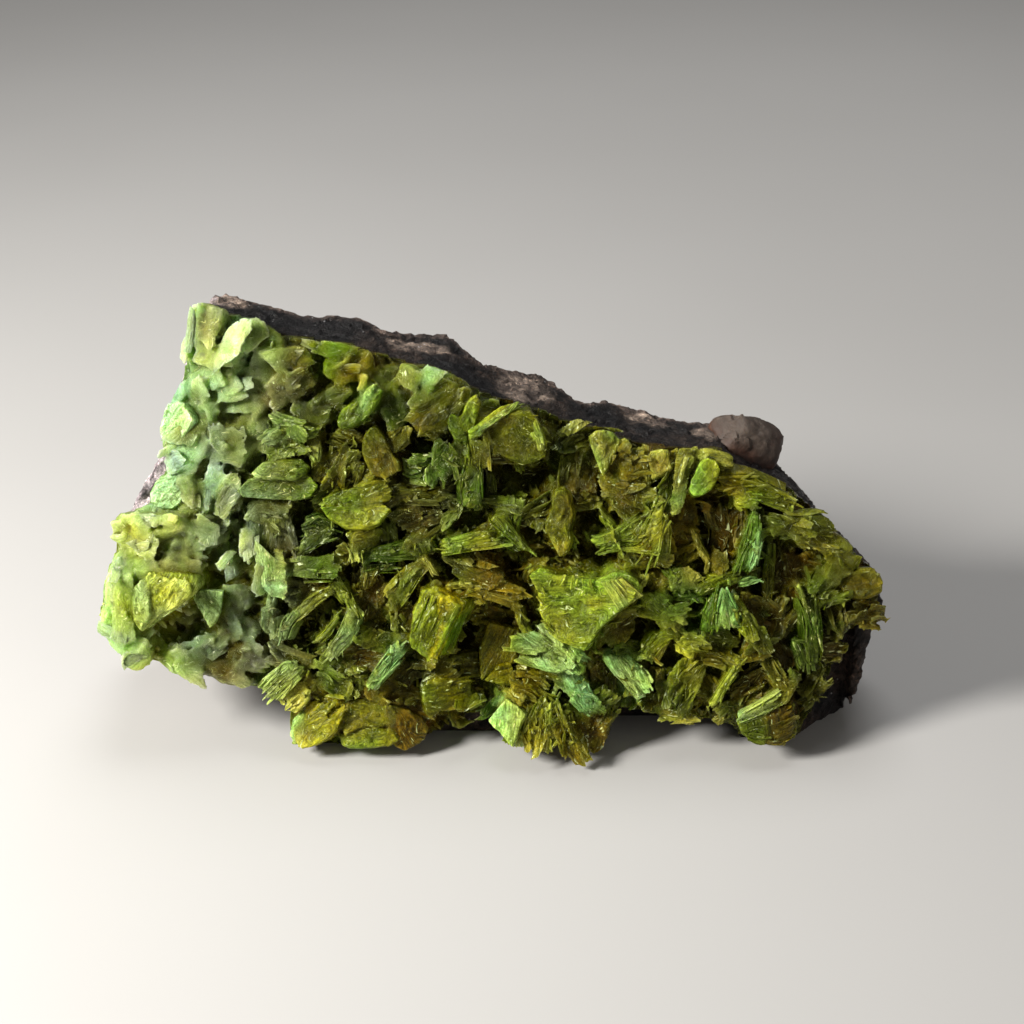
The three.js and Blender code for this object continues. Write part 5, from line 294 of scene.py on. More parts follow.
# Bundles of thin sheets: node, class, levels wa and wb, count, depth, brightness, guide curves a and b.
RIBBONS = [
 ('','pale',1.2,1.3,6,0.6,0.95,[(-9.39,16.08),(-9.43,16.83),(-9.25,17.57)],[(-9.01,16.2),(-8.89,16.95),(-8.98,17.53)]),
 ('','olive',1,1.2,7,0.6,1.1,[(-6.46,16.26),(-5.77,16.47),(-5.04,16.42)],[(-6.19,15.54),(-5.45,15.6),(-4.77,15.86)]),
 ('','olive',0.9,0.9,10,0.6,0.75,[(-12.29,13.92),(-11.91,12.56),(-12.16,11.14)],[(-10.81,13.87),(-10.42,12.29),(-10.3,10.92)]),
 ('','green',0.8,0.8,8,0.6,0.55,[(-13.05,13.9),(-12.77,12.54),(-12.72,10.9)],[(-12.3,13.9),(-12.03,12.54),(-12.18,10.9)]),
 ('','teal',0.9,1.1,10,0.7,0.75,[(-6.92,11.52),(-5.32,11.74),(-3.45,12.34)],[(-7.03,10.86),(-5.21,10.86),(-2.92,11.19)]),
 ('','teal',0.8,0.9,6,0.6,0.6,[(-6.74,10.57),(-5.88,10.68),(-4.81,10.79)],[(-6.85,9.93),(-5.99,10.26),(-4.92,10.26)]),
 ('','green',1.2,1.3,9,0.7,0.85,[(-5.24,8.57),(-4.69,9.79),(-4.04,10.77)],[(-4.7,8.49),(-4.05,9.48),(-3.4,10.58)]),
 ('','pale',1.5,1.5,4,0.4,1,[(-3.64,11.23),(-3.28,10.68),(-2.91,10.08)],[(-3.38,11.28),(-3.07,10.74),(-2.7,10.14)]),
 ('','teal',1.1,1.2,8,0.6,0.7,[(-3.83,10.97),(-3.93,11.41),(-4.03,11.74)],[(-2.75,11.43),(-2.96,11.81),(-3.17,12.19)]),
 ('','lime',1.4,1.5,8,0.8,0.95,[(-2.63,12.02),(-1.31,12.35),(0.39,12.73)],[(-2.64,11.28),(-1.04,11.56),(0.7,11.83)]),
 ('','green',2.35,2.35,12,0.9,1.25,[(-4.18,6.91),(-3.69,8.01),(-3.25,9.21)],[(-2.96,6.36),(-2.42,7.57),(-1.99,8.88)]),
 ('','mint',1.7,1.8,10,0.8,0.85,[(-6.83,4.04),(-5.89,5.49),(-4.91,6.72)],[(-6.34,3.84),(-5.25,5.08),(-4.33,6.19)]),
 ('','mint',1.7,1.6,10,0.8,0.95,[(-9.05,5.72),(-8.11,7.05),(-7.5,8.49)],[(-8.48,5.46),(-7.22,6.69),(-6.77,7.8)]),
 ('','lime',1.5,1.5,6,0.6,0.8,[(-7.36,8.1),(-7.57,8.65),(-7.87,9.31)],[(-6.84,7.77),(-7.14,8.54),(-7.45,9.31)]),
 ('','green',1.4,1.4,3,0.4,1,[(-9.6,6.52),(-8.89,7.07),(-8.12,8.07)],[(-9.39,6.3),(-8.58,6.85),(-8.02,7.85)]),
 ('','lime',1.2,1.2,9,0.7,0.85,[(-10.44,8.13),(-9.73,8.9),(-8.53,9.68)],[(-10.19,7.69),(-9.31,8.46),(-8.55,9.13)]),
 ('','teal',1.2,1.3,7,0.6,1,[(-11.4,6.57),(-11.15,7.57),(-10.38,8.35)],[(-10.96,6.49),(-10.61,7.38),(-9.95,8.16)]),
 ('','green',1.2,1.2,4,0.5,1,[(-11.94,8.18),(-11.87,8.9),(-11.69,9.46)],[(-11.68,8.07),(-11.55,8.79),(-11.43,9.35)]),
 ('','lime',1.1,1.1,7,0.6,0.85,[(-8.65,9.82),(-8.34,9.21),(-7.77,8.43)],[(-8,9.98),(-7.64,9.32),(-7.39,8.66)]),
 ('','olive',0.9,0.9,8,0.6,0.6,[(-6.86,9.27),(-6.74,10.1),(-6.51,10.59)],[(-6.32,9.38),(-5.99,10.26),(-5.77,10.59)]),
 ('','green',0.9,1,10,0.6,0.45,[(-10.34,11.58),(-9.46,12.56),(-8.49,13)],[(-10.13,10.95),(-9.15,11.77),(-7.97,12.15)]),
 ('','teal',0.8,0.9,9,0.6,0.5,[(-9.99,13.09),(-9.13,13.41),(-8.19,12.87)],[(-10.11,12.24),(-9.14,12.56),(-8.08,12.24)]),
 ('','mint',1.1,1.4,13,0.9,0.8,[(-12.68,3.73),(-11.68,4.75),(-10.69,5.53)],[(-11.58,3.15),(-10.69,4.05),(-9.96,5.06)]),
 ('','green',1.3,1.3,8,0.8,0.95,[(-12.34,3.51),(-11.34,4.47),(-10.34,5.26)],[(-11.8,3.23),(-10.92,4.02),(-10.14,4.81)]),
 ('','lime',1.3,1.3,4,0.5,0.85,[(-7.96,3.4),(-7.84,4.02),(-7.67,4.58)],[(-7.58,3.4),(-7.46,4.02),(-7.4,4.47)]),
 ('','green',1.2,1.2,4,0.5,0.8,[(-7.37,3.54),(-7.25,4.1),(-7.24,4.66)],[(-6.99,3.65),(-6.98,4.21),(-7.08,4.61)]),
 ('','green',0.9,1,8,0.5,0.6,[(-9.07,6.26),(-7.98,7.04),(-7.53,7.71)],[(-8.63,6.06),(-7.82,6.4),(-7.43,6.85)]),
 ('','teal',1.4,1.5,10,0.8,1.05,[(-1.46,13.86),(-1.5,15.1),(-1.23,16.33)],[(-0.4,13.88),(-0.45,15.12),(-0.44,16.24)]),
 ('','lime',1.6,1.6,8,0.7,0.95,[(-1.28,16.15),(-1.12,16.9),(-1.11,17.85)],[(-0.44,16.05),(-0.6,16.9),(-0.7,17.74)]),
 ('','green',1.2,1.2,4,0.5,0.9,[(-2.09,15.22),(-1.66,15.86),(-1.24,16.4)],[(-1.77,15.11),(-1.4,15.7),(-1.03,16.24)]),
 ('','olive',0.6,0.6,5,0.5,0.55,[(-0.31,14.24),(-0.2,14.94),(-0.09,15.75)],[(0.38,14.35),(0.33,15),(0.23,15.64)]),
 ('','lime',1.5,1.3,9,0.8,1,[(-0.09,13.29),(0.76,12.48),(2.03,11.39)],[(0.76,13.84),(1.29,12.65),(2.35,11.45)]),
 ('','green',1.2,1.3,6,0.6,0.8,[(-0.2,12.63),(0.44,12.09),(1.39,11.43)],[(0.02,13.09),(0.7,12.38),(1.82,11.45)]),
 ('','lime',1.2,1.3,6,0.6,0.85,[(5.67,14.09),(6.15,13.5),(6.85,12.96)],[(5.88,13.68),(6.05,13.19),(6.58,12.65)]),
 ('','lime',1.6,1.5,10,0.8,0.95,[(5.2,12.12),(6.46,12.61),(7.92,13.69)],[(5.84,11.61),(7.32,11.83),(8.58,12.7)]),
 ('','lime',2.45,2.5,10,0.6,1.15,[(5.81,10),(6.45,9.56),(7.09,9.02)],[(6.54,10.34),(7.18,9.79),(7.71,9.36)]),
 ('','lime',1.8,1.8,9,0.7,0.95,[(1.83,0.9),(2.2,2.15),(2.31,3)],[(3.24,0.9),(3.34,2.15),(3.23,3.11)]),
 ('','mint',1.5,1.5,9,0.7,0.85,[(6.34,5.1),(7.21,4.2),(8.09,2.96)],[(6.76,5.99),(7.74,5.21),(8.51,3.86)]),
 ('','pale',1.3,1.3,3,0.4,0.9,[(-2.45,9.59),(-1.49,9.81),(-0.42,9.65)],[(-2.34,9.43),(-1.49,9.54),(-0.42,9.32)]),
 ('','mint',1.4,1.4,7,0.7,0.75,[(4.09,4.61),(4.63,3.83),(4.86,2.58)],[(5.06,4.39),(5.5,3.6),(5.51,2.58)]),
 ('','olive',1.2,1.3,12,0.9,0.95,[(11.92,15.54),(13.6,15.7),(16.18,14.41)],[(11.93,14.7),(13.73,14.49),(16.3,13.41)]),
 ('','lime',1.4,1.4,7,0.6,1,[(12.88,14.46),(13.61,14.72),(14.35,14.62)],[(12.99,13.97),(13.73,13.92),(14.26,13.86)]),
 ('','olive',1.1,1.2,8,0.9,0.9,[(16.43,13.58),(17.62,12.93),(18.95,11.52)],[(15.9,13.17),(17.1,12.3),(18.53,10.99)]),
 ('curved_book','lime',1.7,1.9,12,0.9,1.15,[(6.04,11.82),(7.94,11.93),(8.8,14.36)],[(6.98,11.6),(9.1,11.38),(9.15,14.4)]),
 ('','lime',1.5,1.7,8,0.8,1,[(5.52,12.15),(7.42,12.48),(8.55,14.31)],[(6.04,11.88),(7.94,11.98),(8.85,14.14)]),
 ('','pale',1.6,1.6,5,0.6,0.95,[(9.13,11.09),(9.26,12.18),(8.97,13.69)],[(9.49,11.31),(9.57,12.72),(9.29,13.58)]),
 ('','green',1.5,1.6,6,0.7,0.8,[(7.96,11.72),(8.47,12.97),(8.55,14.42)],[(8.48,11.91),(8.77,13.26),(8.86,14.44)]),
 ('','teal',1.2,1.3,9,0.6,0.8,[(9.07,10.45),(9.72,9.9),(10.37,9.24)],[(9.9,10.69),(10.34,10.14),(10.78,9.37)]),
 ('','pale',1,1,4,0.4,0.7,[(10.64,12.53),(11.09,11.49),(11.64,10.51)],[(10.85,12.58),(11.35,11.6),(11.91,10.62)]),
 ('','teal',1.5,1.6,11,0.8,0.95,[(12.76,10.25),(13.47,11.72),(13.83,13.88)],[(13.92,10.27),(14.29,11.91),(14.24,13.69)]),
 ('','mint',1.75,1.75,5,0.6,1,[(13.68,10.58),(13.96,11.67),(14.04,12.75)],[(14.15,10.69),(14.33,11.78),(14.35,12.75)]),
 ('','green',1.4,1.4,9,0.7,0.95,[(10.67,9.4),(11.82,10.06),(13.3,10.39)],[(11.21,8.96),(12.37,9.45),(13.64,9.95)]),
 ('','teal',1.1,1.1,8,0.6,0.75,[(9.74,9.21),(10.7,9.32),(11.67,8.88)],[(9.96,8.77),(10.92,8.77),(11.68,8.43)]),
 ('','mint',1.3,1.3,4,0.4,0.9,[(13.12,9.81),(13.75,10.03),(14.28,10.14)],[(13.23,9.54),(13.87,9.7),(14.4,9.87)]),
 ('','pale',0.9,0.9,4,0.4,0.7,[(15.34,12.13),(15.87,12.45),(16.72,12.24)],[(15.46,11.96),(15.98,12.18),(16.84,12.02)]),
 ('teal_fan','teal',1.4,1.7,11,0.8,0.95,[(11.25,6.96),(11.44,8.18),(11.84,9.4)],[(12.18,7.16),(12.15,8.38),(12.33,9.59)]),
 ('teal_fan','mint',1.8,1.8,11,0.8,0.95,[(12.06,7.19),(12.14,8.4),(12.32,9.56)],[(13.55,7.3),(13.09,8.51),(12.59,9.5)]),
 ('','olive',1.6,1.6,7,0.7,0.85,[(13.49,6.69),(13.23,8.07),(12.78,9.23)],[(14.88,6.47),(13.99,7.91),(13.1,9.01)]),
 ('','lime',1.7,1.6,8,0.7,1,[(11.69,2.91),(12.36,4.15),(13.34,5.72)],[(12.19,2.88),(12.91,4.23),(13.68,5.46)]),
 ('lower_right_bulb','mint',2.1,2,8,0.7,1.05,[(13.27,2.59),(14.48,3.27),(15.69,4.05)],[(13.45,2.11),(14.73,2.67),(15.83,3.46)]),
 ('','green',1.9,1.9,9,0.7,0.7,[(13.47,2.07),(14.34,1.85),(14.97,2.19)],[(13.81,1.28),(14.47,1.05),(15.12,1.05)]),
 ('','ochre',1.9,1.8,9,0.7,0.65,[(14.96,2.52),(15.71,2.64),(16.35,2.98)],[(15.02,1.02),(15.89,1.02),(16.58,1.36)]),
 ('','teal',1.1,1.2,10,0.7,0.75,[(16.47,9.32),(16.98,7.1),(17.17,4.75)],[(17.18,9.9),(17.81,7.41),(17.9,5)]),
 ('','pale',1.5,1.5,3,0.4,0.9,[(16.29,9.7),(16.58,9.04),(16.87,8.32)],[(16.44,9.81),(16.73,9.15),(17.03,8.43)]),
 ('','green',1.2,1.2,6,0.6,0.8,[(17.24,8.46),(17.52,9.35),(18.03,10.01)],[(17.89,8.13),(18.07,9.01),(18.58,9.68)]),
 ('','teal',1,1,6,0.6,0.8,[(16.16,6.51),(16.51,5.67),(16.76,4.71)],[(16.68,6.85),(17.04,5.95),(17.19,4.83)]),
 ('','lime',1.6,1.6,9,0.7,0.9,[(8,8.79),(8.81,8.13),(9.52,7.13)],[(8.84,9.45),(9.7,8.57),(10.36,7.8)]),
 ('','green',1.3,1.4,8,0.7,0.85,[(8.06,5.93),(8.69,6.93),(9.54,7.27)],[(8.6,5.51),(9.23,6.35),(9.87,6.74)]),
 ('','pale',1.3,1.3,3,0.4,0.8,[(8.83,5.37),(9.13,6.15),(9.55,6.82)],[(9.04,5.26),(9.35,5.93),(9.77,6.6)]),
 ('','green',1.4,1.4,9,0.7,0.8,[(9.6,3.83),(10.34,4.73),(11.18,5.51)],[(10.38,2.81),(11,3.83),(11.41,4.84)]),
 ('','ochre',0.2,0.3,9,0.6,0.4,[(11.33,14.05),(11.9,12.41),(11.73,10.75)],[(13.62,13.8),(13.5,12.43),(13.17,10.78)]),
 ('','olive',0.3,0.4,7,0.6,0.55,[(13.68,13.63),(13.67,12.15),(13.18,10.44)],[(13.99,13.44),(13.97,12.18),(13.53,10.69)]),
 ('','ochre',0.1,0.2,8,0.6,0.42,[(15.26,8.5),(15.31,10.17),(15.48,11.56)],[(16.54,8.53),(16.6,9.92),(16.66,11.3)]),
 ('','olive',0.6,0.6,8,0.6,0.6,[(14.64,8.63),(14.7,10.3),(14.85,12.22)],[(15.18,8.63),(15.24,10.02),(15.19,11.67)]),
]
# Edge of the crust on the face, and its hollows: u, v, radii, depth.
OUTLINE = [(-15.25,24.38),(-14.32,24.07),(-13.55,23.86),(-12.51,23.75),(-11.79,23.34),(-11.07,22.81),(-9.92,22.71),(-8.36,22.5),(-7.31,22.34),(-6.27,21.97),(-5.22,21.66),(-4.18,21.34),(-3.13,21.18),(-2.08,20.81),(-1.29,20.28),(-0.51,19.86),(0.55,19.43),(1.6,19.22),(2.92,18.79),(3.72,18.37),(5.31,17.94),(6.37,17.72),(7.97,17.03),(9.57,16.87),(11.16,16.76),(12.33,16.87),(12.77,16.11),(13.85,15.62),(14.92,15.24),(16.01,14.7),(16.83,13.94),(17.66,13.28),(18.79,11.86),(19.46,11.19),(20.57,10.36),(21.14,9.75),(21.22,9.09),(21.09,8.36),(21.13,7.52),(20.83,6.96),(20.07,6.96),(19.43,6.62),(18.92,5.71),(18.65,4.29),(18.16,2.87),(17.44,1.6),(17.03,0.68),(16.49,0.39),(15.39,0.21),(14.56,0.33),(13.73,0.68),(13.16,1.25),(12.33,1.6),(10.95,1.77),(9.3,1.83),(8.48,1.95),(7.93,2.18),(7.1,2.23),(6.67,1.95),(6.46,0.85),(5.92,0.33),(5.15,0.27),(5.04,-0.37),(4.66,-0.43),(4.16,-0.13),(3.6,0.39),(2.72,0.39),(1.35,0.16),(0.79,0.56),(0.08,1.37),(-0.36,1.95),(-1.12,1.95),(-1.95,1.6),(-2.78,0.97),(-3.61,0.56),(-4.17,0.1),(-4.99,-0.08),(-5.82,0.21),(-6.65,0.04),(-8.3,-0.08),(-9.95,0.1),(-10.5,0.27),(-11.04,0.5),(-11.13,1.25),(-10.99,2.52),(-11.8,2.87),(-12.88,3.44),(-13.69,3.55),(-15.05,3.78),(-15.86,4.18),(-16.94,4.35),(-18.02,4.69),(-18.55,4.98),(-19.1,4.92),(-19.73,5.43),(-20.27,5.6),(-20.79,6),(-21.15,6.51),(-21.28,7.18),(-21.24,7.97),(-21.02,9.09),(-20.76,10.09),(-20.33,10.97),(-20.24,11.86),(-20.02,12.95),(-19.74,13.28),(-18.72,13.28),(-18.16,14.05),(-18.07,14.81),(-17.68,15.24),(-17.23,15.68),(-17.37,16.33),(-17.49,17.03),(-17.57,17.83),(-17.26,18.9),(-16.92,19.38),(-16.42,20.07),(-16.12,20.92),(-16.06,22.34),(-15.72,23.13),(-15.59,23.75)]
HOLLOWS = [(1.61,15.33,1.82,0.8,2.2),(5.02,11.25,0.8,1.93,2.3),(2.38,7.44,0.75,1.02,2.3),(-1.66,6.76,0.91,1.61,2.5),(2.26,11.92,0.64,0.75,2),(0.96,10.47,0.64,0.64,1.8),(3.83,3.1,0.54,0.64,1.9),(-0.09,2.75,0.54,0.86,1.9),(-1.98,0.43,1.82,0.64,2.4),(-0.7,1.94,0.54,0.86,2),(-17.65,6.3,1.18,0.75,1.7),(11.75,12.91,1.07,0.75,1.9),(12.55,11.36,1.07,0.75,1.9),(8.86,14.67,0.38,0.38,1.3),(7.22,13.35,0.7,0.43,1.6),(7.25,10.69,0.75,0.38,1.5),(16.14,10.81,1.07,1.61,1.7),(15.94,7.1,0.7,1.61,1.6),(9.91,8,0.54,0.54,1.6),(-3.24,13.46,1.61,0.64,1.4),(-4.71,16.31,0.64,0.64,1.5),(-7.17,16.31,0.43,0.64,1.2),(-10.1,16.85,0.32,0.43,1.3),(-6.77,9.02,0.75,1.5,1.5),(-10.15,6.53,0.96,0.64,1.5),(-13.66,8,0.75,0.75,1.4),(-15.54,10.14,0.64,0.86,1.4),(-12.74,16.31,0.75,0.38,1.4),(-6.15,6.98,1.07,0.38,1.6),(11.11,7.66,0.43,0.64,1.2),(12.79,6.08,0.86,0.38,1.3),(14.4,3.67,0.86,0.75,1.4),(6.01,5.39,0.75,0.75,1.4),(18.84,5.51,0.75,1.39,1.2),(17.94,1.77,0.43,0.86,1.2),(-8.5,19.06,0.64,0.86,1),(-3.74,17.18,1.07,0.54,1.2),(-10.1,19.12,0.86,0.43,1.2),(8.18,6.76,0.64,0.43,1.2),(0.52,6.08,0.43,0.54,0.8),(-5.35,8.79,0.43,0.86,1.1),(-8.87,12.36,1.07,0.54,1.1),(-13.66,11.25,0.43,0.75,1),(11.38,10.58,0.54,0.54,1.2),(10.74,4.93,0.43,0.75,1.1),(9.56,6.08,0.32,0.54,1),(-9.96,3.21,0.54,0.43,1),(-12.62,6.08,0.75,0.54,1)]
LARGE = [('crown_book','olive'), ('crown_spike','lime'), ('triangular_book','lime'), ('striped_book','green'), ('square_plate','grey'), ('small_square_plate','olive'), ('corner_block','mint'), ('left_white_plate','mint'), ('green_triangle_plate','green'), ('left_yellow_book','yellow'), ('tall_centre_plate','olive'), ('tall_olive_plate','olive'), ('pale_edged_plate','green'), ('crescent_plate','lime'), ('lower_olive_plate','olive'), ('back_olive_plate','grey'), ('upper_right_flake','pale'), ('hooked_flake','pale'), ('lime_fan','lime'), ('lower_right_bulb','green'), ('yellow_tuft','yellow'), ('right_end_plate','olive'), ('long_green_book','green'), ('teal_fan','teal'), ('left_mint_plate','mint'), ('curved_book','lime')]
# Cross-sections of the matrix along x: x, front top edge (y, z), rear top edge (y, z), front foot (y, z).
SECTIONS = [
 (-21.01,-2.96,7.67,-1.82,7.37,-3.51,5.97),
 (-20.87,-2.78,8.21,-1.28,7.91,-3.55,5.85),
 (-20.66,-2.51,9.03,-0.4,8.74,-3.6,5.68),
 (-20.46,-2.25,9.84,-0.39,9.57,-3.66,5.51),
 (-20.26,-1.99,10.65,-0.38,10.39,-3.72,5.33),
 (-20.07,-1.87,11.02,-0.04,10.77,-3.74,5.27),
 (-19.83,-1.71,11.51,0.31,11.27,-3.76,5.19),
 (-19.53,-1.51,12.12,0.34,11.89,-3.8,5.09),
 (-19.23,-1.31,12.73,0.29,12.51,-3.83,4.98),
 (-18.94,-1.14,13.25,0.39,13.04,-3.86,4.88),
 (-18.64,-0.99,13.71,0.54,13.51,-3.9,4.78),
 (-18.35,-0.84,14.17,0.46,13.97,-3.93,4.68),
 (-18.06,-0.69,14.63,0.65,14.43,-3.96,4.59),
 (-17.76,-0.5,15.24,1.4,15.08,-3.98,4.51),
 (-17.52,-0.28,15.9,1.44,15.73,-4,4.45),
 (-17.28,-0.07,16.55,1.47,16.39,-4.02,4.38),
 (-17.03,0.14,17.2,1.66,17.05,-4.05,4.32),
 (-16.79,0.35,17.85,1.86,17.71,-4.07,4.25),
 (-16.55,0.59,18.6,2.05,18.46,-4.09,4.18),
 (-16.3,0.83,19.34,2.23,19.21,-4.11,4.12),
 (-16.06,1.07,20.07,2.56,19.97,-4.13,4.06),
 (-15.82,1.31,20.81,3.03,20.74,-4.15,4),
 (-15.57,1.54,21.52,3.26,21.46,-4.17,3.93),
 (-15.33,1.77,22.22,3.22,22.14,-4.19,3.87),
 (-15.16,1.86,22.49,3.84,22.24,-4.21,3.82),
 (-15,1.91,22.65,4.11,22.43,-4.22,3.78),
 (-14.84,1.89,22.59,4.5,22.42,-4.24,3.73),
 (-14.69,1.87,22.53,4.72,22.39,-4.25,3.68),
 (-14.48,1.85,22.46,4.89,22.34,-4.27,3.62),
 (-14.22,1.83,22.39,4.85,22.27,-4.29,3.56),
 (-13.85,1.8,22.3,4.81,22.17,-4.32,3.47),
 (-13.43,1.76,22.17,4.85,22.05,-4.36,3.36),
 (-13.01,1.71,22.04,4.89,21.93,-4.4,3.21),
 (-12.59,1.67,21.91,4.91,21.8,-4.47,3.02),
 (-12.17,1.63,21.78,4.89,21.67,-4.53,2.84),
 (-11.75,1.59,21.66,4.87,21.54,-4.59,2.65),
 (-11.33,1.55,21.53,4.86,21.42,-4.66,2.44),
 (-10.91,1.51,21.41,4.85,21.3,-4.76,2.12),
 (-10.49,1.47,21.29,4.86,21.17,-4.86,1.81),
 (-10.07,1.43,21.16,4.87,21.05,-4.97,1.49),
 (-9.65,1.41,21.11,4.9,21,-5.12,1.01),
 (-9.22,1.39,21.05,5.01,20.96,-5.27,0.54),
 (-8.8,1.37,20.99,5.15,20.92,-5.43,0.06),
 (-8.38,1.35,20.94,5.17,20.86,-5.55,0),
 (-7.95,1.34,20.88,5.27,20.82,-5.55,0),
 (-7.53,1.32,20.82,5.33,20.77,-5.55,0),
 (-7.11,1.28,20.71,5.41,20.67,-5.55,0),
 (-6.68,1.24,20.58,5.3,20.53,-5.55,0),
 (-6.26,1.2,20.45,4.89,20.35,-5.55,0),
 (-5.84,1.15,20.32,4.86,20.21,-5.55,0),
 (-5.42,1.11,20.19,4.98,20.1,-5.55,0),
 (-4.99,1.07,20.06,5.15,19.99,-5.55,0),
 (-4.57,1.03,19.95,5.25,19.88,-5.55,0),
 (-4.14,1,19.84,5.31,19.78,-5.55,0),
 (-3.72,0.96,19.73,5.5,19.7,-5.55,0),
 (-3.29,0.93,19.63,5.61,19.6,-4.95,0),
 (-2.87,0.89,19.52,5.71,19.51,-4.95,0),
 (-2.44,0.86,19.42,5.74,19.41,-4.95,0),
 (-2.02,0.82,19.28,5.61,19.26,-4.95,0),
 (-1.59,0.75,19.07,5.17,18.99,-4.95,0),
 (-1.17,0.68,18.86,4.69,18.73,-4.95,0),
 (-0.74,0.61,18.65,4.55,18.5,-4.95,0),
 (-0.32,0.54,18.43,4.48,18.28,-4.95,0),
 (0.11,0.47,18.22,4.75,18.09,-4.95,0),
 (0.54,0.4,18.01,4.86,17.89,-4.95,0),
 (0.97,0.37,17.9,4.83,17.77,-4.95,0),
 (1.39,0.33,17.79,4.85,17.66,-4.95,0),
 (1.82,0.3,17.68,4.92,17.56,-4.95,0),
 (2.25,0.26,17.57,5.04,17.46,-4.95,0),
 (2.68,0.22,17.46,5.07,17.35,-4.95,0),
 (3.11,0.18,17.34,4.79,17.2,-4.95,0),
 (3.54,0.14,17.19,4.56,17.03,-4.95,0),
 (3.97,0.09,17.04,4.25,16.85,-4.95,0),
 (4.4,0.04,16.9,3.89,16.67,-4.95,0),
 (4.83,-0.01,16.75,3.59,16.5,-4.95,0),
 (5.26,-0.05,16.6,3.52,16.34,-4.95,0),
 (5.69,-0.1,16.46,3.92,16.23,-4.95,0),
 (6.12,-0.15,16.32,4.34,16.13,-3.55,0),
 (6.55,-0.19,16.18,4.48,16,-3.55,0),
 (6.98,-0.24,16.04,4.62,15.87,-3.55,0),
 (7.41,-0.28,15.9,4.43,15.71,-3.55,0),
 (7.85,-0.33,15.76,4.25,15.55,-3.55,0),
 (8.28,-0.35,15.68,4.49,15.48,-3.55,0),
 (8.71,-0.36,15.66,4.47,15.46,-3.55,0),
 (9.14,-0.37,15.64,4,15.4,-3.55,0),
 (9.57,-0.37,15.62,3.75,15.36,-3.55,0),
 (10,-0.38,15.6,3.74,15.34,-3.55,0),
 (10.43,-0.39,15.58,3.6,15.31,-3.55,0),
 (10.86,-0.39,15.56,3.47,15.28,-3.55,0),
 (11.29,-0.4,15.54,3.39,15.25,-3.55,0),
 (11.72,-0.41,15.52,3.39,15.23,-3.55,0),
 (12.15,-0.41,15.5,3.42,15.21,-3.55,0),
 (12.59,-0.45,15.4,3.59,15.13,-3.55,0),
 (13.03,-0.55,15.07,4.08,14.83,-3.55,0),
 (13.47,-0.66,14.75,4.5,14.53,-3.55,0),
 (13.91,-0.76,14.42,4.86,14.23,-5.55,0),
 (14.34,-0.83,14.2,4.95,14.01,-5.55,0),
 (14.78,-0.89,14.02,4.86,13.82,-5.55,0),
 (15.22,-0.95,13.85,4.67,13.62,-5.55,0),
 (15.44,-0.98,13.76,4.27,13.5,-5.55,0),
 (15.77,-1.02,13.62,3.12,13.29,-5.55,0),
 (16.1,-1.06,13.49,2.27,13.1,-5.55,0),
 (16.43,-1.14,13.26,1.81,12.85,-5.55,0),
 (16.76,-1.23,12.99,1.53,12.56,-5.55,0),
 (17.1,-1.32,12.72,1.36,12.28,-5.33,0),
 (17.43,-1.4,12.45,1.14,11.99,-5,0),
 (17.77,-1.49,12.17,0.9,11.7,-4.68,0),
 (18.11,-1.6,11.83,0.47,11.34,-4.39,0),
 (18.45,-1.73,11.45,0.41,10.96,-4.09,0),
 (18.79,-1.85,11.08,0.43,10.58,-3.81,0),
 (19.13,-1.97,10.7,0.56,10.19,-3.53,0),
 (19.47,-2.1,10.32,0.68,9.81,-3.36,0),
 (19.82,-2.2,9.99,0.54,9.46,-3.11,0),
 (20.15,-2.28,9.75,0.14,9.21,-4.62,1.63),
 (20.49,-2.36,9.51,-0.26,8.96,-4.31,2.59),
 (20.83,-2.44,9.27,-0.66,8.72,-3.61,4.75),
 (21.2,-2.76,8.28,-0.05,7.7,-3.17,6.09),
 (21.39,-2.92,7.78,-0.37,7.19,-3.01,6.58),
 (21.52,-3.03,7.45,-1.31,6.86,-2.91,6.9),
]
REAR_FOOT = [(-22, 0.5), (-20, 3.2), (-18, 5.2), (-14, 7.8), (-8, 9.4), (0, 9.7), (8, 9.0), (13, 8.2), (17, 6.2), (19.5, 3.6), (20.8, 1.2), (22, -0.6)]


def to_world(q):
    q = np.asarray(q, float)
    return SHIFT + FOOT + q[..., 0:1] * EU + q[..., 1:2] * EV + q[..., 2:3] * EW


def to_face(p):
    d = np.asarray(p, float) - SHIFT - FOOT
    return np.stack((d @ EU, d @ EV, d @ EW), -1)


# ------------------------------------------------------------------ noise
def _hash(ix, iy, iz, seed):
    h = (ix * 374761393 + iy * 668265263 + iz * 1442695041 + seed * 974634777) & 0xFFFFFFFF
    h = ((h ^ (h >> 13)) * 1274126177) & 0xFFFFFFFF
    h = ((h ^ (h >> 16)) * 2246822519) & 0xFFFFFFFF
    h = h ^ (h >> 15)
    return (h & 0xFFFFFF) / float(0xFFFFFF)


def noise3(p, freq, seed):
    """Smooth value noise in -1..1 at points p (n, 3)."""
    q = np.asarray(p, float) * freq + 1000.0
    i = np.floor(q).astype(np.int64)
    f = q - i
    f = f * f * (3 - 2 * f)
    out = 0
    for dx in (0, 1):
        for dy in (0, 1):
            for dz in (0, 1):
                wgt = ((f[:, 0] if dx else 1 - f[:, 0]) * (f[:, 1] if dy else 1 - f[:, 1])
                       * (f[:, 2] if dz else 1 - f[:, 2]))
                out = out + wgt * _hash(i[:, 0] + dx, i[:, 1] + dy, i[:, 2] + dz, seed)
    return out * 2 - 1


def fbm(p, freq, octaves, seed, gain=0.5):
    out, amp, tot = 0, 1.0, 0
    for o in range(octaves):
        out = out + amp * noise3(p, freq * 2.03 ** o, seed + 17 * o)
        tot += amp
        amp *= gain
    return out / tot


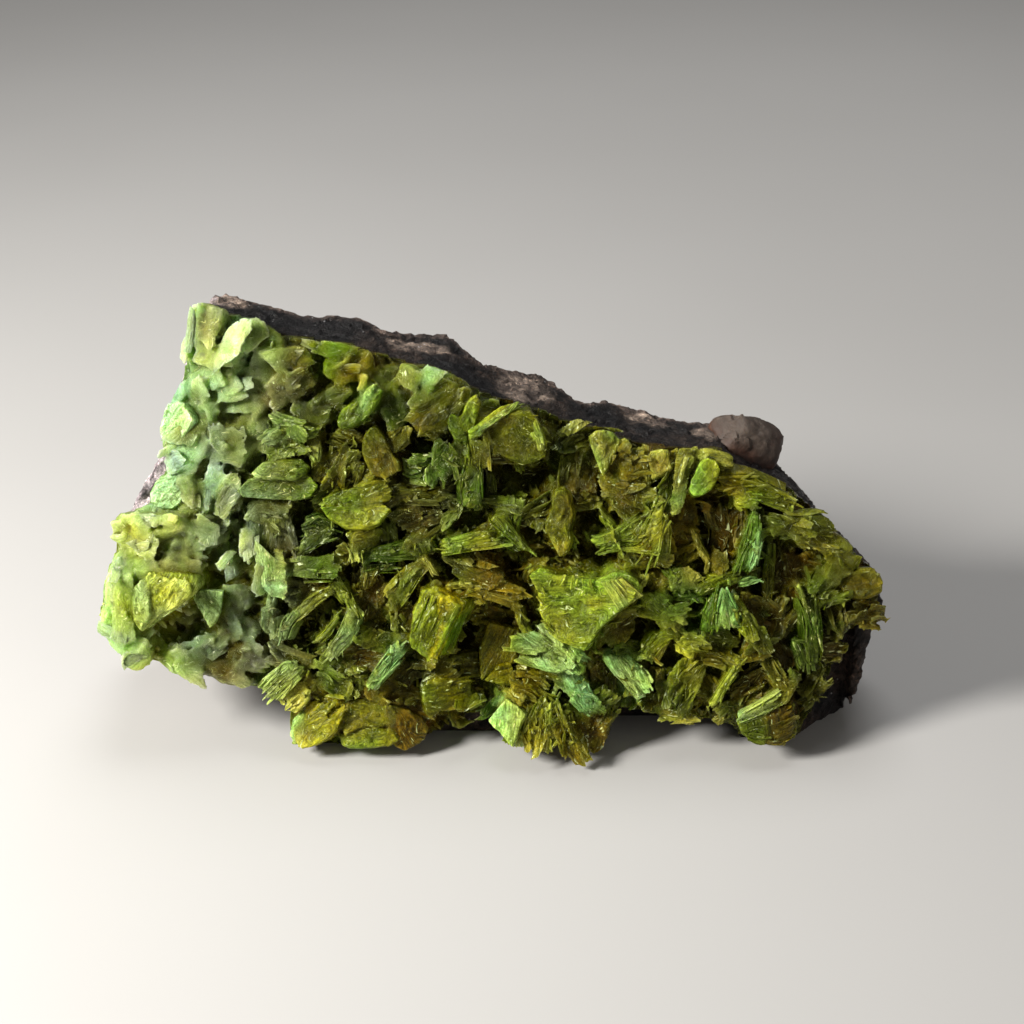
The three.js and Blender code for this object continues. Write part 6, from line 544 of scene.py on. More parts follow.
def cells(p, freq, seed, flat=1.0):
    """Worley cells: (offset to the nearest cell centre, hash of the cell, distance to the cell's border)."""
    q = np.asarray(p, float) * freq + 500.0
    i = np.floor(q).astype(np.int64)
    best = np.full(len(q), 1e9)
    second = np.full(len(q), 1e9)
    off = np.zeros_like(q)
    cid = np.zeros(len(q))
    gx = np.zeros_like(q)
    for dx in (-1, 0, 1):
        for dy in (-1, 0, 1):
            for dz in (-1, 0, 1):
                c = i + (dx, dy, dz)
                h = [_hash(c[:, 0], c[:, 1], c[:, 2], seed + k) for k in range(3)]
                pos = c + np.stack(h, 1)
                d = np.linalg.norm(q - pos, axis=1)
                new = d < best
                second = np.where(new, best, np.minimum(second, d))
                best = np.where(new, d, best)
                off = np.where(new[:, None], q - pos, off)
                g = np.stack([_hash(c[:, 0], c[:, 1], c[:, 2], seed + 7 + k) for k in range(3)], 1) * 2 - 1
                gx = np.where(new[:, None], g, gx)
                cid = np.where(new, h[0], cid)
    return off / freq, gx, cid, (second - best) / freq


# ------------------------------------------------------------------ polygons
def poly_sd(q, p):
    """Signed distance from points q (n, 2) to the closed polygon p, positive inside."""
    a = np.asarray(p, float)
    b = np.roll(a, -1, 0)
    d = b - a
    out = np.empty(len(q))
    for s in range(0, len(q), 20000):
        x = q[s:s + 20000]
        r = x[:, None] - a
        t = np.clip((r * d).sum(-1) / np.maximum((d * d).sum(-1), 1e-12), 0, 1)
        dist = np.sqrt(((r - t[..., None] * d) ** 2).sum(-1)).min(1)
        cr = ((a[:, 1] > x[:, None, 1]) != (b[:, 1] > x[:, None, 1])) & (
            x[:, None, 0] < (b[:, 0] - a[:, 0]) * (x[:, None, 1] - a[:, 1]) / np.where(d[:, 1] == 0, 1e-12, d[:, 1]) + a[:, 0])
        out[s:s + 20000] = np.where(cr.sum(1) % 2 == 1, dist, -dist)
    return out


def poly_area(p):
    x, y = p[:, 0], p[:, 1]
    return 0.5 * (x * np.roll(y, -1) - np.roll(x, -1) * y).sum()


def ccw(p):
    p = np.asarray(p, float)
    return p if poly_area(p) > 0 else p[::-1].copy()


def smoothstep(a, b, x):
    t = np.clip((x - a) / (b - a), 0, 1)
    return t * t * (3 - 2 * t)


def resample(p, step, rng, jag=0.0, round_off=0.0):
    """Points along a closed outline about every step, with chips of size jag."""
    p = ccw(p)
    if round_off:
        nxt, prv = np.roll(p, -1, 0), np.roll(p, 1, 0)
        le = np.linalg.norm(nxt - p, axis=1)
        lp = np.linalg.norm(prv - p, axis=1)
        ra = np.minimum(round_off, 0.3 * le)[:, None]
        rb = np.minimum(round_off, 0.3 * lp)[:, None]
        q = np.empty((2 * len(p), 2))
        q[0::2] = p + (prv - p) / np.maximum(lp, 1e-9)[:, None] * rb
        q[1::2] = p + (nxt - p) / np.maximum(le, 1e-9)[:, None] * ra
        p = q
    out = []
    for a, b in zip(p, np.roll(p, -1, 0)):
        n = max(1, int(round(np.linalg.norm(b - a) / step)))
        for i in range(n):
            out.append(a + (b - a) * i / n)
    q = np.array(out)
    if jag:
        nr = normals2(q)
        k = rng.normal(0, 1, len(q))
        k = 0.55 * k + 0.25 * np.roll(k, 1) + 0.25 * np.roll(k, -1)
        chip = (rng.random(len(q)) < 0.06) * rng.random(len(q)) * 2.4
        q = q + nr * (jag * np.clip(k, -2, 1.2) - jag * chip)[:, None]
    return q


def normals2(q):
    t = np.roll(q, -1, 0) - np.roll(q, 1, 0)
    n = np.stack((t[:, 1], -t[:, 0]), 1)
    return n / np.maximum(np.linalg.norm(n, axis=1), 1e-9)[:, None]


# ------------------------------------------------------------------ joined meshes
class Bag:
    """Closed bodies gathered for one joined mesh, with a tint, a cleavage direction and a painted highlight for each
    point.
    """

    def __init__(self):
        self.V, self.F, self.C, self.A, self.R, self.n = [], [], [], [], [], 0

    def add(self, v, f, col, along=(1.0, 0.0, 0.0), painted_highlight=0.0):
        """along is the direction of the body's cleavage lines; it is kept as a doubled angle on the face."""
        v = np.asarray(v, float)
        a = 2 * math.atan2(float(np.dot(along, EV)), float(np.dot(along, EU)))
        self.A.append(np.broadcast_to((math.cos(a), math.sin(a)), (len(v), 2)))
        self.R.append(np.broadcast_to(np.asarray(painted_highlight, float), (len(v),)))
        self.V.append(v)
        self.F.append(np.asarray(f, np.int64) + self.n)
        self.C.append(np.broadcast_to(np.asarray(col, float), (len(v), 3)))
        self.n += len(v)

    def count(self):
        return sum(len(f) for f in self.F)


def make_mesh(name, v, f, smooth_angle=None, tint=None, painted_highlight=None, grain=None):
    me = bpy.data.meshes.new(name)
    v = np.asarray(v, float) * MM
    f = np.asarray(f, np.int64)
    me.vertices.add(len(v))
    me.vertices.foreach_set("co", v.astype(np.float32).ravel())
    me.loops.add(f.size)
    me.loops.foreach_set("vertex_index", f.astype(np.int32).ravel())
    me.polygons.add(len(f))
    me.polygons.foreach_set("loop_start", np.arange(0, f.size, f.shape[1], dtype=np.int32))
    me.update(calc_edges=True)
    if tint is not None:
        a = me.attributes.new("tint", "FLOAT_COLOR", "POINT")
        rgba = np.ones((len(v), 4), np.float32)
        rgba[:, :3] = tint
        a.data.foreach_set("color", rgba.ravel())
    # the painted highlight of each point, which lightens the base colour in the materials
    if painted_highlight is not None:
        a = me.attributes.new("painted_highlight", "FLOAT", "POINT")
        a.data.foreach_set("value", np.asarray(painted_highlight, np.float32))
    if grain is not None:
        a = me.attributes.new("grain", "FLOAT_VECTOR", "POINT")
        a.data.foreach_set("vector", np.asarray(grain, np.float32).ravel())
    if smooth_angle is not None:
        me.shade_smooth()
        me.set_sharp_from_angle(angle=math.radians(smooth_angle))
    ob = bpy.data.objects.new(name, me)
    bpy.context.scene.collection.objects.link(ob)
    return ob


def draw_in(v, reach):
    """Points past the outline of the crust are drawn back to within reach of it."""
    q = to_face(v)
    e = 0.08
    sd = look(SDO, q[:, :2])
    gx = (look(SDO, q[:, :2] + (e, 0)) - look(SDO, q[:, :2] - (e, 0))) / (2 * e)
    gy = (look(SDO, q[:, :2] + (0, e)) - look(SDO, q[:, :2] - (0, e))) / (2 * e)
    g = np.stack((gx, gy), 1)
    g /= np.maximum(np.linalg.norm(g, axis=1), 1e-6)[:, None]
    out = np.maximum(-sd, 0)
    q[:, :2] += g * (out - reach * (1 - np.exp(-out / reach)))[:, None]
    return to_world(q)


def skin_of(v, f, voxel):
    """The outer skin of overlapping bodies at a fine pitch: its points, triangles and point normals."""
    ob = make_mesh("blank", v, f)
    rm = ob.modifiers.new("r", "REMESH")
    rm.mode = "VOXEL"
    rm.voxel_size = voxel * MM
    rm.adaptivity = 0.0
    dg = bpy.context.evaluated_depsgraph_get()
    me = bpy.data.meshes.new_from_object(ob.evaluated_get(dg))
    old = ob.data
    bpy.data.objects.remove(ob)
    bpy.data.meshes.remove(old)
    return mesh_arrays(me)


def thin_out(p, tri, target):
    """The same skin with about target triangles, kept fine where it bends."""
    if len(tri) <= target:
        return p, tri
    ob = make_mesh("dense", p, tri)
    dm = ob.modifiers.new("d", "DECIMATE")
    dm.ratio = target / len(tri)
    dm.use_collapse_triangulate = True
    dg = bpy.context.evaluated_depsgraph_get()
    me = bpy.data.meshes.new_from_object(ob.evaluated_get(dg))
    old = ob.data
    bpy.data.objects.remove(ob)
    bpy.data.meshes.remove(old)
    return mesh_arrays(me)


def mesh_arrays(me):
    me.calc_loop_triangles()
    n = len(me.vertices)
    co = np.empty(n * 3, np.float32)
    me.vertices.foreach_get("co", co)
    tri = np.empty(len(me.loop_triangles) * 3, np.int32)
    me.loop_triangles.foreach_get("vertices", tri)
    bpy.data.meshes.remove(me)
    return co.reshape(-1, 3).astype(float) / MM, tri.reshape(-1, 3).astype(np.int64)


def point_normals(p, tri):
    n = np.cross(p[tri[:, 1]] - p[tri[:, 0]], p[tri[:, 2]] - p[tri[:, 0]])
    out = np.zeros_like(p)
    for k in range(3):
        for a in range(3):
            out[:, a] += np.bincount(tri[:, k], n[:, a], len(p))
    return out / np.maximum(np.linalg.norm(out, axis=1), 1e-12)[:, None]


def real_parts(p, tri, least):
    """Triangles of the bodies that are not inner hollows or crumbs."""
    lab = np.arange(len(p))
    e = np.concatenate((tri[:, [0, 1]], tri[:, [1, 2]], tri[:, [2, 0]]))
    while True:
        m = np.minimum(lab[e[:, 0]], lab[e[:, 1]])
        new = lab.copy()
        np.minimum.at(new, e[:, 0], m)
        np.minimum.at(new, e[:, 1], m)
        new = new[new]
        if (new == lab).all():
            break
        lab = new
    tl = lab[tri[:, 0]]
    vol = np.bincount(tl, (p[tri[:, 0]] * np.cross(p[tri[:, 1]], p[tri[:, 2]])).sum(1) / 6, len(p))
    num = np.bincount(tl, minlength=len(p))
    good = (vol > 0) & (num >= least)
    tri = tri[good[tl]]
    used = np.zeros(len(p), bool)
    used[tri.ravel()] = True
    idx = np.cumsum(used) - 1
    return p[used], idx[tri]


def spread(v, val, p, pitch):
    """Values carried from points v to nearby points p, averaged over about one pitch."""
    lo = v.min(0) - 4 * pitch
    dim = np.ceil((v.max(0) - lo) / pitch).astype(int) + 5
    ijk = ((v - lo) / pitch + 0.5).astype(int)
    flat = np.ravel_multi_index(ijk.T, dim)
    val = np.column_stack((np.ones(len(v)), val))
    size = int(np.prod(dim))
    grid = [np.bincount(flat, val[:, k], size).reshape(dim) for k in range(val.shape[1])]

    def soften(a, n):
        for _ in range(n):
            for ax in range(3):
                a = (np.roll(a, 1, ax) + 2 * a + np.roll(a, -1, ax)) / 4
        return a

    near = [soften(g, 1) for g in grid]
    far = [soften(g, 6) for g in near]
    x = np.clip((p - lo) / pitch, 0, dim - 1.001)
    i0 = x.astype(int)
    f0 = x - i0
    out = np.zeros((len(p), len(grid)))
    for k in range(len(grid)):
        both = near[k] + 0.02 * far[k]
        for dx in (0, 1):
            for dy in (0, 1):
                for dz in (0, 1):
                    w_ = (f0[:, 0] if dx else 1 - f0[:, 0]) * (f0[:, 1] if dy else 1 - f0[:, 1]) * (f0[:, 2] if dz else 1 - f0[:, 2])
                    out[:, k] += w_ * both[i0[:, 0] + dx, i0[:, 1] + dy, i0[:, 2] + dz]
    return out[:, 1:] / np.maximum(out[:, :1], 1e-9)


def melted(name, bag, mat, replaces, voxel, target, share, reach, soft, facets, angle, least=200, fine=None):
    """Bodies grown into one another, shown by their common skin, with their colours blended where they meet."""
    v = np.concatenate(bag.V)
    if reach:
        v = draw_in(v, reach)
    v[:, 2] = np.maximum(v[:, 2], 0.03)
    p, tri = skin_of(v, np.concatenate(bag.F), voxel)
    p, tri = real_parts(p, tri, least)

    def ring_of(tri, n):
        e = np.concatenate((tri[:, [0, 1]], tri[:, [1, 2]], tri[:, [2, 0]]))
        e = np.concatenate((e, e[:, ::-1]))
        deg = np.maximum(np.bincount(e[:, 0], minlength=n), 1)[:, None]
        return lambda a: np.stack([np.bincount(e[:, 0], a[e[:, 1], k], n) for k in range(a.shape[1])], 1) / deg, e, deg

    mean_of, e, deg = ring_of(tri, len(p))
    for m in soft:
        p = p * (1 - m) + mean_of(p) * m
    p, tri = thin_out(p, tri, target)
    mean_of, e, deg = ring_of(tri, len(p))
    nr = point_normals(p, tri)
    # how far each point stands out of its surroundings: crests are positive, creases negative
    reach_ = np.bincount(e[:, 0], np.linalg.norm(p[e[:, 0]] - p[e[:, 1]], axis=1), len(p))[:, None] / deg
    bulge = ((p - mean_of(mean_of(p))) * nr).sum(1, keepdims=True) / np.maximum(reach_, 0.04)
    bulge = mean_of(bulge)[:, 0]
    got = spread(v, np.column_stack((np.concatenate(bag.C), np.concatenate(bag.A))), p, 0.12)
    col = shade_by_place(p, got[:, :3], share)
    q = to_face(p)
    th = 0.5 * np.arctan2(got[:, 4], got[:, 3])
    gr = np.column_stack((q[:, 0] * np.cos(th) + q[:, 1] * np.sin(th), q[:, 1] * np.cos(th) - q[:, 0] * np.sin(th) + 0.6 * q[:, 2], 3.0 * th))
    off, gx, cid, edge = cells(p, 1.5, 611)
    off2, gx2, cid2, edge2 = cells(p, 3.4, 613)
    d = facets * (1.3 * (off * gx).sum(1) + 0.9 * (off2 * gx2).sum(1)) + facets * 0.30 * fbm(p, 3.0, 3, 615) + 0.008 * noise3(p, 8.0, 617)
    d = d + 0.020 * noise3(gr * (0.9, 5.5, 1.0), 1.0, 629)
    p = p + nr * d[:, None]
    p[:, 2] = np.maximum(p[:, 2], 0.03)
    # crests get a painted highlight, also passed on as the highlight attribute; creases get painted shade, darker and
    # warmer
    crest_highlight = smoothstep(0.10, 0.55, bulge)[:, None]
    crease_shade = smoothstep(-0.08, -0.50, bulge)[:, None]
    col = col * (1 + 0.14 * (cid2 - 0.5) + 0.14 * (cid - 0.5) + 0.10 * fbm(p, 3.5, 2, 619))[:, None]
    col = col * (1 + 0.40 * crest_highlight) * (1 - 0.45 * crease_shade) * np.array((1.20, 0.92, 0.6)) ** crease_shade
    painted_highlight = crest_highlight[:, 0] * 0.8
    sd = look(SDO, q[:, :2])
    # painted shade: points sunk below the tops near the outline of the crust, right of the left end, are darkened
    low = smoothstep(-0.10, 0.25, look(TOPS, q[:, :2]) - q[:, 2]) * (1 - smoothstep(0.15, 0.75, sd)) * smoothstep(-13.5, -12.5, q[:, 0])
    col = col * (1 - 0.75 * low[:, None])
    if fine is not None and fine.n:
        v2 = np.concatenate(fine.V)
        if reach:
            v2 = draw_in(v2, reach)
        v2[:, 2] = np.maximum(v2[:, 2], 0.03)
        v2[:, 0] = np.where(np.abs(v2[:, 0]) > 21.2, np.sign(v2[:, 0]) * (21.2 + 0.3 * (np.abs(v2[:, 0]) - 21.2)), v2[:, 0])
        a2 = np.concatenate(fine.A)
        th2 = 0.5 * np.arctan2(a2[:, 1], a2[:, 0])
        q2 = to_face(v2)
        g2 = np.column_stack((q2[:, 0] * np.cos(th2) + q2[:, 1] * np.sin(th2), q2[:, 1] * np.cos(th2) - q2[:, 0] * np.sin(th2) + 0.6 * q2[:, 2], 3.0 * th2))
        tri = np.concatenate((tri, np.concatenate(fine.F) + len(p)))
        p = np.concatenate((p, v2))
        col = np.concatenate((col, shade_by_place(v2, np.concatenate(fine.C), share)))
        painted_highlight = np.concatenate((painted_highlight, np.concatenate(fine.R)))
        gr = np.concatenate((gr, g2))
    ob = make_mesh(name, p, tri, angle, np.clip(col, 0.0008, 0.9), painted_highlight, gr)
    ob.data.materials.append(mat)
    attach(ob, "root")
    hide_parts(*replaces)
    return ob


def ring_faces(n, rings):
    """Triangles between successive rings of n points, rings numbered from 0 outermost top to bottom."""
    i = np.arange(n)
    j = (i + 1) % n
    f = []
    for r in range(rings - 1):
        a, b = r * n, (r + 1) * n
        f.append(np.stack((a + i, b + i, b + j), 1))
        f.append(np.stack((a + i, b + j, a + j), 1))
    return np.concatenate(f)


def cap_faces(ring, extra):
    """Triangles of a flat cap from its outline and points inside it. None if the outline crosses itself."""
    pts = [Vector(p) for p in ring] + [Vector(p) for p in extra]
    n = len(ring)
    edges = [(i, (i + 1) % n) for i in range(n)]
    out = geometry.delaunay_2d_cdt(pts, edges, [], 1, 1e-7)
    if len(out[0]) != len(pts):
        return None
    f = np.array([t for t in out[2]], int)
    if f.size == 0 or f.shape[1] != 3:
        return None
    got = np.array([[c[0], c[1]] for c in out[0]])
    src = np.concatenate((ring, extra)) if len(extra) else ring
    if np.abs(got - src).max() > 1e-6:
        return None
    a, b, c = src[f[:, 0]], src[f[:, 1]], src[f[:, 2]]
    cr = (b[:, 0] - a[:, 0]) * (c[:, 1] - a[:, 1]) - (b[:, 1] - a[:, 1]) * (c[:, 0] - a[:, 0])
    f[cr < 0] = f[cr < 0][:, ::-1]
    # every outline edge is used once
    e = set()
    for t in f:
        for k in range(3):
            e.add((int(t[k]), int(t[(k + 1) % 3])))
    for i in range(n):
        if (i, (i + 1) % n) not in e:
            return None
    return f


# ------------------------------------------------------------------ crystal colours
# linear base colours of the crystal classes; pale is a painted highlight for crystal edges that catch the light, and
# mint is partly the crystals' own colour and partly the painted highlight of the brightly lit left end
CLASS = {
    "mint": (0.31, 0.55, 0.26),
    "pale": (0.30, 0.38, 0.13),
    "lime": (0.235, 0.33, 0.040),
    "yellow": (0.31, 0.345, 0.008),
    "ochre": (0.18, 0.135, 0.001),
    "olive": (0.150, 0.165, 0.001),
    "green": (0.105, 0.180, 0.004),
    "teal": (0.068, 0.155, 0.014),
    "grey": (0.13, 0.150, 0.006),
}


def class_tint(cls, k, rng, spread=0.10):
    c = np.array(CLASS[cls]) * k
    return c * (1 + rng.normal(0, spread, 3) * (1.0, 0.7, 1.0)) * (1 + rng.normal(0, spread))


# ------------------------------------------------------------------ crystal bodies
def convex_hull(p):
    pts = sorted(map(tuple, p))

    def half(seq):
        h = []
        for a in seq:
            while len(h) > 1 and ((h[-1][0] - h[-2][0]) * (a[1] - h[-2][1]) - (h[-1][1] - h[-2][1]) * (a[0] - h[-2][0])) <= 1e-9:
                h.pop()
            h.append(a)
        return h[:-1]

    return np.array(half(pts) + half(pts[::-1]))


def book(bag, outline, centre, ex, ey, en, thick, tint, rng, layers=None, step=0.14, jag=0.018,
         terrace=0.10, relief=0.02, rough_side=0.03, round_off=0.0, mottle=0.12, bend=None, flare=0.0, phi=None, plain=False):
    """A crystal book: a stack of thin layers grown together into one closed body.
    outline is (n, 2) on the plane ex, ey through centre, and en points out of it."""
    p = ccw(outline)
    area = poly_area(p)
    size = math.sqrt(max(area, 1e-6))
    step = min(step, size / 5)
    q = resample(p, step, rng, jag, round_off)
    n = len(q)
    nr = normals2(q)
    mid = q.mean(0)
    probe = mid + (q - mid) * 0.3
    inr = max(0.03, float(np.max(poly_sd(np.concatenate((probe, mid[None])), q))))
    in1, in2 = min(0.03, 0.12 * inr), min(0.10, 0.34 * inr)
    if plain:
        in1, in2 = 0.03 * inr, 0.08 * inr
    layers = layers or int(np.clip(round(thick / 0.10), 3, 10))
    th0 = rng.random() * 2 * math.pi
    lean = nr @ np.array((math.cos(th0), math.sin(th0)))
    kx, ky = (rng.normal(0, 0.035, 2) if bend is None else bend)
    ca = rng.random() * math.pi if phi is None else phi
    cx = np.array((math.cos(ca), math.sin(ca)))
    seed = int(rng.integers(1, 1 << 30))

    def lift(xy):
        d = xy - mid
        s, t = d @ cx, d @ np.array((-cx[1], cx[0]))
        return -(kx * s * s + ky * t * t)

    rings, zs, tin, painted_highlight = [], [], [], []
    base = np.asarray(tint, float)

    def put(xy, z, c, r):
        rings.append(xy)
        zs.append(np.broadcast_to(z, (len(xy),)) + lift(xy))
        tin.append(np.broadcast_to(base * c, (len(xy), 3)))
        painted_highlight.append(np.full(len(xy), r))

    # the outer rings of the top edge are painted lighter (1.05, 1.12) as a painted highlight
    put(q - nr * in2, 0.0, 1.0, 0.0)
    put(q - nr * in1, 0.0, 1.05, 0.45)
    put(q, -0.014, 1.12, 0.45)
    cuts = np.sort(rng.random(layers - 1)) if layers > 1 else np.zeros(0)
    cuts = np.concatenate(([0], 0.5 * cuts + 0.5 * np.arange(1, layers) / layers, [1]))
    grow = 0.0
    for j in range(layers):
        off = rng.normal(0, rough_side) + rng.normal(0, rough_side * 0.5, n)
        off = off + terrace * size * cuts[j] * (0.5 + 0.5 * lean) + flare * cuts[j] * thick
        if j == 0:
            off = off * 0.3
        shade = 1 + rng.normal(0, 0.24)
        z0 = -thick * cuts[j] - (0.02 if j else 0.03)
        z1 = -thick * cuts[j + 1]
        r = max(0.0, rng.normal(0.35, 0.3)) if j else 0.8
        put(q + nr * off[:, None], z0, shade, min(r, 1.0))
        # the lower edge of each layer is painted a little darker (0.9) as shade
        put(q + nr * (off * 0.9)[:, None], z1, shade * 0.9, min(r, 1.0) * 0.6)
    R = len(rings)
    side = ring_faces(n, R)
    xy = np.concatenate(rings)
    z = np.concatenate(zs)
    # the top: inner points lifted and stepped
    lo, hi = rings[0].min(0), rings[0].max(0)
    gs = float(np.clip(size / 5, 0.15, 0.30))
    gx, gy = np.meshgrid(np.arange(lo[0], hi[0], gs), np.arange(lo[1], hi[1], gs * 0.87))
    gx[1::2] += gs / 2
    g = np.stack((gx.ravel(), gy.ravel()), 1)
    g = g + rng.normal(0, gs * 0.14, g.shape)
    g = g[poly_sd(g, rings[0]) > gs * 0.42] if len(g) else g
    capf = cap_faces(rings[0], g)
    if capf is None:
        g = np.zeros((0, 2))
        capf = cap_faces(rings[0], g)
    if capf is None:
        if not plain:
            return book(bag, convex_hull(p), centre, ex, ey, en, thick, tint, rng, layers, 0.18, 0.0,
                        0.02, relief, 0.0, 0.0, mottle, bend, 0.0, phi, True)
        return False
    m = len(g)
    if m:
        g3 = np.column_stack((g * 1.0, np.full(m, seed % 97)))
        st = noise3(g3, 0.9 / size * 1.6, seed)
        gz = relief * (2.2 * np.floor(2.2 * st) / 2.2 + 0.5 * rng.normal(0, 1, m)) + lift(g)
        shade = 1 + mottle * fbm(g3, 2.6, 2, seed + 5) + rng.normal(0, mottle * 0.25, m)
        gcol = base * np.clip(shade, 0.5, 1.6)[:, None]
    bot = cap_faces(rings[-1], np.zeros((0, 2)))
    if bot is None:
        bot = cap_faces(rings[0], np.zeros((0, 2)))
    if bot is None:
        if not plain:
            return book(bag, convex_hull(p), centre, ex, ey, en, thick, tint, rng, layers, 0.18, 0.0,
                        0.02, relief, 0.0, 0.0, mottle, bend, 0.0, phi, True)
        return False
    capf = np.where(capf >= n, capf + (R - 1) * n, capf)
    botf = bot[:, ::-1] + (R - 1) * n
    if m:
        xy = np.concatenate((xy, g))
        z = np.concatenate((z, gz))
        col = np.concatenate((np.concatenate(tin), gcol))
    else:
        col = np.concatenate(tin)
    f = np.concatenate((capf, side, botf))
    v = centre + xy[:, 0:1] * ex + xy[:, 1:2] * ey + z[:, None] * en
    bag.add(v, f, col, cx[0] * ex + cx[1] * ey)
    return True


def tilt_axes(nu, nv):
    """Axes in world space of a plane of the face that leans by nu, nv: ex and ey keep the drawn u, v."""
    ex = EU - nu * EW
    ey = EV - nv * EW
    en = np.cross(ex, ey)
    return ex, ey, en / np.linalg.norm(en)


def sheet_strip(bag, c, w_top, depth, half, across, tint, rim_top, rng, lean=0.0):
    """A thin curved sheet seen on edge: c (m, 2) in face coordinates, from its top edge down by depth."""
    m = len(c)
    half = np.broadcast_to(half, (m,))[:, None]
    depth = np.broadcast_to(depth, (m,))[:, None]
    wt = np.broadcast_to(w_top, (m,))[:, None]
    ln = np.broadcast_to(lean, (m,))[:, None]
    prof = [(-1.0, 0.06), (-0.35, 0.0), (0.5, 0.015), (1.0, 0.09), (0.8, 1.0), (-0.8, 1.0)]
    rows = []
    for s, d in prof:
        uv = c + across * (s * half + ln * d * depth)
        rows.append(np.concatenate((uv, wt - d * depth), 1))
    k = len(prof)
    q = np.stack(rows, 1).reshape(-1, 3)
    i = np.arange(m - 1)[:, None] * k
    a = np.arange(k)[None]
    b = (a + 1) % k
    f1 = np.stack((i + a, i + b, i + k + b), -1).reshape(-1, 3)
    f2 = np.stack((i + a, i + k + b, i + k + a), -1).reshape(-1, 3)
    e0 = np.array([(0, t + 1, t) for t in range(1, k - 1)])
    e1 = np.array([(0, t, t + 1) for t in range(1, k - 1)]) + (m - 1) * k
    f = np.concatenate((f1, f2, e0, e1))
    v = to_world(q)
    # outward check on one body
    a0, b0, c0 = v[f[:, 0]], v[f[:, 1]], v[f[:, 2]]
    if (np.cross(b0 - a0, c0 - a0) * (a0 - v.mean(0))).sum() < 0:
        f = f[:, ::-1]
    # the top edge of the sheet is painted lighter and its deep part darker: painted highlight and painted shade
    shade = np.stack([np.full(m, t) for t in (0.95, 1.12, 1.1, 0.95, 0.7, 0.7)], 1).reshape(-1)
    wob = 1 + 0.12 * np.repeat(np.interp(np.linspace(0, 1, m), np.linspace(0, 1, 6), rng.normal(0, 1, 6)), k)
    bag.add(v, f, np.asarray(tint) * (shade * wob)[:, None], v[-1] - v[0])


def along_curve(p, t):
    p = np.asarray(p, float)
    s = np.concatenate(([0], np.cumsum(np.linalg.norm(np.diff(p, axis=0), axis=1))))
    s /= s[-1]
    # smooth the polyline: interpolate, then average
    x = np.interp(t, s, p[:, 0])
    y = np.interp(t, s, p[:, 1])
    c = np.stack((x, y), 1)
    for _ in range(2):
        c[1:-1] = 0.5 * c[1:-1] + 0.25 * (c[:-2] + c[2:])
    return c


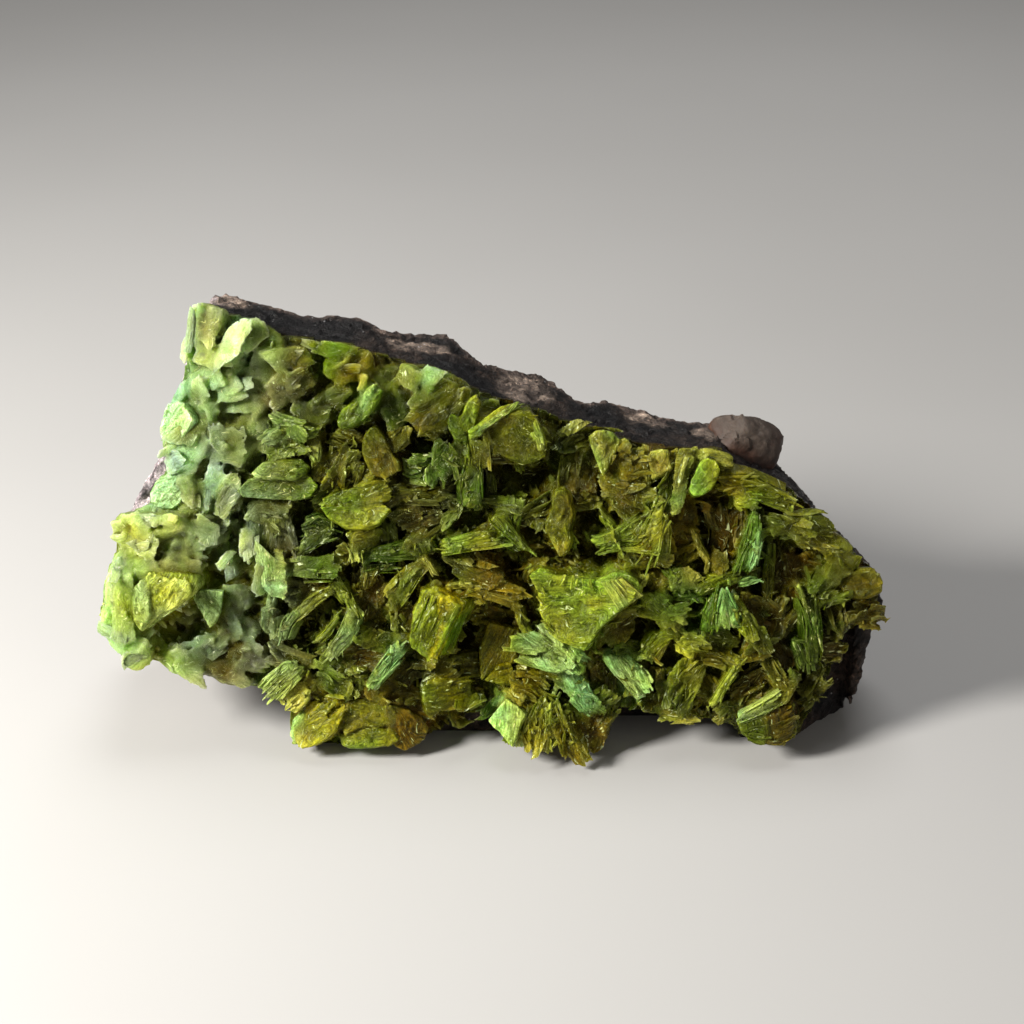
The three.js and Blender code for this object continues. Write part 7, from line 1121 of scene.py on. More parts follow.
def ribbon(bag, wa, wb, n, d, k, cls, a, b, rng, fine):
    """A striated book seen on its side: one body with a ridge for each sheet between the guide curves a and b,
    and a few sheets that stand free of it."""
    m = 20
    n = int(np.clip(round(n * 1.15), 3, 16))
    base = class_tint(cls, k, rng, 0.06)
    prof = ((0.0, -1.0), (0.30, 0.2), (0.62, 0.35))
    lvl = rng.normal(0, 0.022, n)
    tn = 1 + rng.normal(0, 0.11, n)
    rm = np.clip(rng.normal(0.3, 0.35, n), 0, 1)
    t0 = np.clip(np.abs(rng.normal(0.0, 0.07, n)), 0, 0.2)
    t1 = 1 - np.abs(rng.normal(0, 0.11, n))
    dep = d * rng.uniform(0.85, 1.1)
    cuts = np.concatenate(([0], np.cumsum(rng.uniform(0.35, 1.8, n))))
    cuts /= cuts[-1]
    lines = []
    for i in range(n):
        g = rng.uniform(0.2, 1.0)
        for q, h in prof:
            # points in the grooves between sheets are painted darker (by 0.12 g) as shade
            lines.append((i, cuts[i] + (cuts[i + 1] - cuts[i]) * q, lvl[i] + (0.026 * h if h > 0 else -0.012 * g + 0.5 * (lvl[max(i - 1, 0)] - lvl[i])),
                          tn[i] * (1.0 if h > 0 else 1 - 0.12 * g), rm[i] if h > 0.3 else 0.0))
    lines.append((n - 1, 1.0, lvl[n - 1] - 0.06, tn[n - 1] * 0.8, 0.3))
    K = len(lines)
    A0, B0 = np.asarray(a, float), np.asarray(b, float)
    wav = 0.035 * rng.normal(0, 1, 4)
    grid = np.zeros((K, m, 3))
    tint = np.zeros((K, m, 3))
    bow = rng.uniform(0.02, 0.12)
    for r, (i, s, h, tt, rr) in enumerate(lines):
        t = np.linspace(t0[i], t1[i], m)
        t = np.clip(t, 0, 1.0)
        c = along_curve(A0, t) * (1 - s) + along_curve(B0, t) * s
        ends = np.minimum(1, np.minimum((np.arange(m)) / 1.6, (m - 1 - np.arange(m)) / 1.6))
        w = wa * (1 - s) + wb * s + h * ends + bow * (4 * s * (1 - s)) - 0.16 * (1 - ends)
        w = w + np.interp(t, np.linspace(0, 1, 4), wav) + 0.015 * np.interp(t, np.linspace(0, 1, 7), rng.normal(0, 1, 7))
        grid[r, :, :2] = c
        grid[r, :, 2] = w
        tint[r] = base * tt * (1 + 0.10 * np.interp(t, np.linspace(0, 1, 6), rng.normal(0, 1, 6)))[:, None]
    low = grid.copy()
    mid = grid.reshape(-1, 3).mean(0)
    low[:, :, :2] = mid[:2] + (low[:, :, :2] - mid[:2]) * 0.93
    low[:, :, 2] -= dep
    vv = np.concatenate((grid.reshape(-1, 3), low.reshape(-1, 3)))
    N = K * m
    r, c = np.meshgrid(np.arange(K - 1), np.arange(m - 1), indexing="ij")
    i00 = (r * m + c).ravel()
    i01, i10, i11 = i00 + 1, i00 + m, i00 + m + 1
    top = np.concatenate((np.stack((i00, i01, i11), 1), np.stack((i00, i11, i10), 1)))
    edge = np.concatenate((np.arange(m), np.arange(1, K) * m + m - 1, (K - 1) * m + np.arange(m - 2, -1, -1), np.arange(K - 2, 0, -1) * m))
    nx = np.roll(edge, -1)
    side = np.concatenate((np.stack((edge, edge + N, nx + N), 1), np.stack((edge, nx + N, nx), 1)))
    f = np.concatenate((top, top[:, ::-1] + N, side))
    v = to_world(vv)
    a0, b0, c0 = v[top[:, 0]], v[top[:, 1]], v[top[:, 2]]
    if (np.cross(b0 - a0, c0 - a0) @ EW).sum() < 0:
        f = np.concatenate((top[:, ::-1], top + N, side))
    # the walls face out of the body
    ea, eb, ec = v[side[:, 0]], v[side[:, 1]], v[side[:, 2]]
    if (np.cross(eb - ea, ec - ea) * (ea - v.mean(0))).sum() < 0:
        f[2 * len(top):] = f[2 * len(top):, ::-1]
    # the lower copy of the sheet tops is painted darker (0.7) as shade
    tt = np.concatenate((tint.reshape(-1, 3), tint.reshape(-1, 3) * 0.7))
    dr0 = A0[-1] - A0[0]
    bag.add(v, f, tt, dr0[0] * EU + dr0[1] * EV)
    # free sheets
    for s in np.concatenate(([rng.uniform(-0.10, 0.0), rng.uniform(1.0, 1.10)], rng.uniform(0.05, 0.95, max(2, n // 3)))):
        u0, u1 = rng.uniform(0, 0.25), rng.uniform(0.7, 1.0)
        t = np.linspace(u0, u1, 12)
        c = along_curve(A0, t) * (1 - s) + along_curve(B0, t) * s
        tan = np.gradient(c, axis=0)
        tan /= np.maximum(np.linalg.norm(tan, axis=1), 1e-9)[:, None]
        ac = np.stack((-tan[:, 1], tan[:, 0]), 1)
        ends = np.minimum(1, np.minimum((t - u0) / 0.10 + 0.3, (u1 - t) / 0.15 + 0.1))
        w = wa * (1 - s) + wb * s + rng.uniform(-0.02, 0.12) - 0.12 * (1 - ends)
        sheet_strip(fine, c, w, dep * rng.uniform(0.5, 0.9), rng.uniform(0.015, 0.04) * ends, ac,
                    base * rng.uniform(0.85, 1.35), rng.uniform(0.2, 0.9), rng, rng.normal(0, 0.25))
    span = 0.5 * (np.linalg.norm(A0[0] - B0[0]) + np.linalg.norm(A0[-1] - B0[-1]))
    run = float(np.linalg.norm(np.diff((A0 + B0) / 2 if len(A0) == len(B0) else A0, axis=0), axis=1).sum())
    for _ in range(int(np.clip(n * 0.8, 3, 12))):
        s, tm = rng.uniform(-0.05, 1.05), rng.uniform(0.15, 0.85)
        tt3 = np.clip(np.array((tm - 0.1, tm, tm + 0.1)), 0, 1)
        c = along_curve(A0, tt3) * (1 - s) + along_curve(B0, tt3) * s
        dr = unit(c[2] - c[0])
        d1 = dr[0] * EU + dr[1] * EV + rng.normal(0.1, 0.15) * EW
        nn = EW + rng.normal(0, 0.5) * (-dr[1] * EU + dr[0] * EV)
        leaf(fine, to_world(np.array((c[1, 0], c[1, 1], wa * (1 - s) + wb * s + rng.uniform(0.0, 0.08)))), d1, nn, run * rng.uniform(0.3, 0.7),
             max(0.10, span * rng.uniform(0.08, 0.26)), rng.uniform(0.04, 0.08), base * rng.uniform(0.75, 1.45), rng, na=6, nb=4)


def unit(a):
    return a / max(float(np.linalg.norm(a)), 1e-9)


def leaf(bag, c, d1, en, L, W, T, tint, rng, kind="blade", under=0, na=7, nb=5):
    """A thin curved leaf of crystal: long way d1, face along en, thin at its edges, with cleavage ridges along it."""
    d1 = unit(d1 - (d1 @ en) * en)
    en = unit(en)
    d2 = np.cross(en, d1)
    s = np.linspace(0, 1, na)
    b = np.linspace(-1, 1, nb)
    S, B = np.meshgrid(s, b, indexing="ij")
    if kind == "blade":
        knots = (rng.uniform(0.5, 0.95), rng.uniform(0.8, 1.0), 1.0, rng.uniform(0.85, 1.1), rng.uniform(0.55, 1.1))
    else:
        knots = (rng.uniform(0.78, 1.0), rng.uniform(0.95, 1.0), 1.0, rng.uniform(0.92, 1.0), rng.uniform(0.70, 1.0))
    f = np.interp(s, (0, 0.22, rng.uniform(0.4, 0.65), 0.85, 1.0), knots)
    side = 1 + rng.normal(0, 0.035, (na, 2))
    side = np.where(B < 0, side[:, :1], side[:, 1:])
    y = B * f[:, None] * side * W / 2
    # the ends are broken off at a slant
    cut0, cut1 = rng.normal(0, 0.45, 2)
    jag = rng.normal(0, (0.16 if T < 0.08 else 0.10) if kind == "blade" else 0.06, (2, nb)) * min(W, 0.6 * L)
    x = (S - 0.5) * L + S ** 3 * (cut1 * B * W / 2 + jag[1]) + (1 - S) ** 3 * (cut0 * B * W / 2 + jag[0])
    bow = rng.random() < 0.22
    y = y + rng.normal(0, 0.20 if bow else 0.05) * L * (S - 0.5) ** 2 * 2
    curl = rng.normal(0.0, 0.14 if bow else 0.05) * L
    cup = rng.normal(0.0, 0.14 if bow else 0.05) * W
    twist = rng.normal(0, 0.18)
    rid = rng.normal(0, 0.013, nb) + 0.020 * (np.arange(nb) % 2)
    z = curl * (S - 0.5) ** 2 * 4 + cup * B ** 2 * 0.5 + twist * (S - 0.5) * y + rid[None] + rng.normal(0, 0.004, (na, nb))
    hs = np.minimum(1, 0.35 + 1.6 * np.minimum(S, 1 - S) * 2) * np.minimum(1, 0.35 + 1.3 * (1 - np.abs(B)))
    h = T / 2 * hs
    seed = float(rng.integers(1, 9000)) * 0.37
    grad = rng.uniform(-0.25, 0.35)
    for u in range(under + 1):
        ox, oy, oz = (0.0, 0.0, 0.0) if u == 0 else (rng.normal(0, 0.10) * L, rng.normal(0, 0.18) * W, -T * u * rng.uniform(0.7, 1.2))
        sc = 1.0 if u == 0 else rng.uniform(0.9, 1.15)
        P = c + ((x * sc + ox)[..., None] * d1 + (y * sc + oy)[..., None] * d2 + (z + oz)[..., None] * en)
        top = (P + h[..., None] * en).reshape(-1, 3)
        bot = (P - h[..., None] * en).reshape(-1, 3)
        n = na * nb
        r, q = np.meshgrid(np.arange(na - 1), np.arange(nb - 1), indexing="ij")
        a = (r * nb + q).ravel()
        if (u + int(seed)) % 2:
            ft = np.concatenate((np.stack((a, a + nb, a + nb + 1), 1), np.stack((a, a + nb + 1, a + 1), 1)))
        else:
            ft = np.concatenate((np.stack((a, a + nb, a + 1), 1), np.stack((a + 1, a + nb, a + nb + 1), 1)))
        edge = np.concatenate((np.arange(nb - 1), np.arange(na - 1) * nb + nb - 1, (na - 1) * nb + np.arange(nb - 1, 0, -1), np.arange(na - 1, 0, -1) * nb))
        nx = np.roll(edge, -1)
        sd = np.concatenate((np.stack((edge, nx, nx + n), 1), np.stack((edge, nx + n, edge + n), 1)))
        F = np.concatenate((ft, ft[:, ::-1] + n, sd))
        # the underside and the lower copies are painted darker as shade; the edges and the tip carry a painted
        # highlight
        shade = (1 + grad * (S - 0.5) * 2 + 0.13 * rng.normal(0, 1, nb)[None] + 0.05 * rng.normal(0, 1, (na, nb))) * (1.0 if u == 0 else rng.uniform(0.6, 1.0))
        colt = np.asarray(tint) * np.clip(shade, 0.4, 1.8).reshape(-1, 1)
        highlight_weight = np.maximum(smoothstep(0.6, 1.0, np.abs(B)) * 0.8, smoothstep(0.8, 1.0, S * 2 - 1)).reshape(-1) * rng.uniform(0.3, 1.0)
        bag.add(np.concatenate((top, bot)), F, np.concatenate((colt, colt * 0.8)), d1, np.concatenate((highlight_weight, highlight_weight)))


def pillow(bag, outline, centre, ex, ey, en, thick, tint, rng, phi):
    """A frosted lump with rounded shoulders and a few soft facets."""
    q = resample(outline, 0.22, rng, 0.03, 0.25)
    n = len(q)
    mid = q.mean(0)
    size = math.sqrt(max(abs(poly_area(q)), 1e-6))
    prof = ((1.02, -1.0), (1.20, -0.66), (1.20, -0.36), (1.12, -0.16), (0.99, -0.05), (0.78, 0.0), (0.52, 0.02), (0.26, 0.02))
    dome = rng.uniform(0.02, 0.08) * size
    xy = np.concatenate([mid + (q - mid) * s for s, _ in prof] + [mid[None]])
    z = np.concatenate([np.full(n, zz * thick) + dome * (1 - s * s) for s, zz in prof] + [[dome + 0.02]])
    seed = int(rng.integers(1, 9999))
    p3 = np.column_stack((xy, z * 0.5 + seed))
    off, gx, cid, edge = cells(p3, 1.1 / max(size, 0.7) * 1.6, seed)
    fac = (off[:, :2] * gx[:, :2]).sum(1)
    up = smoothstep(-0.6, -0.1, z / thick)
    z = z + up * (0.30 * fac + 0.07 * (cid - 0.5)) + 0.02 * noise3(p3, 3.0, seed + 1)
    side = ring_faces(n, len(prof))
    i = np.arange(n)
    j = (i + 1) % n
    top = np.stack(((len(prof) - 1) * n + i, (len(prof) - 1) * n + j, np.full(n, len(xy) - 1)), 1)
    bot = cap_faces(q, np.zeros((0, 2)))
    if bot is None:
        bot = np.stack((np.zeros(n - 2, int), np.arange(1, n - 1), np.arange(2, n)), 1)
    v = centre + xy[:, :1] * ex + xy[:, 1:] * ey + z[:, None] * en
    f = np.concatenate((side[:, ::-1], top, bot[:, ::-1]))
    th = rng.random() * 2 * math.pi
    g = ((xy - mid) @ np.array((math.cos(th), math.sin(th)))) / size
    cool = smoothstep(-0.6, 0.6, g)[:, None]
    col = np.asarray(tint) * (1 + 0.25 * fbm(p3, 1.2, 2, seed + 3)[:, None]) * np.where(cool > 0.5, 1.0, 1.0)
    col = col * (1 - cool) * np.array((1.05, 0.97, 0.8)) + col * cool * np.array((0.95, 1.04, 1.3))
    bag.add(v, f, col, math.cos(phi) * ex + math.sin(phi) * ey)
# ------------------------------------------------------------------ ground cover by place
# face millimetres: u, v, reach, blade share, size, {class: weight}, brightness
ZONES = [
    (-14.0, 21.5, 3.0, 0.10, 0.50, {"mint": 3, "lime": 2, "pale": 1, "yellow": 1}, 1.00),
    (-16.0, 16.0, 3.0, 0.15, 0.50, {"mint": 3, "lime": 2, "yellow": 1}, 1.00),
    (-12.5, 14.5, 3.0, 0.35, 0.45, {"lime": 2, "olive": 2, "pale": 1, "yellow": 1}, 0.85),
    (-18.5, 9.0, 3.2, 0.10, 0.55, {"yellow": 3, "lime": 2, "mint": 1}, 1.00),
    (-20.0, 7.0, 1.6, 0.10, 0.50, {"mint": 3, "lime": 1}, 1.10),
    (-14.5, 7.5, 3.0, 0.35, 0.42, {"ochre": 2, "olive": 2, "green": 1}, 0.8),
    (-8.5, 17.0, 3.2, 0.50, 0.42, {"green": 3, "teal": 2, "olive": 1}, 0.75),
    (-5.0, 18.0, 2.6, 0.25, 0.50, {"olive": 3, "lime": 2, "green": 1}, 0.85),
    (-9.5, 11.0, 3.4, 0.65, 0.42, {"green": 3, "olive": 2, "pale": 1, "lime": 1}, 0.75),
    (-8.0, 7.0, 3.2, 0.75, 0.42, {"green": 3, "olive": 2, "pale": 1}, 0.75),
    (-3.5, 13.0, 3.2, 0.50, 0.45, {"green": 2, "olive": 3, "lime": 1}, 0.75),
    (-3.0, 8.0, 3.0, 0.55, 0.45, {"olive": 3, "green": 2, "ochre": 1, "lime": 1}, 0.75),
    (-7.5, 2.2, 3.2, 0.15, 0.50, {"yellow": 3, "lime": 2, "ochre": 1}, 0.95),
    (-2.5, 3.5, 2.6, 0.25, 0.50, {"olive": 2, "ochre": 2, "yellow": 1}, 0.75),
    (0.5, 15.5, 2.6, 0.35, 0.45, {"olive": 3, "lime": 2, "ochre": 1}, 0.8),
    (2.5, 10.5, 3.0, 0.55, 0.42, {"olive": 2, "green": 2, "ochre": 2}, 0.55),
    (2.5, 5.0, 2.6, 0.45, 0.42, {"green": 2, "olive": 2, "lime": 1}, 0.6),
    (4.5, 2.0, 2.6, 0.20, 0.45, {"lime": 3, "yellow": 1, "green": 1}, 0.85),
    (7.0, 13.0, 3.0, 0.50, 0.42, {"olive": 3, "lime": 2, "ochre": 1}, 0.75),
    (8.0, 7.0, 3.0, 0.60, 0.42, {"green": 2, "olive": 2, "teal": 1}, 0.65),
    (10.0, 4.0, 3.0, 0.50, 0.42, {"green": 3, "olive": 2, "teal": 1}, 0.65),
    (12.0, 13.0, 3.0, 0.45, 0.42, {"yellow": 2, "olive": 3, "ochre": 1}, 0.75),
    (13.5, 8.0, 3.0, 0.60, 0.42, {"teal": 2, "green": 2, "olive": 2}, 0.65),
    (15.5, 4.0, 3.0, 0.60, 0.42, {"green": 3, "teal": 1, "olive": 1}, 0.55),
    (18.0, 9.5, 3.0, 0.50, 0.42, {"olive": 2, "yellow": 2, "green": 1}, 0.7),
    (20.0, 7.0, 2.5, 0.30, 0.45, {"olive": 2, "green": 2, "lime": 1}, 0.75),
]
ZC = np.array([(z[0], z[1], z[2]) for z in ZONES])

# ------------------------------------------------------------------ levels of the crust
OUT = ccw(np.array(OUTLINE))
GRID = 0.15
U0, V0 = OUT.min(0) - 0.6
U1, V1 = OUT.max(0) + 0.6
NU, NV = int((U1 - U0) / GRID) + 1, int((V1 - V0) / GRID) + 1
gu, gv = np.meshgrid(U0 + GRID * np.arange(NU), V0 + GRID * np.arange(NV), indexing="ij")
gu_all, gv_all = gu, gv
G2 = np.stack((gu.ravel(), gv.ravel()), 1)
G3 = np.column_stack((G2, np.zeros(len(G2))))
SD_OUT = poly_sd(G2, OUT)


def rear_level(sd):
    return -CRUST_EDGE - (CRUST_DEEP - CRUST_EDGE) * smoothstep(0, CRUST_RIM, sd)


def plate_plane(rec, q):
    name, cls, w, nu, nv, t, k, pts = rec
    c = np.mean(np.array(pts), 0)
    return np.clip(w - nu * (q[:, 0] - c[0]) - nv * (q[:, 1] - c[1]), w - 2.2, w + 2.2)


def near_points(pts, reach):
    lo, hi = pts.min(0) - reach, pts.max(0) + reach
    return np.where((G2[:, 0] > lo[0]) & (G2[:, 0] < hi[0]) & (G2[:, 1] > lo[1]) & (G2[:, 1] < hi[1]))[0]


rear = rear_level(SD_OUT)
base = np.full(len(G2), CRUST_LEVEL) + 0.16 * fbm(G3, 0.9, 3, 11)
for hu, hv, ru, rv, dep in HOLLOWS:
    r = np.hypot((G2[:, 0] - hu) / (ru * 1.08), (G2[:, 1] - hv) / (rv * 1.08))
    base = np.minimum(base, CRUST_LEVEL - dep * (1 - smoothstep(0.5, 1.2, r)))
crown = np.full(len(G2), -9.0)       # top level of the drawn crystals
single = np.zeros(len(G2))           # ground covered by the large single crystals
support = np.full(len(G2), -9.0)     # what stands under them
field = np.zeros((len(G2), 3))       # colour of the drawn crystals, blended across their borders
field_w = np.zeros(len(G2))
for rec in PLATES:
    pts = np.array(rec[7])
    sel = near_points(pts, 1.1)
    if not len(sel):
        continue
    sd = poly_sd(G2[sel], pts)
    pl = plate_plane(rec, G2[sel])
    single[sel] = np.where((sd > -0.08) & (pl > crown[sel] - 0.1), 1.0 if rec[0] else 0.0, single[sel])
    crown[sel] = np.maximum(crown[sel], np.where(sd > -0.05, pl, -9))
    soft = 1.0 if rec[0] else (0.5 if np.mean(pts[:, 0]) < -9.5 else 0.8)
    foot = pl - (0.3 if rec[0] else (0.04 if np.mean(pts[:, 0]) < -9.5 else 0.16)) - soft * 1.5 * (1 - smoothstep(-0.35, 0.30, sd)) - np.maximum(0, -0.3 - sd) * 2.5
    support[sel] = np.maximum(support[sel], np.where(sd > -1.0, foot, -9))
    wgt = np.exp(-(np.maximum(-sd, 0) / 0.38) ** 2) * (0.3 + smoothstep(-0.3, 0.4, sd)) * np.exp(1.6 * pl)
    field[sel] += wgt[:, None] * np.array(CLASS[rec[1]]) * rec[6]
    field_w[sel] += wgt
for rec in RIBBONS:
    name, cls, wa, wb, n, d, k, a, b = rec
    pts = np.concatenate((np.array(a), np.array(b)[::-1]))
    sel = near_points(pts, 1.0)
    if not len(sel):
        continue
    sd = poly_sd(G2[sel], pts)
    wm = (wa + wb) / 2
    crown[sel] = np.maximum(crown[sel], np.where(sd > -0.05, wm, -9))
    foot = wm - 0.35 - 1.2 * (1 - smoothstep(-0.35, 0.25, sd)) - np.maximum(0, -0.3 - sd) * 2.5
    support[sel] = np.maximum(support[sel], np.where(sd > -0.9, foot, -9))
    wgt = np.exp(-(np.maximum(-sd, 0) / 0.38) ** 2) * (0.3 + smoothstep(-0.3, 0.4, sd)) * np.exp(1.6 * wm)
    field[sel] += wgt[:, None] * np.array(CLASS[cls]) * k
    field_w[sel] += wgt
zone_c = np.zeros((len(G2), 3))
zone_w = np.zeros(len(G2))
for zu, zv, zr, zb, zs, zmix, zk in ZONES:
    wgt = np.exp(-2.2 * ((G2[:, 0] - zu) ** 2 + (G2[:, 1] - zv) ** 2) / zr ** 2) + 1e-9
    zc = sum(np.array(CLASS[c]) * m for c, m in zmix.items()) / sum(zmix.values()) * zk
    zone_c += wgt[:, None] * zc
    zone_w += wgt
zone_c /= zone_w[:, None]
field = (field + 0.10 * zone_c) / (field_w + 0.10)[:, None]
base = np.maximum(base, support)
base = np.maximum(base, rear + 0.35)
base = np.minimum(base, 0.25 + 0.4 * np.maximum(SD_OUT, -0.2))
bite = smoothstep(1.3, 0.1, SD_OUT) * smoothstep(-0.25, 0.35, fbm(G3, 1.1, 3, 15))
base = np.maximum(base - 1.1 * bite, rear + 0.30)
top_all = np.maximum(crown, base)


def blur(a, n):
    for _ in range(n):
        for ax in (0, 1):
            a = (np.roll(a, 1, ax) + a + np.roll(a, -1, ax)) / 3
    return a


BASE = base.reshape(NU, NV)
CROWN = crown.reshape(NU, NV)
SDO = SD_OUT.reshape(NU, NV)
SINGLE = single.reshape(NU, NV)
TOPS = blur(np.maximum(top_all, -3.0).reshape(NU, NV), 8)
FIELD = field.reshape(NU, NV, 3)


def look(grid, uv):
    uv = np.atleast_2d(uv)
    x = np.clip((uv[:, 0] - U0) / GRID, 0, NU - 1.001)
    y = np.clip((uv[:, 1] - V0) / GRID, 0, NV - 1.001)
    i, j = x.astype(int), y.astype(int)
    fx, fy = x - i, y - j
    if grid.ndim == 3:
        fx, fy = fx[:, None], fy[:, None]
    return (grid[i, j] * (1 - fx) * (1 - fy) + grid[i + 1, j] * fx * (1 - fy)
            + grid[i, j + 1] * (1 - fx) * fy + grid[i + 1, j + 1] * fx * fy)


def shade_by_place(v, col, share):
    """Crystals grown together share colour across their borders; with depth they are painted darker and amber as shade,
    and what stands proud gets a painted highlight.
    """
    q = to_face(v)
    uv = q[:, :2]
    f = np.maximum(look(FIELD, uv), 1e-4)
    col = np.maximum(col, 1e-4) ** (1 - share) * f ** share
    q3 = np.column_stack((uv, q[:, 2]))
    warm = fbm(q3, 0.55, 2, 301)[:, None] * (1 - 0.5 * smoothstep(-9.0, -13.0, uv[:, :1]))
    col = col * np.where(warm > 0, (1 + 0.45 * warm) ** np.array((1.0, 0.25, -1.0)), (1 - 0.5 * warm) ** np.array((-1.0, 0.25, 1.2)))
    # the crust darkens along its upper middle and its lower right, and bluish tones stay at the left end
    u, w_ = uv[:, 0], uv[:, 1]
    tone = 0.715 * (1 - 0.42 * np.exp(-((u + 2.0) / 7.5) ** 2 - ((w_ - 15.5) / 4.0) ** 2)) * (1 - 0.28 * np.exp(-((u - 18.0) / 5.0) ** 2 - ((w_ - 5.0) / 5.0) ** 2))
    tone = tone * (1 - 0.24 * np.exp(-((u + 9.5) / 4.0) ** 2 - ((w_ - 6.5) / 4.5) ** 2)) * (1 + 0.26 * np.exp(-((u - 11.0) / 4.0) ** 2 - ((w_ - 6.0) / 5.0) ** 2))
    col = col * tone[:, None]
    right = smoothstep(-14.0, -10.5, u)[:, None]
    bright = smoothstep(0.10, 0.34, col.max(1))[:, None]
    col = col * np.concatenate((np.ones_like(bright), 0.80 + 0.11 * bright, 0.20 + 0.33 * bright), 1) ** right
    light = fbm(q3, 1.1, 2, 303)[:, None]
    col = col * (1 + 0.32 * light)
    # painted shade: below the smoothed tops the colour darkens and turns amber with depth
    depth = look(TOPS, uv) - q[:, 2]
    lf0 = smoothstep(-9.0, -13.0, u)[:, None]
    depth_shade = smoothstep(0.12, 1.35, depth)[:, None] * (1 - 0.45 * smoothstep(-9.0, -13.0, u)[:, None])
    col = col * (1 - 0.66 * depth_shade) * np.where(lf0 > 0.5, (1.35, 0.95, 0.5), (2.0, 0.76, 0.22)) ** depth_shade
    lf = smoothstep(-9.0, -13.0, u)[:, None]
    col = col * (1 + np.array((-0.07, 0.08, -0.05)) * lf)
    lum = (col @ np.array((0.25, 0.7, 0.05)))[:, None]
    blue = 0.25 + 0.37 * smoothstep(9.0, 13.0, w_)[:, None]
    low_left = lf * smoothstep(9.5, 7.5, w_)[:, None]
    col = col * np.array((1.06, 0.92, 0.32)) ** low_left
    col = col + (lum * np.concatenate((np.full_like(lum, 0.98), np.full_like(lum, 1.05), blue), 1) - col) * (0.10 + 0.10 * smoothstep(8.0, 14.0, w_)[:, None]) * lf
    # painted highlight on what stands above the smoothed tops, stronger and paler at the left end
    hi = smoothstep(-0.05, 0.50, -depth)[:, None]
    col = col * (1 + 0.38 * hi) + np.array((0.010, 0.022, 0.006)) * hi + np.array((0.11, 0.15, 0.11)) * hi * lf
    return np.clip(col, 0.0008, 0.9)


# ------------------------------------------------------------------ materials
def material(name):
    m = bpy.data.materials.new(name)
    m.use_nodes = True
    nt = m.node_tree
    nt.nodes.clear()
    out = nt.nodes.new("ShaderNodeOutputMaterial")
    bsdf = nt.nodes.new("ShaderNodeBsdfPrincipled")
    nt.links.new(bsdf.outputs[0], out.inputs["Surface"])
    return m, nt, bsdf, out


def node(nt, kind, **kw):
    n = nt.nodes.new(kind)
    for k, v in kw.items():
        if k == "inputs":
            for a, b in v.items():
                n.inputs[a].default_value = b
        else:
            setattr(n, k, v)
    return n


def mixc(nt, fac, a, b, mode="MIX"):
    n = nt.nodes.new("ShaderNodeMix")
    n.data_type = "RGBA"
    n.blend_type = mode
    n.clamp_result = False
    for sock, val in ((n.inputs[0], fac), (n.inputs[6], a), (n.inputs[7], b)):
        if isinstance(val, bpy.types.NodeSocket):
            nt.links.new(val, sock)
        else:
            sock.default_value = val if sock == n.inputs[0] else (*val, 1.0)
    return n.outputs[2]


def maprange(nt, val, a, b, c, d):
    n = nt.nodes.new("ShaderNodeMapRange")
    nt.links.new(val, n.inputs[0])
    for i, x in enumerate((a, b, c, d)):
        n.inputs[i + 1].default_value = x
    return n.outputs[0]


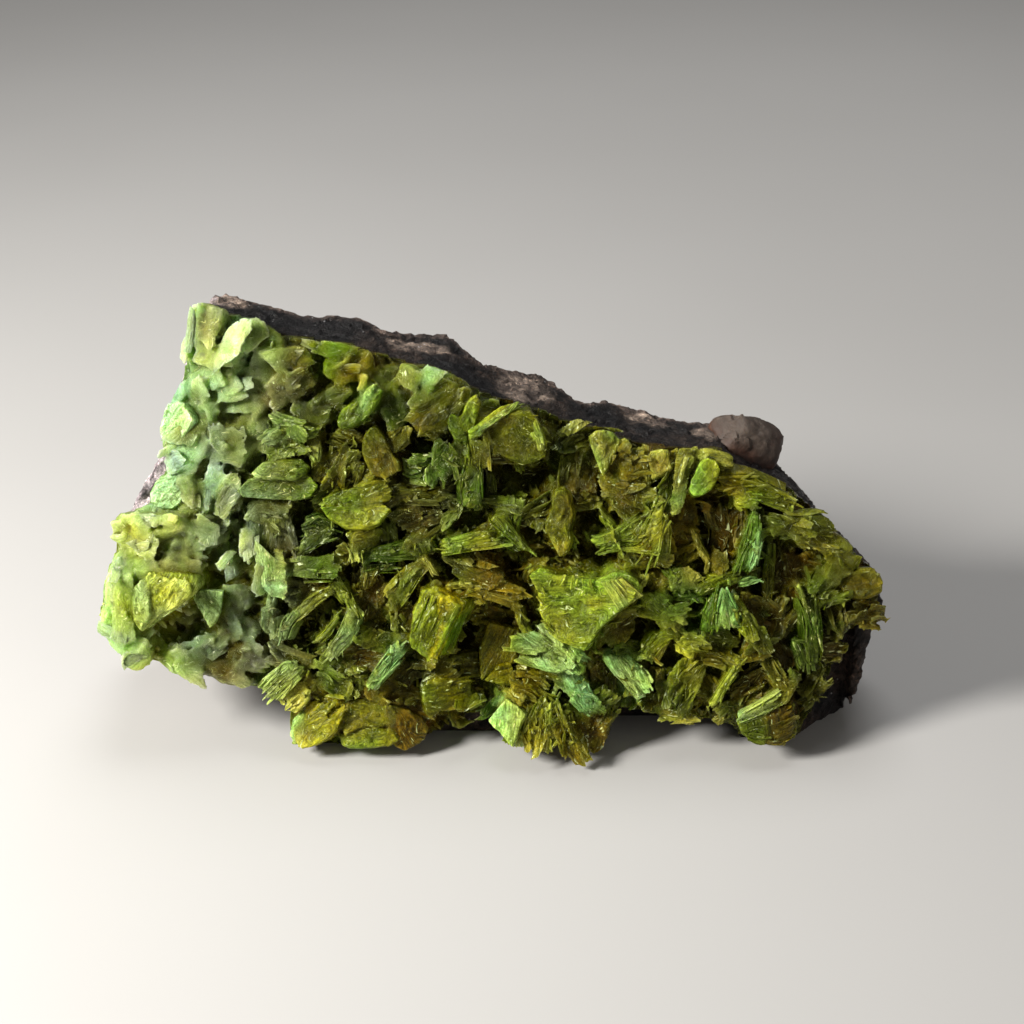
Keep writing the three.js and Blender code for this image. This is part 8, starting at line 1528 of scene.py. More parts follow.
def crystal_material(name, see=0.30, rough=0.24, glow=0.22, pale=(0.50, 0.60, 0.08), depth=0.0010, calm=0.0):
    m, nt, b, out = material(name)
    L = nt.links

    def near1(*v):
        return tuple(1 - (1 - x) * (1 - calm) for x in v)

    tint = node(nt, "ShaderNodeAttribute", attribute_name="tint")
    painted_highlight = node(nt, "ShaderNodeAttribute", attribute_name="painted_highlight")
    grain = node(nt, "ShaderNodeAttribute", attribute_name="grain")
    # cleavage lines along each crystal
    mp = node(nt, "ShaderNodeMapping")
    mp.inputs["Scale"].default_value = (0.8, 9.0, 1.0)
    L.new(grain.outputs["Vector"], mp.inputs[0])
    streak = node(nt, "ShaderNodeTexNoise", inputs={"Scale": 1.0, "Detail": 2.5, "Roughness": 0.68})
    L.new(mp.outputs[0], streak.inputs["Vector"])
    # cloudy patches and small specks in the body
    tc = node(nt, "ShaderNodeTexCoord")
    cloud = node(nt, "ShaderNodeTexNoise", inputs={"Scale": 1500.0, "Detail": 2.0, "Roughness": 0.62})
    L.new(tc.outputs["Object"], cloud.inputs["Vector"])
    speck = node(nt, "ShaderNodeTexVoronoi", inputs={"Scale": 5200.0, "Randomness": 1.0})
    speck.feature = "F1"
    L.new(tc.outputs["Object"], speck.inputs["Vector"])
    patch = node(nt, "ShaderNodeTexNoise", inputs={"Scale": 420.0, "Detail": 0.0, "Roughness": 0.5})
    L.new(tc.outputs["Object"], patch.inputs["Vector"])
    c = tint.outputs["Color"]
    dark = maprange(nt, cloud.outputs["Fac"], 0.30, 0.62, 0.0, 1.0)
    c = mixc(nt, dark, mixc(nt, 1.0, c, near1(0.70, 0.68, 0.50), "MULTIPLY"), mixc(nt, 1.0, c, near1(1.14, 1.12, 1.05), "MULTIPLY"))
    st = maprange(nt, streak.outputs["Fac"], 0.40, 0.60, 0.0, 1.0)
    c = mixc(nt, st, mixc(nt, 1.0, c, near1(0.52, 0.54, 0.40), "MULTIPLY"), mixc(nt, 1.0, c, near1(1.48, 1.45, 1.62), "MULTIPLY"))
    fine = node(nt, "ShaderNodeTexNoise", inputs={"Scale": 9000.0, "Detail": 1.0, "Roughness": 0.7})
    L.new(tc.outputs["Object"], fine.inputs["Vector"])
    fv = maprange(nt, fine.outputs["Fac"], 0.35, 0.65, 0.0, 1.0)
    c = mixc(nt, fv, mixc(nt, 1.0, c, near1(0.76, 0.76, 0.70), "MULTIPLY"), mixc(nt, 1.0, c, near1(1.22, 1.22, 1.3), "MULTIPLY"))
    # pale cleavage flecks inside the crystal, partly their own paleness and partly painted sparkle
    mf = node(nt, "ShaderNodeMapping")
    mf.inputs["Scale"].default_value = (2.2, 8.5, 1.3)
    L.new(grain.outputs["Vector"], mf.inputs[0])
    fleck = node(nt, "ShaderNodeTexNoise", inputs={"Scale": 1.0, "Detail": 1.0, "Roughness": 0.5})
    L.new(mf.outputs[0], fleck.inputs["Vector"])
    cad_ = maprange(nt, fleck.outputs["Fac"], 0.62, 0.72, 0.0, 0.75)
    c = mixc(nt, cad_, c, mixc(nt, 0.30, mixc(nt, 1.0, c, (1.7, 1.65, 1.8), "MULTIPLY"), pale))
    # painted glint: the strongest flecks turn near-white green
    painted_glint = maprange(nt, fleck.outputs["Fac"], 0.70, 0.725, 0.0, 0.9)
    c = mixc(nt, painted_glint, c, (0.70, 0.82, 0.40))
    warm = maprange(nt, patch.outputs["Fac"], 0.42, 0.62, 0.0, 0.50)
    c = mixc(nt, warm, c, mixc(nt, 1.0, c, (1.22, 1.0, 0.5), "MULTIPLY"))
    sp = maprange(nt, speck.outputs["Distance"], 0.05, 0.13, 0.5, 0.0)
    c = mixc(nt, sp, c, mixc(nt, 1.0, c, near1(0.35, 0.28, 0.2), "MULTIPLY"))
    # painted highlight along rims and crests: the base colour is lightened toward pale by the highlight attribute
    highlight_weight = node(nt, "ShaderNodeMath", operation="MULTIPLY")
    L.new(painted_highlight.outputs["Fac"], highlight_weight.inputs[0])
    L.new(maprange(nt, cloud.outputs["Fac"], 0.36, 0.60, 0.15, 0.80), highlight_weight.inputs[1])
    rim_highlight_colour = mixc(nt, 0.34, mixc(nt, 1.0, c, (1.55, 1.50, 1.6), "MULTIPLY"), pale)
    c = mixc(nt, highlight_weight.outputs[0], c, rim_highlight_colour)
    L.new(c, b.inputs["Base Color"])
    # a few small faces are bright cleavages
    spark = node(nt, "ShaderNodeTexVoronoi", inputs={"Scale": 3000.0, "Randomness": 1.0})
    L.new(tc.outputs["Object"], spark.inputs["Vector"])
    dull = maprange(nt, cloud.outputs["Fac"], 0.3, 0.7, rough, rough + 0.22)
    rr = node(nt, "ShaderNodeMix")
    rr.data_type = "FLOAT"
    L.new(maprange(nt, spark.outputs["Color"], 0.62, 0.66, 0.0, 1.0), rr.inputs[0])
    L.new(dull, rr.inputs[2])
    rr.inputs[3].default_value = 0.05
    L.new(rr.outputs[0], b.inputs["Roughness"])
    b.inputs["IOR"].default_value = 1.577
    b.inputs["Specular IOR Level"].default_value = 0.13
    b.inputs["Specular Tint"].default_value = (0.90, 1.0, 0.62, 1.0)
    b.inputs["Transmission Weight"].default_value = see
    b.inputs["Subsurface Weight"].default_value = glow
    b.inputs["Subsurface Radius"].default_value = (0.75, 0.9, 0.35)
    b.inputs["Subsurface Scale"].default_value = depth
        # fine relief
    bump = node(nt, "ShaderNodeBump", inputs={"Strength": 0.8, "Distance": 0.00009})
    h = node(nt, "ShaderNodeMath", operation="ADD")
    L.new(streak.outputs["Fac"], h.inputs[0])
    h2 = node(nt, "ShaderNodeMath", operation="MULTIPLY")
    L.new(fine.outputs["Fac"], h2.inputs[0])
    h2.inputs[1].default_value = 0.7
    L.new(h2.outputs[0], h.inputs[1])
    L.new(h.outputs[0], bump.inputs["Height"])
    L.new(bump.outputs[0], b.inputs["Normal"])
    return m


def rock_material(name):
    m, nt, b, out = material(name)
    L = nt.links
    tc = node(nt, "ShaderNodeTexCoord")
    tint = node(nt, "ShaderNodeAttribute", attribute_name="tint")
    painted_highlight = node(nt, "ShaderNodeAttribute", attribute_name="painted_highlight")
    n1 = node(nt, "ShaderNodeTexNoise", inputs={"Scale": 1100.0, "Detail": 7.0, "Roughness": 0.74, "Distortion": 0.6})
    n2 = node(nt, "ShaderNodeTexNoise", inputs={"Scale": 5200.0, "Detail": 4.0, "Roughness": 0.7})
    vo = node(nt, "ShaderNodeTexVoronoi", inputs={"Scale": 4200.0, "Randomness": 1.0})
    vg = node(nt, "ShaderNodeTexVoronoi", inputs={"Scale": 1900.0, "Randomness": 1.0})
    for n in (n1, n2, vo, vg):
        L.new(tc.outputs["Object"], n.inputs["Vector"])
    c = tint.outputs["Color"]
    c = mixc(nt, maprange(nt, n1.outputs["Fac"], 0.38, 0.62, 0, 1), mixc(nt, 1.0, c, (0.26, 0.23, 0.23), "MULTIPLY"),
             mixc(nt, 1.0, c, (1.9, 1.78, 1.72), "MULTIPLY"))
    # mineral grains of their own tone
    c = mixc(nt, maprange(nt, vg.outputs["Color"], 0.2, 0.9, 0.0, 1.0), mixc(nt, 1.0, c, (0.55, 0.52, 0.52), "MULTIPLY"), mixc(nt, 1.0, c, (1.5, 1.45, 1.4), "MULTIPLY"))
    c = mixc(nt, maprange(nt, n2.outputs["Fac"], 0.52, 0.66, 0, 1.0), c, mixc(nt, 1.0, c, (3.0, 2.85, 2.8), "MULTIPLY"))
    # painted glints: pale grey specks on a few grains, weighted by the glint mask of the mesh
    gl = maprange(nt, vo.outputs["Distance"], 0.16, 0.26, 1.0, 0.0)
    pick = maprange(nt, vo.outputs["Color"], 0.74, 0.78, 0.0, 1.0)
    g = node(nt, "ShaderNodeMath", operation="MULTIPLY")
    L.new(gl, g.inputs[0])
    L.new(pick, g.inputs[1])
    g2 = node(nt, "ShaderNodeMath", operation="MULTIPLY")
    L.new(g.outputs[0], g2.inputs[0])
    L.new(painted_highlight.outputs["Fac"], g2.inputs[1])
    c = mixc(nt, g2.outputs[0], c, (0.62, 0.60, 0.60))
    L.new(c, b.inputs["Base Color"])
    L.new(maprange(nt, n2.outputs["Fac"], 0.3, 0.7, 0.28, 0.70), b.inputs["Roughness"])
    b.inputs["Specular IOR Level"].default_value = 0.34
    bump = node(nt, "ShaderNodeBump", inputs={"Strength": 1.0, "Distance": 0.00018})
    h = node(nt, "ShaderNodeMath", operation="ADD")
    L.new(n1.outputs["Fac"], h.inputs[0])
    L.new(n2.outputs["Fac"], h.inputs[1])
    L.new(h.outputs[0], bump.inputs["Height"])
    L.new(bump.outputs[0], b.inputs["Normal"])
    return m


def quartz_material(name):
    m, nt, b, out = material(name)
    L = nt.links
    tc = node(nt, "ShaderNodeTexCoord")
    n1 = node(nt, "ShaderNodeTexNoise", inputs={"Scale": 420.0, "Detail": 4.0, "Roughness": 0.6, "Distortion": 0.8})
    n2 = node(nt, "ShaderNodeTexNoise", inputs={"Scale": 2600.0, "Detail": 4.0, "Roughness": 0.7})
    for n in (n1, n2):
        L.new(tc.outputs["Object"], n.inputs["Vector"])
    tint = node(nt, "ShaderNodeAttribute", attribute_name="tint")
    c = tint.outputs["Color"]
    c = mixc(nt, maprange(nt, n1.outputs["Fac"], 0.4, 0.62, 0, 1), mixc(nt, 1.0, c, (0.6, 0.5, 0.48), "MULTIPLY"), c)
    c = mixc(nt, maprange(nt, n2.outputs["Fac"], 0.35, 0.65, 0, 1), mixc(nt, 1.0, c, (0.75, 0.72, 0.7), "MULTIPLY"),
             mixc(nt, 1.0, c, (1.25, 1.25, 1.25), "MULTIPLY"))
    L.new(c, b.inputs["Base Color"])
    L.new(maprange(nt, n2.outputs["Fac"], 0.3, 0.7, 0.42, 0.75), b.inputs["Roughness"])
    b.inputs["Specular IOR Level"].default_value = 0.3
    b.inputs["IOR"].default_value = 1.544
    b.inputs["Transmission Weight"].default_value = 0.15
    b.inputs["Subsurface Weight"].default_value = 0.15
    b.inputs["Subsurface Radius"].default_value = (0.8, 0.45, 0.3)
    b.inputs["Subsurface Scale"].default_value = 0.0006
    bump = node(nt, "ShaderNodeBump", inputs={"Strength": 0.9, "Distance": 0.00008})
    L.new(n2.outputs["Fac"], bump.inputs["Height"])
    L.new(bump.outputs[0], b.inputs["Normal"])
    return m


# ------------------------------------------------------------------ crust base
def ground_relief(uv):
    """Leafy broken relief of the ground: each cell leans its own way."""
    n = len(uv)
    q3 = np.column_stack((uv, np.zeros(n)))
    warp = np.stack((fbm(q3, 0.8, 2, 401), fbm(q3, 0.8, 2, 402), np.zeros(n)), 1)
    rough = 0.45 + 0.55 * smoothstep(-10.5, -7.0, uv[:, 0])
    off, gx, cid, edge = cells((q3 + 0.5 * warp) * (1.0, 0.62, 1.0), 1.05, 411)
    off2, gx2, cid2, edge2 = cells((q3 + 0.3 * warp) * (0.65, 1.0, 1.0), 2.3, 421)
    facets = (off[:, :2] * gx[:, :2]).sum(1)
    return rough * (0.42 * facets + 0.16 * (cid - 0.5)) + 0.36 * (off2[:, :2] * gx2[:, :2]).sum(1) * rough + 0.10 * rough * (cid2 - 0.5)


def crust_base():
    """The grown-together mass under the single crystals."""
    gu, gv, SD = gu_all[::2, ::2], gv_all[::2, ::2], SDO[::2, ::2]
    NU, NV = SD.shape
    keep = SD > -0.5 * GRID
    cell = keep[:-1, :-1] & keep[1:, :-1] & keep[:-1, 1:] & keep[1:, 1:]
    # keep the cells joined into one sheet with no corner-only contacts
    for _ in range(4):
        d1 = cell[:-1, :-1] & cell[1:, 1:] & ~cell[1:, :-1] & ~cell[:-1, 1:]
        d2 = cell[1:, :-1] & cell[:-1, 1:] & ~cell[:-1, :-1] & ~cell[1:, 1:]
        if not (d1.any() or d2.any()):
            break
        cell[1:, :-1] |= d1
        cell[:-1, :-1] |= d2
    idx = -np.ones((NU, NV), int)
    used = np.zeros((NU, NV), bool)
    used[:-1, :-1] |= cell
    used[1:, :-1] |= cell
    used[:-1, 1:] |= cell
    used[1:, 1:] |= cell
    idx[used] = np.arange(used.sum())
    uv = np.stack((gu[used], gv[used]), 1)
    n = len(uv)
    ci, cj = np.where(cell)
    a, b, c, d = idx[ci, cj], idx[ci + 1, cj], idx[ci + 1, cj + 1], idx[ci, cj + 1]
    flip = ((ci * 7 + cj * 13) % 3 == 0)[:, None]
    top = np.concatenate((np.where(flip, np.stack((a, b, d), 1), np.stack((a, b, c), 1)),
                          np.where(flip, np.stack((b, c, d), 1), np.stack((a, c, d), 1))))
    e = np.concatenate((top[:, [0, 1]], top[:, [1, 2]], top[:, [2, 0]]))
    bd = e[~np.isin(e[:, 0] * n + e[:, 1], e[:, 1] * n + e[:, 0])]
    # walk the border of the sheet
    nxt = {int(x): int(y) for x, y in bd}
    loop = [int(bd[0, 0])]
    while len(loop) <= len(bd):
        k = nxt[loop[-1]]
        if k == loop[0]:
            break
        loop.append(k)
    loop = np.array(loop)
    # slide the border points onto the outline
    P, Q = OUT, np.roll(OUT, -1, 0)
    D = Q - P
    r = uv[loop][:, None] - P
    t = np.clip((r * D).sum(-1) / (D * D).sum(-1), 0, 1)
    near = P + t[..., None] * D
    k = np.linalg.norm(uv[loop][:, None] - near, axis=2).argmin(1)
    uv[loop] = 0.35 * uv[loop] + 0.65 * near[np.arange(len(loop)), k]
    rg = np.random.default_rng(61)
    inner = np.ones(n, bool)
    inner[loop] = False
    uv[inner] += rg.uniform(-0.24, 0.24, (inner.sum(), 2)) * GRID
    sd = poly_sd(uv, OUT)
    w = look(BASE, uv) - 0.12
    # leafy broken relief: each cell leans its own way
    q3 = np.column_stack((uv, np.zeros(n)))
    warp = np.stack((fbm(q3, 0.8, 2, 401), fbm(q3, 0.8, 2, 402), np.zeros(n)), 1)
    rough = 0.45 + 0.55 * smoothstep(-10.5, -7.0, uv[:, 0])
    off, gx, cid, edge = cells((q3 + 0.5 * warp) * (1.0, 0.62, 1.0), 1.05, 411)
    off2, gx2, cid2, edge2 = cells((q3 + 0.3 * warp) * (0.65, 1.0, 1.0), 2.3, 421)
    off3, gx3, cid3, edge3 = cells(q3, 4.2, 431)
    facets = (off[:, :2] * gx[:, :2]).sum(1)
    w = w + rough * (0.42 * facets + 0.16 * (cid - 0.5)) + 0.36 * (off2[:, :2] * gx2[:, :2]).sum(1) * rough + 0.10 * rough * (cid2 - 0.5) + 0.06 * (cid3 - 0.5)
    fade = smoothstep(0.0, 0.35, sd)
    w = np.maximum(look(BASE, uv) * (1 - fade) + w * fade, rear_level(sd) + 0.2)
    w = np.minimum(w, look(np.maximum(TOPS, BASE), uv) + 0.05)
    w = np.where(sd > 0.45, np.maximum(np.minimum(w, look(BASE, uv) + ground_relief(uv) - 0.30), rear_level(sd) + 0.2), w)
    lp = uv[loop]
    su, sv = np.meshgrid(np.arange(U0, U1, 0.9), np.arange(V0, V1, 0.9), indexing="ij")
    ins = np.stack((su.ravel(), sv.ravel()), 1)
    ins = ins[poly_sd(ins, lp) > 0.5]
    cap = cap_faces(lp, ins)
    m = len(loop)
    q = np.concatenate((lp, ins))
    sdq = np.concatenate((sd[loop], poly_sd(ins, OUT)))
    wtop = np.concatenate((w[loop], look(BASE, ins)))
    bottom = np.minimum(rear_level(sdq) - 0.12, wtop - 0.3)
    v = np.concatenate((np.column_stack((uv, w)), np.column_stack((q, bottom))))
    i = np.arange(m)
    j = (i + 1) % m
    f = np.concatenate((top, cap[:, ::-1] + n, np.stack((loop[j], loop[i], n + i), 1), np.stack((loop[j], n + i, n + j), 1)))
    W = to_world(v)
    W[:, 2] = np.maximum(W[:, 2], 0.03)
    tone = 0.92 + 0.30 * (np.concatenate((cid, np.zeros(len(q)))) - 0.5) + 0.25 * (np.concatenate((cid2, np.zeros(len(q)))) - 0.5)
    col = np.maximum(look(FIELD, v[:, :2]), 1e-4) * tone[:, None]
    col = shade_by_place(W, col, 0.0)
    sda = np.concatenate((sd, sdq))
    # painted shade: the ground darkens towards the outline of the crust, where it sinks to the rock, except at the left
    # end
    col = col * np.where(v[:, :1] < -13.0, 1.0, 0.30 + 0.70 * smoothstep(0.05, 0.9, sda)[:, None])
    # painted highlight along the borders of the cells
    painted_highlight = np.concatenate((1 - smoothstep(0.02, 0.09, edge2), np.zeros(len(q)))) * 0.6
    # grain runs in its own direction in each cell
    th = np.concatenate((cid * 6.28, np.zeros(len(q))))
    gr = np.column_stack((v[:, 0] * np.cos(th) + v[:, 1] * np.sin(th), -v[:, 0] * np.sin(th) + v[:, 1] * np.cos(th), th * 3))
    ob = make_mesh("autunite_crust_base", W, f, 48, col, painted_highlight, gr)
    ob.data.materials.append(crystal_material("autunite_ground", see=0.0, rough=0.32, glow=0.3))
    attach(ob, "root")
    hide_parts("autunite_crust")
    return ob


# ------------------------------------------------------------------ matrix rock
def section_ring(k):
    x, y1, z1, y2, z2, y3, z3 = SECTIONS[k]
    yb = max(float(np.interp(x, [a for a, _ in REAR_FOOT], [b for _, b in REAR_FOOT])), y2 + 0.8)
    zb = max(0.0, z3 - 0.3 * (yb - y3))
    corners = [(y3, z3), (y1, z1), (y2, z2), (y2 + 0.42 * (yb - y2), z2 * 0.7 + zb * 0.3),
               (y2 + 0.86 * (yb - y2), z2 * 0.36 + zb * 0.64), (yb, zb + 0.12 * (z2 - zb)), (yb - 0.5, zb)]
    counts = [22, 8, 10, 10, 8, 3, 16]
    ring = []
    for i, a in enumerate(corners):
        b = corners[(i + 1) % len(corners)]
        for j in range(counts[i]):
            t = j / counts[i]
            ring.append((x, a[0] * (1 - t) + b[0] * t, max(0.0, a[1] * (1 - t) + b[1] * t)))
    return ring


def build_rock():
    rings = np.array([section_ring(k) for k in range(len(SECTIONS))])
    K, n = rings.shape[:2]
    v = rings.reshape(-1, 3)
    f = []
    i = np.arange(n)
    j = (i + 1) % n
    for k in range(K - 1):
        a, b = k * n, (k + 1) * n
        f.append(np.stack((a + i, b + i, b + j), 1))
        f.append(np.stack((a + i, b + j, a + j), 1))
    c0, c1 = rings[0].mean(0) - (0.15, 0, 0), rings[-1].mean(0) + (0.12, 0, 0)
    v = np.concatenate((v, c0[None], c1[None]))
    f.append(np.stack((np.full(n, len(v) - 2), i, j), 1))
    f.append(np.stack((np.full(n, len(v) - 1), (K - 1) * n + j, (K - 1) * n + i), 1))
    f = np.concatenate(f)
    w = v + SHIFT
    a0, b0, cc = w[f[:, 0]], w[f[:, 1]], w[f[:, 2]]
    if (np.cross(b0, cc) * a0).sum() < 0:
        f = f[:, ::-1]
    p, tri = skin_of(w, f, 0.20)
    nr = point_normals(p, tri)
    # broken faces: each cell leans its own way, then fine grain
    q = to_face(p)
    sd = poly_sd(q[:, :2], OUT)
    front = smoothstep(-1.6, -0.9, q[:, 2]) * smoothstep(0.0, 0.6, sd)
    top = smoothstep(0.1, 0.6, nr[:, 2])
    off, gx, cid, edge = cells(p * (1, 1.15, 1.3), 0.42, 5)
    big = (off * gx).sum(1)
    off2, gx2, cid2, edge2 = cells(p, 1.15, 9)
    mid = (off2 * gx2).sum(1)
    off3, gx3, cid3, edge3 = cells(p, 3.0, 13)
    small = (off3 * gx3).sum(1)
    rear_y = np.interp(p[:, 0], [s_[0] + SHIFT[0] for s_ in SECTIONS], [s_[3] + SHIFT[1] for s_ in SECTIONS])
    back = smoothstep(0.3, 2.2, p[:, 1] - rear_y)
    ridge = 1 - np.abs(fbm(p, 1.35, 3, 25)) * 3.0
    d = 0.30 * back * big + (0.10 + 0.15 * back) * mid + (0.20 + 0.06 * back) * small + (0.08 + 0.03 * back) * fbm(p, 1.6, 3, 21) + 0.09 * fbm(p, 3.6, 2, 23) + 0.05 * np.clip(ridge, -1, 1)
    d = d - 0.05 * (1 - smoothstep(0, 0.12, edge2)) - 0.03 * (1 - smoothstep(0, 0.06, edge3))
    d = d - 0.06 * top
    fade = smoothstep(0.0, 0.5, p[:, 2])
    p = p + nr * (d * fade * (1 - 0.8 * front))[:, None]
    # the seat of the crust
    q = to_face(p)
    sd = poly_sd(q[:, :2], OUT)
    q[:, 2] = np.where(sd > 0, np.minimum(q[:, 2], rear_level(sd)), q[:, 2])
    p = np.where((sd > 0)[:, None], to_world(q), p)
    p[:, 2] = np.maximum(p[:, 2], 0.0)
    p, tri = thin_out(p, tri, 76000)
    nr = point_normals(p, tri)
    q = to_face(p)
    rear_y = np.interp(p[:, 0], [s_[0] + SHIFT[0] for s_ in SECTIONS], [s_[3] + SHIFT[1] for s_ in SECTIONS])
    back = smoothstep(0.3, 2.2, p[:, 1] - rear_y)
    off, gx, cid, edge = cells(p * (1, 1.15, 1.3), 0.42, 5)
    # colours
    x = p[:, 0]
    grey = np.array((0.0075, 0.0068, 0.0070))
    brown = np.array((0.034, 0.025, 0.019))
    smooth_patch = np.array((0.25, 0.212, 0.175))
    red = np.array((0.13, 0.065, 0.04))
    a = smoothstep(-0.25, 0.35, fbm(p, 0.35, 3, 41))[:, None]
    col = grey * (1 - a) + brown * a
    b = smoothstep(0.62, 0.72, cid) * smoothstep(-0.1, 0.3, fbm(p, 0.8, 2, 43)) * back
    edge_n = 0.35 * fbm(p, 1.1, 3, 44)
    for pu, ru, py, ry in ((-14.2, 1.2, 0.9, 0.9), (-3.9, 1.7, 1.9, 0.8), (1.8, 1.7, 2.2, 1.7), (8.6, 1.2, 1.2, 0.9), (12.0, 0.9, 1.6, 0.8)):
        b = np.maximum(b, smoothstep(1.1, 0.8, np.hypot((q[:, 0] - pu) / ru, (rear_y - p[:, 1] - py) / ry) + edge_n) * smoothstep(-0.1, 0.3, nr[:, 2]))
    b = b[:, None]
    col = col * (1 - b) + smooth_patch * b
    r = (smoothstep(0.15, 0.5, fbm(p, 0.6, 2, 45)) * smoothstep(0.0, 0.6, nr[:, 1]))[:, None]
    col = col * (1 - 0.7 * r) + red * 0.7 * r
    # pale, rough left flank: painted light where the lamp on the left strikes it
    lit_left_flank = (smoothstep(-13.8, -15.2, x) * smoothstep(0.35, -0.1, nr[:, 0]) * smoothstep(-0.45, 0.0, fbm(p, 1.8, 3, 47) + 0.1)
          * (0.10 + 0.90 * smoothstep(-4.2, -2.2, q[:, 2] + 0.8 * fbm(p, 0.8, 2, 48))))[:, None]
    col = col * (1 - lit_left_flank) + np.array((0.50, 0.47, 0.51)) * lit_left_flank
    # paler along the top rear edge
    ys = np.interp(x, [s[0] + SHIFT[0] for s in SECTIONS], [s[3] + SHIFT[1] for s in SECTIONS])
    zs = np.interp(x, [s[0] for s in SECTIONS], [s[4] for s in SECTIONS])
    top_rear_paleness = (smoothstep(0.9, 0.1, np.abs(p[:, 1] - ys)) * smoothstep(1.0, 0.2, np.abs(p[:, 2] - zs)))[:, None]
    col = col * (1 - 0.55 * top_rear_paleness) + np.array((0.14, 0.115, 0.10)) * 0.55 * top_rear_paleness
    # the black band next to the crust, and a painted glint mask for the grains, stronger on faces turned up
    band = (smoothstep(1.9, 0.4, p[:, 1] - rear_y + 2.0) * smoothstep(0.2, 0.6, nr[:, 2]))[:, None]
    col = col * (1 - 0.5 * band)
    glint = smoothstep(-0.15, 0.3, fbm(p, 0.7, 3, 78)) * (0.35 + 0.65 * smoothstep(0.0, 0.5, nr[:, 2]))
    col = col * (1 + 0.30 * fbm(p, 2.5, 2, 49))[:, None]
    ob = make_mesh("matrix_rock_broken", p, tri, 34, np.clip(col, 0.003, 1), glint)
    ob.data.materials.append(rock_material("matrix_stone"))
    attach(ob, "root")
    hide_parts("matrix_rock")
    return ob


def build_quartz():
    lo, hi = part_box("quartz_grain")
    lo, hi = np.array(lo) / MM, np.array(hi) / MM
    bpy.ops.mesh.primitive_ico_sphere_add(subdivisions=5, radius=1.0)
    o = bpy.context.object
    me = o.data
    p = np.empty(len(me.vertices) * 3, np.float32)
    me.vertices.foreach_get("co", p)
    d = p.reshape(-1, 3).astype(float)
    f = np.array([list(t.vertices) for t in me.polygons])
    bpy.data.objects.remove(o)
    bpy.data.meshes.remove(me)
    c = np.array((14.13, 2.13, 14.63)) + SHIFT
    rad = np.array((2.3, 2.0, 1.55))
    turn = -0.33
    # flat broken faces cut from an ellipsoid
    s = d.copy()
    fx = 1 + 0.07 * np.sin(3.1 * d[:, 0] + 1) + 0.06 * np.sin(4.3 * d[:, 1] + 2 * d[:, 2])
    s = s * rad * fx[:, None]
    rng = np.random.default_rng(5)
    for nrm, dist in (((0.95, -0.15, 0.30), 1.95), ((0.20, -0.20, 0.97), 1.25), ((-0.60, -0.3, 0.75), 1.60), ((0.15, -0.95, 0.30), 1.40),
                      ((-0.2, 0.6, 0.8), 1.3), ((0.65, -0.5, 0.6), 1.75)):
        nn = np.array(nrm) / np.linalg.norm(nrm)
        h = s @ nn
        over = h - dist
        s = s - (0.5 * (over + np.sqrt(over * over + 0.02)))[:, None] * nn * 0.85
    off, gx, cid, e = cells(s, 0.9, 31)
    off2, gx2, cid2, e2 = cells(s, 2.4, 32)
    disp = 0.13 * (off * gx).sum(1) + 0.06 * (off2 * gx2).sum(1) + 0.08 * fbm(s, 1.1, 3, 33) + 0.03 * fbm(s, 4.5, 3, 35)
    s = s + d * disp[:, None]
    ct, st = math.cos(-turn), math.sin(-turn)
    x, z = s[:, 0] * ct + s[:, 2] * st, -s[:, 0] * st + s[:, 2] * ct
    p = np.stack((x, s[:, 1], z), 1) + c
    # painted light: the top of the grain is painted lighter and its lower part darker
    up = smoothstep(-0.6, 0.9, s[:, 2])[:, None]
    redp = (smoothstep(-0.1, 0.4, fbm(p, 0.9, 2, 37)) * smoothstep(0.7, -0.4, s[:, 2]))[:, None]
    col = (1 - up) * np.array((0.045, 0.024, 0.016)) + up * np.array((0.115, 0.088, 0.068))
    col = col * (1 - redp) + np.array((0.13, 0.055, 0.03)) * redp
    ob = make_mesh("quartz_grain_broken", p, f, 30, col)
    ob.data.materials.append(quartz_material("quartz_grain"))
    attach(ob, "root")
    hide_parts("quartz_grain")
    return ob


# ------------------------------------------------------------------ drawn crystals
def clip_half(p, nrm, dist):
    """The part of polygon p with x . nrm < dist."""
    out = []
    s = p @ nrm - dist
    for i in range(len(p)):
        j = (i + 1) % len(p)
        if s[i] <= 0:
            out.append(p[i])
        if (s[i] < 0) != (s[j] < 0) and abs(s[i] - s[j]) > 1e-9:
            out.append(p[i] + (p[j] - p[i]) * (s[i] / (s[i] - s[j])))
    q = []
    for x in out:
        if not q or np.linalg.norm(x - q[-1]) > 0.02:
            q.append(x)
    if len(q) > 1 and np.linalg.norm(q[0] - q[-1]) < 0.02:
        q.pop()
    return np.array(q)


def straighten(p, eps):
    """The outline with only its real corners."""
    p = ccw(p)

    def rec(a):
        if len(a) < 3:
            return a
        d = a[-1] - a[0]
        L = max(np.linalg.norm(d), 1e-9)
        h = np.abs((a[1:-1, 0] - a[0, 0]) * d[1] - (a[1:-1, 1] - a[0, 1]) * d[0]) / L
        k = int(h.argmax()) + 1
        if h[k - 1] > eps:
            return np.concatenate((rec(a[:k + 1])[:-1], rec(a[k:])))
        return a[[0, -1]]

    i = int(p[:, 0].argmax())
    q = np.roll(p, -i, 0)
    j = int(q[:, 0].argmin())
    q = np.concatenate((q, q[:1]))
    out = np.concatenate((rec(q[:j + 1])[:-1], rec(q[j:])[:-1]))
    return out if len(out) >= 3 else p


def long_axis(p):
    d = p - p.mean(0)
    w, v = np.linalg.eigh(d.T @ d)
    return math.atan2(v[1, 1], v[0, 1]), math.sqrt(max(w[1], 1e-9) / max(w[0], 1e-9))


